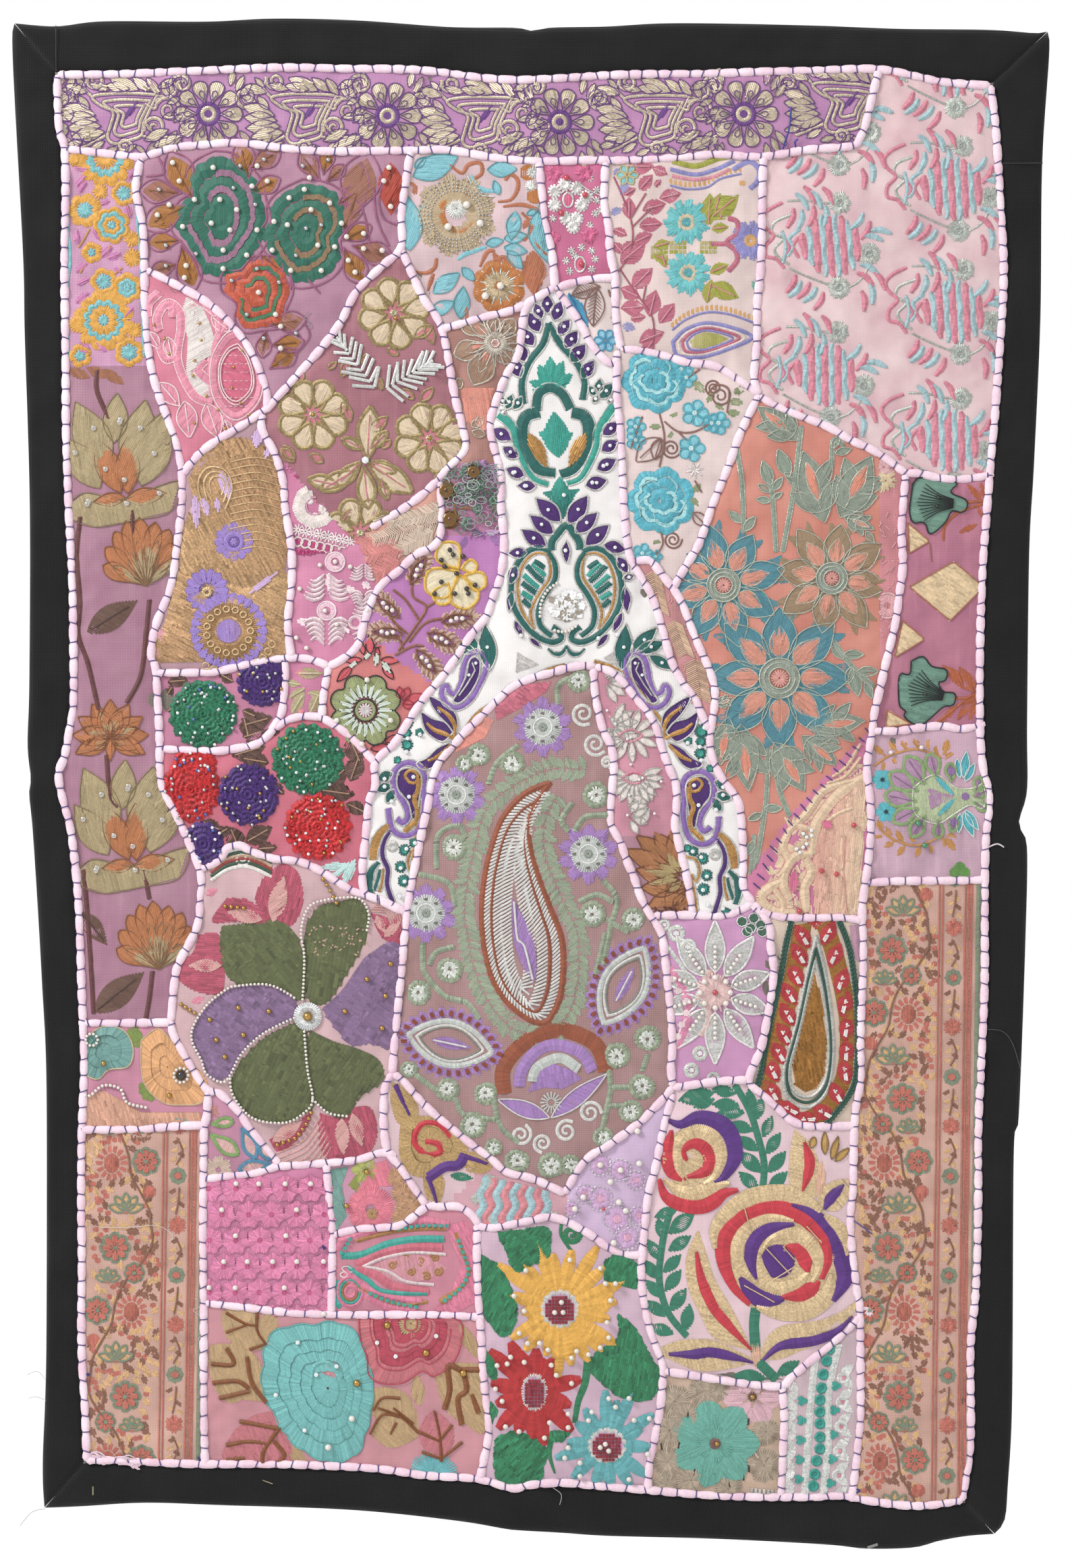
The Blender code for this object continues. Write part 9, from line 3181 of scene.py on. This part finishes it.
def sewSpiralRoses():
    work = Needlework("spiralRoses")
    gold, red, purple, green = "E3C596", "D02A3C", "5C2A85", "2C7F64"
    for line, wide in (([(121, 628), (129, 642), (134, 657), (138, 674), (137, 690)], 4),
                       ([(82, 704), (78, 720), (76, 743), (81, 762), (92, 776)], 4),
                       ([(133, 760), (132, 770), (133, 785)], 6), ([(135, 792), (145, 802)], 6)):
        work.band(line, wide, green)
    work.leaves([
        (122, 633, 107, 630), (124, 640, 107, 639), (127, 644, 110, 644), (132, 655, 117, 650),
        (135, 667, 122, 658), (137, 680, 123, 667), (135, 690, 123, 679), (131, 647, 129, 630),
        (133, 649, 137, 635), (137, 659, 143, 646), (139, 669, 148, 656), (140, 680, 151, 667),
        (140, 690, 152, 679), (81, 716, 97, 703), (81, 726, 95, 717), (78, 739, 89, 728),
        (79, 750, 89, 737), (82, 762, 92, 748), (91, 774, 94, 757), (79, 720, 75, 706),
        (77, 732, 69, 719), (76, 743, 66, 731), (78, 754, 68, 743), (80, 765, 68, 755),
        (85, 775, 70, 770), (109, 632, 87, 637), (109, 636, 96, 641), (73, 706, 87, 701),
        (140, 802, 119, 800), (145, 800, 159, 791)], 0.46, green, slant=60, fat=0.5)
    # Two long leaves, each in gold with a coloured rib.
    for points, angle, rib, ribColour in (
        ([(99, 713), (92, 729), (93, 747), (100, 763), (109, 778), (130, 785), (129, 781),
          (120, 762), (109, 743), (104, 728)], 15, [(98, 727), (101, 743), (108, 759), (117, 770),
          (130, 784)], red),
        ([(74, 784), (87, 779), (100, 778), (109, 779), (122, 785), (131, 791), (117, 796),
          (100, 797), (82, 790)], 75, [(82, 787), (97, 787), (107, 786), (121, 789),
          (131, 792)], purple),
        ([(136, 790), (139, 778), (149, 770), (170, 767), (185, 761), (192, 756), (190, 766),
          (176, 778), (160, 785), (147, 790)], 75, [(138, 790), (148, 782), (167, 779), (180, 774),
          (190, 765)], purple),
        ([(156, 654), (153, 671), (154, 691), (167, 695), (172, 684), (168, 667), (161, 658)],
         15, [(162, 662), (165, 675), (161, 690)], red),
        ([(170, 701), (170, 691), (178, 685), (188, 684), (189, 692), (182, 702)], 50,
         [(174, 701), (178, 694), (185, 687)], purple),
    ):
        work.fill(smoothLine([*points, points[0]], 2)[:-1], gold, angle=angle, stitch=7, metal=True,
                  puff=0.6)
        work.band(rib, 6.4, ribColour, taper=(0.3, 1, 0.9, 0.2), puff=0.9, lift=0.7)
    work.leaves([(170, 695, 172, 672), (132, 778, 134, 796)], 7, "E5B394")
    work.leaves([(174, 669, 174, 655), (178, 672, 182, 658), (180, 673, 189, 665),
                 (166, 665, 168, 658)], 4.4, "C79A4C", edge="8A6A3A", edgeWidth=0.6)
    work.disc(148, 728, 36, gold, metal=True, stitch=9, angle=20, puff=0)
    work.disc(97, 671, 19, gold, metal=True, stitch=9, angle=20, puff=0)
    for line, wide, colour in (
        ([(92, 672), (90, 666), (97, 662), (105, 668), (104, 678), (93, 682)], 5.6, red),
        ([(92, 686), (87, 678), (87, 665), (92, 657), (101, 655), (110, 661), (113, 671),
          (109, 682), (103, 686)], 6.6, gold),
        ([(82, 649), (89, 651), (100, 647), (113, 651), (119, 660), (120, 671), (114, 682),
          (109, 685)], 7.6, purple),
        ([(83, 655), (81, 667), (83, 678), (91, 684)], 6.4, red),
        ([(79, 684), (87, 690), (97, 692), (109, 687), (117, 686)], 6.4, gold),
        ([(76, 684), (80, 694), (91, 699), (104, 699), (114, 692), (122, 690)], 6.4, red),
        ([(109, 724), (109, 713), (117, 703), (129, 695), (147, 692), (163, 696), (171, 702)], 8.4, gold),
        ([(129, 757), (120, 747), (114, 732), (115, 717), (125, 706), (143, 700), (159, 704), (172, 715),
          (176, 728), (172, 742)], 8.2, red),
        ([(133, 744), (124, 735), (122, 723), (129, 711), (141, 706), (155, 708)], 6.4, gold),
        ([(133, 742), (130, 729), (134, 717), (144, 712), (155, 710)], 6.6, purple),
        ([(138, 724), (143, 718), (155, 715), (166, 723), (171, 734), (167, 744)], 6.2, gold),
        ([(135, 728), (137, 740), (145, 748), (156, 746), (164, 739)], 6.4, gold),
        ([(151, 723), (160, 727), (164, 738)], 6.4, red),
        ([(155, 699), (167, 705), (178, 717), (184, 730), (186, 742), (179, 755)], 8.4, purple),
        ([(174, 705), (183, 714), (187, 728)], 6.4, gold),
        ([(124, 742), (130, 750), (138, 755), (149, 754)], 7.6, purple),
        ([(149, 753), (163, 750), (170, 744)], 7, red),
        ([(134, 759), (145, 762), (163, 761), (175, 752), (178, 740)], 8.4, gold),
    ):
        work.band(line, wide * 1.25, colour, metal=colour == gold, puff=0.9, spacing=0.8, lift=0.35,
                  taper=(0.3, 0.9, 1.1, 1.05, 0.35))
    work.disc(146, 732, 10, purple, stitch=12, puff=0.9, angle=60, lift=0.6)
    for line in ([(138, 723), (153, 739)], [(143, 743), (156, 735)], [(149, 723), (156, 731)],
                 [(126, 699), (130, 714)], [(163, 711), (172, 721)], [(126, 746), (144, 756)]):
        work.line(line, gold, width=0.7, out=1.8, metal=True)
    work.sew()


def sewSmallPatches():
    bud = Needlework("rosebud")
    gold, red, purple, green = "C6A26A", "D02A3C", "5C2A85", "2C7F64"
    for points, rib in (([(-82, 626), (-83, 637), (-78, 651), (-68, 649), (-67, 640), (-73, 630)],
                         [(-80, 628), (-76, 637), (-72, 645)]),
                        ([(-41, 669), (-38, 678), (-28, 680), (-23, 675), (-32, 667)],
                         [(-39, 670), (-32, 672), (-24, 675)]),
                        ([(-64, 681), (-62, 694), (-55, 699), (-51, 687), (-54, 680)],
                         [(-61, 682), (-58, 690), (-56, 697)])):
        bud.fill(smoothLine([*points, points[0]], 2)[:-1], gold, angle=30, stitch=7, metal=True)
        bud.band(rib, 5, purple, taper=(0.6, 0.3), lift=0.6, puff=0.9)
    outline = smoothLine([(-77, 649), (-68, 646), (-55, 647), (-46, 653), (-38, 660), (-39, 671),
                          (-51, 675), (-61, 682), (-72, 680), (-78, 668), (-77, 649)], 0.9)[:-1]
    middle = np.array((-60, 661), float)
    for outer, inner in ((1.0, 0.6), (0.64, 0.02)):
        bud.petalRing(outline, middle, outer, inner, gold, 0.08, width=1.2, metal=True)
    bud.band([(-48, 658), (-55, 651), (-65, 651), (-69, 660), (-64, 667), (-54, 668), (-55, 663),
              (-62, 661)], 7, red, puff=1.1, lift=0.5, taper=(0.4, 0.7))
    bud.band([(-60, 682), (-51, 676), (-43, 675), (-39, 669)], 6, purple, puff=1.0, lift=0.4)
    bud.leaves([(-48, 681, -34, 683), (-43, 692, -31, 684), (-49, 699, -39, 695)], 5, green, slant=60)
    small = Needlework("olivePink")
    pink, tan = "E7798E", "C4936A"
    small.fill([(-119, 678), (-108, 676), (-112, 687), (-109, 705), (-117, 717)], "74A096", angle=70,
               stitch=4)
    small.rays(-95, 701, 3.4, 15, pink, lobes=11, depth=0.12, uneven=0.08, puff=0.8)
    small.rays(-95, 701, 3, 9, pink, lobes=9, depth=0.14, lift=0.5)
    small.rays(-94, 704, 0.5, 3.4, "B98E5C", lift=1)
    small.fill([(-92, 674), (-85, 672), (-81, 687), (-92, 688), (-104, 692)], pink, angle=70, high=0.2)
    for x, drop, radius in ((-80, 682, 6), (-76, 692, 7), (-72, 701, 9), (-76, 706, 7)):
        small.rays(x, drop, 0.6, radius, tan, lobes=5, depth=0.1, vary=0.12)
    small.flower(-98, 678, 8.4, "A9AE52", petals=6, fat=0.55, centre="8C923C")
    small.bead([(-97, 679), (-109, 699)], "goldBead", 1.7, out=2)
    small.fill([(-108, 687), (-103, 680), (-100, 694)], "8C923C", angle=20)
    waves = Needlework("wavyStripes")
    for k in range(9):
        x0 = -27.5 + 4.8 * k
        line = [(x0 + 1.5 * math.sin(d / 2.2) - 0.12 * d, 682 + d) for d in np.arange(1.1 * k, 29, 1.6)]
        waves.band(line, 4.2, "E08890" if k % 2 else "A4C9CF", smooth=True, puff=0.8, slant=1)
    for x, drop in ((-23, 684), (-23, 707), (-27, 687), (13, 706), (-32, 695)):
        waves.rays(x, drop, 0.4, 4, "B9BDB4", uneven=0.3)
    beads = Needlework("lilacBeads")
    silver, orchid = "D8D3D8", "D6ACD6"
    for x, drop, radius in ((41, 675, 8), (53, 678, 8), (41, 695, 9), (51, 707, 10),
                            (57, 718, 9), (62, 684, 7), (32, 692, 7), (24, 701, 6), (64, 705, 7)):
        beads.rays(x, drop, radius * 0.3, radius * 0.8, orchid, uneven=0.2, lobes=5, depth=0.2)
        beads.line(ringShape(radius * 0.85, lobes=5, depth=0.14) + (x, drop), silver, width=0.9, gap=0.5,
                   closed=True, metal=True)
        beads.disc(x, drop, radius * 0.26, "E1A6C4", lift=0.5)
    beads.bead([(41, 675), (53, 678), (64, 674), (31, 694), (52, 697), (47, 685),
                (26, 701), (49, 721), (56, 702), (63, 655)], "pearl", 2.0, out=1.8)
    beads.bead([(43, 701)], "redBead", 1.2, out=1.8)
    for group in (bud, small, waves, beads):
        group.sew()


def looseThreads():
    # Whip stitches on the plain join, knots, and the threads that hang loose.
    store = []

    def lay(points, colour, wide, out=0.8, smooth=True):
        line = smoothLine(points, 1.4) if smooth else np.array(points, float)
        count = len(line) - 1
        store.append((line[:-1], line[1:], np.full(count, wide), np.full(count, 0.3), np.full(count, out),
                      np.full(count, out), np.tile(linear(colour), (count, 1))))

    for join in ([(134, 510), (149, 480), (174, 449), (190, 431), (199, 418)],):
        for spot in smoothLine(join, 6):
            tilt = rng.normal(0, 0.5, 2)
            lay([spot + (-1.8, -1.7) + tilt, spot + (1.8, 1.7)], "433680", 0.8, smooth=False)
    for points, colour, wide in (
        ([(-287, 814), (-293, 812), (-297, 813)], "D8D0D0", 0.3),
        ([(-287, 802), (-292, 797), (-298, 799)], "D8D0D0", 0.3),
        ([(-287, 878), (-295, 880), (-302, 888)], "BDB6B2", 0.3),
        ([(17, 876), (18, 870), (13, 866)], "B9B0B0", 0.4),
        ([(-259, 870), (-259, 865)], "A79C74", 0.7), ([(-153, 864), (-159, 862)], "A79C74", 0.5),
        ([(199, 901), (205, 899)], "8E8C88", 1.6),
        ([(270, 595), (279, 596), (285, 603), (290, 619)], "5C5A5A", 0.3),
        ([(271, 487), (276, 485), (280, 487)], "E8DCE0", 0.8),
        ([(-196, 850), (-194, 853), (-197, 848)], "2E2A78", 1.4),
        ([(-264, 799), (-261, 799)], "2E2A78", 1.6), ([(-123, 723), (-122, 725)], "2E2A78", 1.8),
        ([(189, 867), (195, 867), (190, 870)], "33307C", 1.0),
        ([(197, 760), (201, 761), (201, 764), (198, 762)], "F0DCE4", 2.2),
        ([(-199, 754), (-194, 758), (-200, 761), (-193, 766)], "DCD0D0", 0.35),
        ([(-196, 769), (-191, 773), (-197, 778), (-192, 781)], "DCD0D0", 0.35),
        ([(-214, 720), (-212, 717), (-221, 711), (-239, 712), (-255, 712)], "E0D6D2", 0.35),
        ([(191, 708), (197, 712), (202, 716)], "5A5098", 0.8), ([(-281, 1), (-281, 28)], "262627", 0.6),
        ([(278, 82), (303, 82)], "262627", 0.6),
    ):
        lay(points, colour, wide)
    for rx, rd, reach in ((-261, 847, 9), (-244, 850, 12)):  # a frayed cord end
        for _ in range(16):
            angle = rng.uniform(-0.6, 0.6)
            spot = np.array((rx, rd)) + rng.uniform(-2.4, 2.4, 2)
            lay([spot, spot + (reach * 0.5 * math.cos(angle), 2 * math.sin(angle)),
                 spot + (reach * math.cos(angle), 3)],
                "E8C8D6", 0.7, out=1.5)
    sewThreads("looseThreads", store, flossFinish)


for sewing in (looseThreads, sewSunflower, sewRedRose, sewTealPaisley, sewBeigeFlower, sewTealTrim,
               sewSpiralRoses, sewSmallPatches):
    sewing()
print("bottom part sewn")

# The floor, the light and the camera.
studio = {
    "floorSize": 1.6,
    "floorDrop": 1.0,
    "floorColor": (0.86, 0.86, 0.86, 1),
    "distance": 2.58,
    "aim": (0.003, -0.4496),
    "lens": 100,
    "lights": {  # where, size, power
        "key": ((-1.6, -1.2, 1.0), 0.6, 55),
        "fill": ((1.7, -1.6, -0.3), 1.6, 4),
    },
    "lightsAim": (0, 0, -0.45),
}


def makeStudio():
    bpy.ops.mesh.primitive_plane_add(size=studio["floorSize"], location=(0, -0.55, -studio["floorDrop"]))
    floor = bpy.context.object
    floor.name = "floor"
    made, _, _, surface = newMaterial("pale floor")
    setValues(surface, {"Base Color": studio["floorColor"], "Roughness": 0.9})
    floor.data.materials.append(made)

    sky = bpy.data.worlds.new("studio")
    bpy.context.scene.world = sky
    sky.use_nodes = True
    setValues(sky.node_tree.nodes["Background"], {"Color": (1, 1, 1, 1), "Strength": 1.0})
    for name, (spot, size, power) in studio["lights"].items():
        lamp = bpy.data.lights.new(name, "AREA")
        lamp.size = size
        lamp.energy = power
        holder = bpy.data.objects.new(name, lamp)
        holder.location = spot
        way = Vector(studio["lightsAim"]) - Vector(spot)
        holder.rotation_euler = way.to_track_quat("-Z", "Y").to_euler()
        bpy.context.scene.collection.objects.link(holder)

    eye = bpy.data.cameras.new("camera")
    eye.lens = studio["lens"]
    eye.sensor_fit = "VERTICAL"
    eye.sensor_height = 36
    eye.clip_start = 0.05
    holder = bpy.data.objects.new("camera", eye)
    holder.location = (studio["aim"][0], -studio["distance"], studio["aim"][1])
    holder.rotation_euler = (math.pi / 2, 0, 0)
    bpy.context.scene.collection.objects.link(holder)
    bpy.context.scene.camera = holder
    bpy.context.scene.view_settings.view_transform = "Standard"


makeStudio()
print("done")
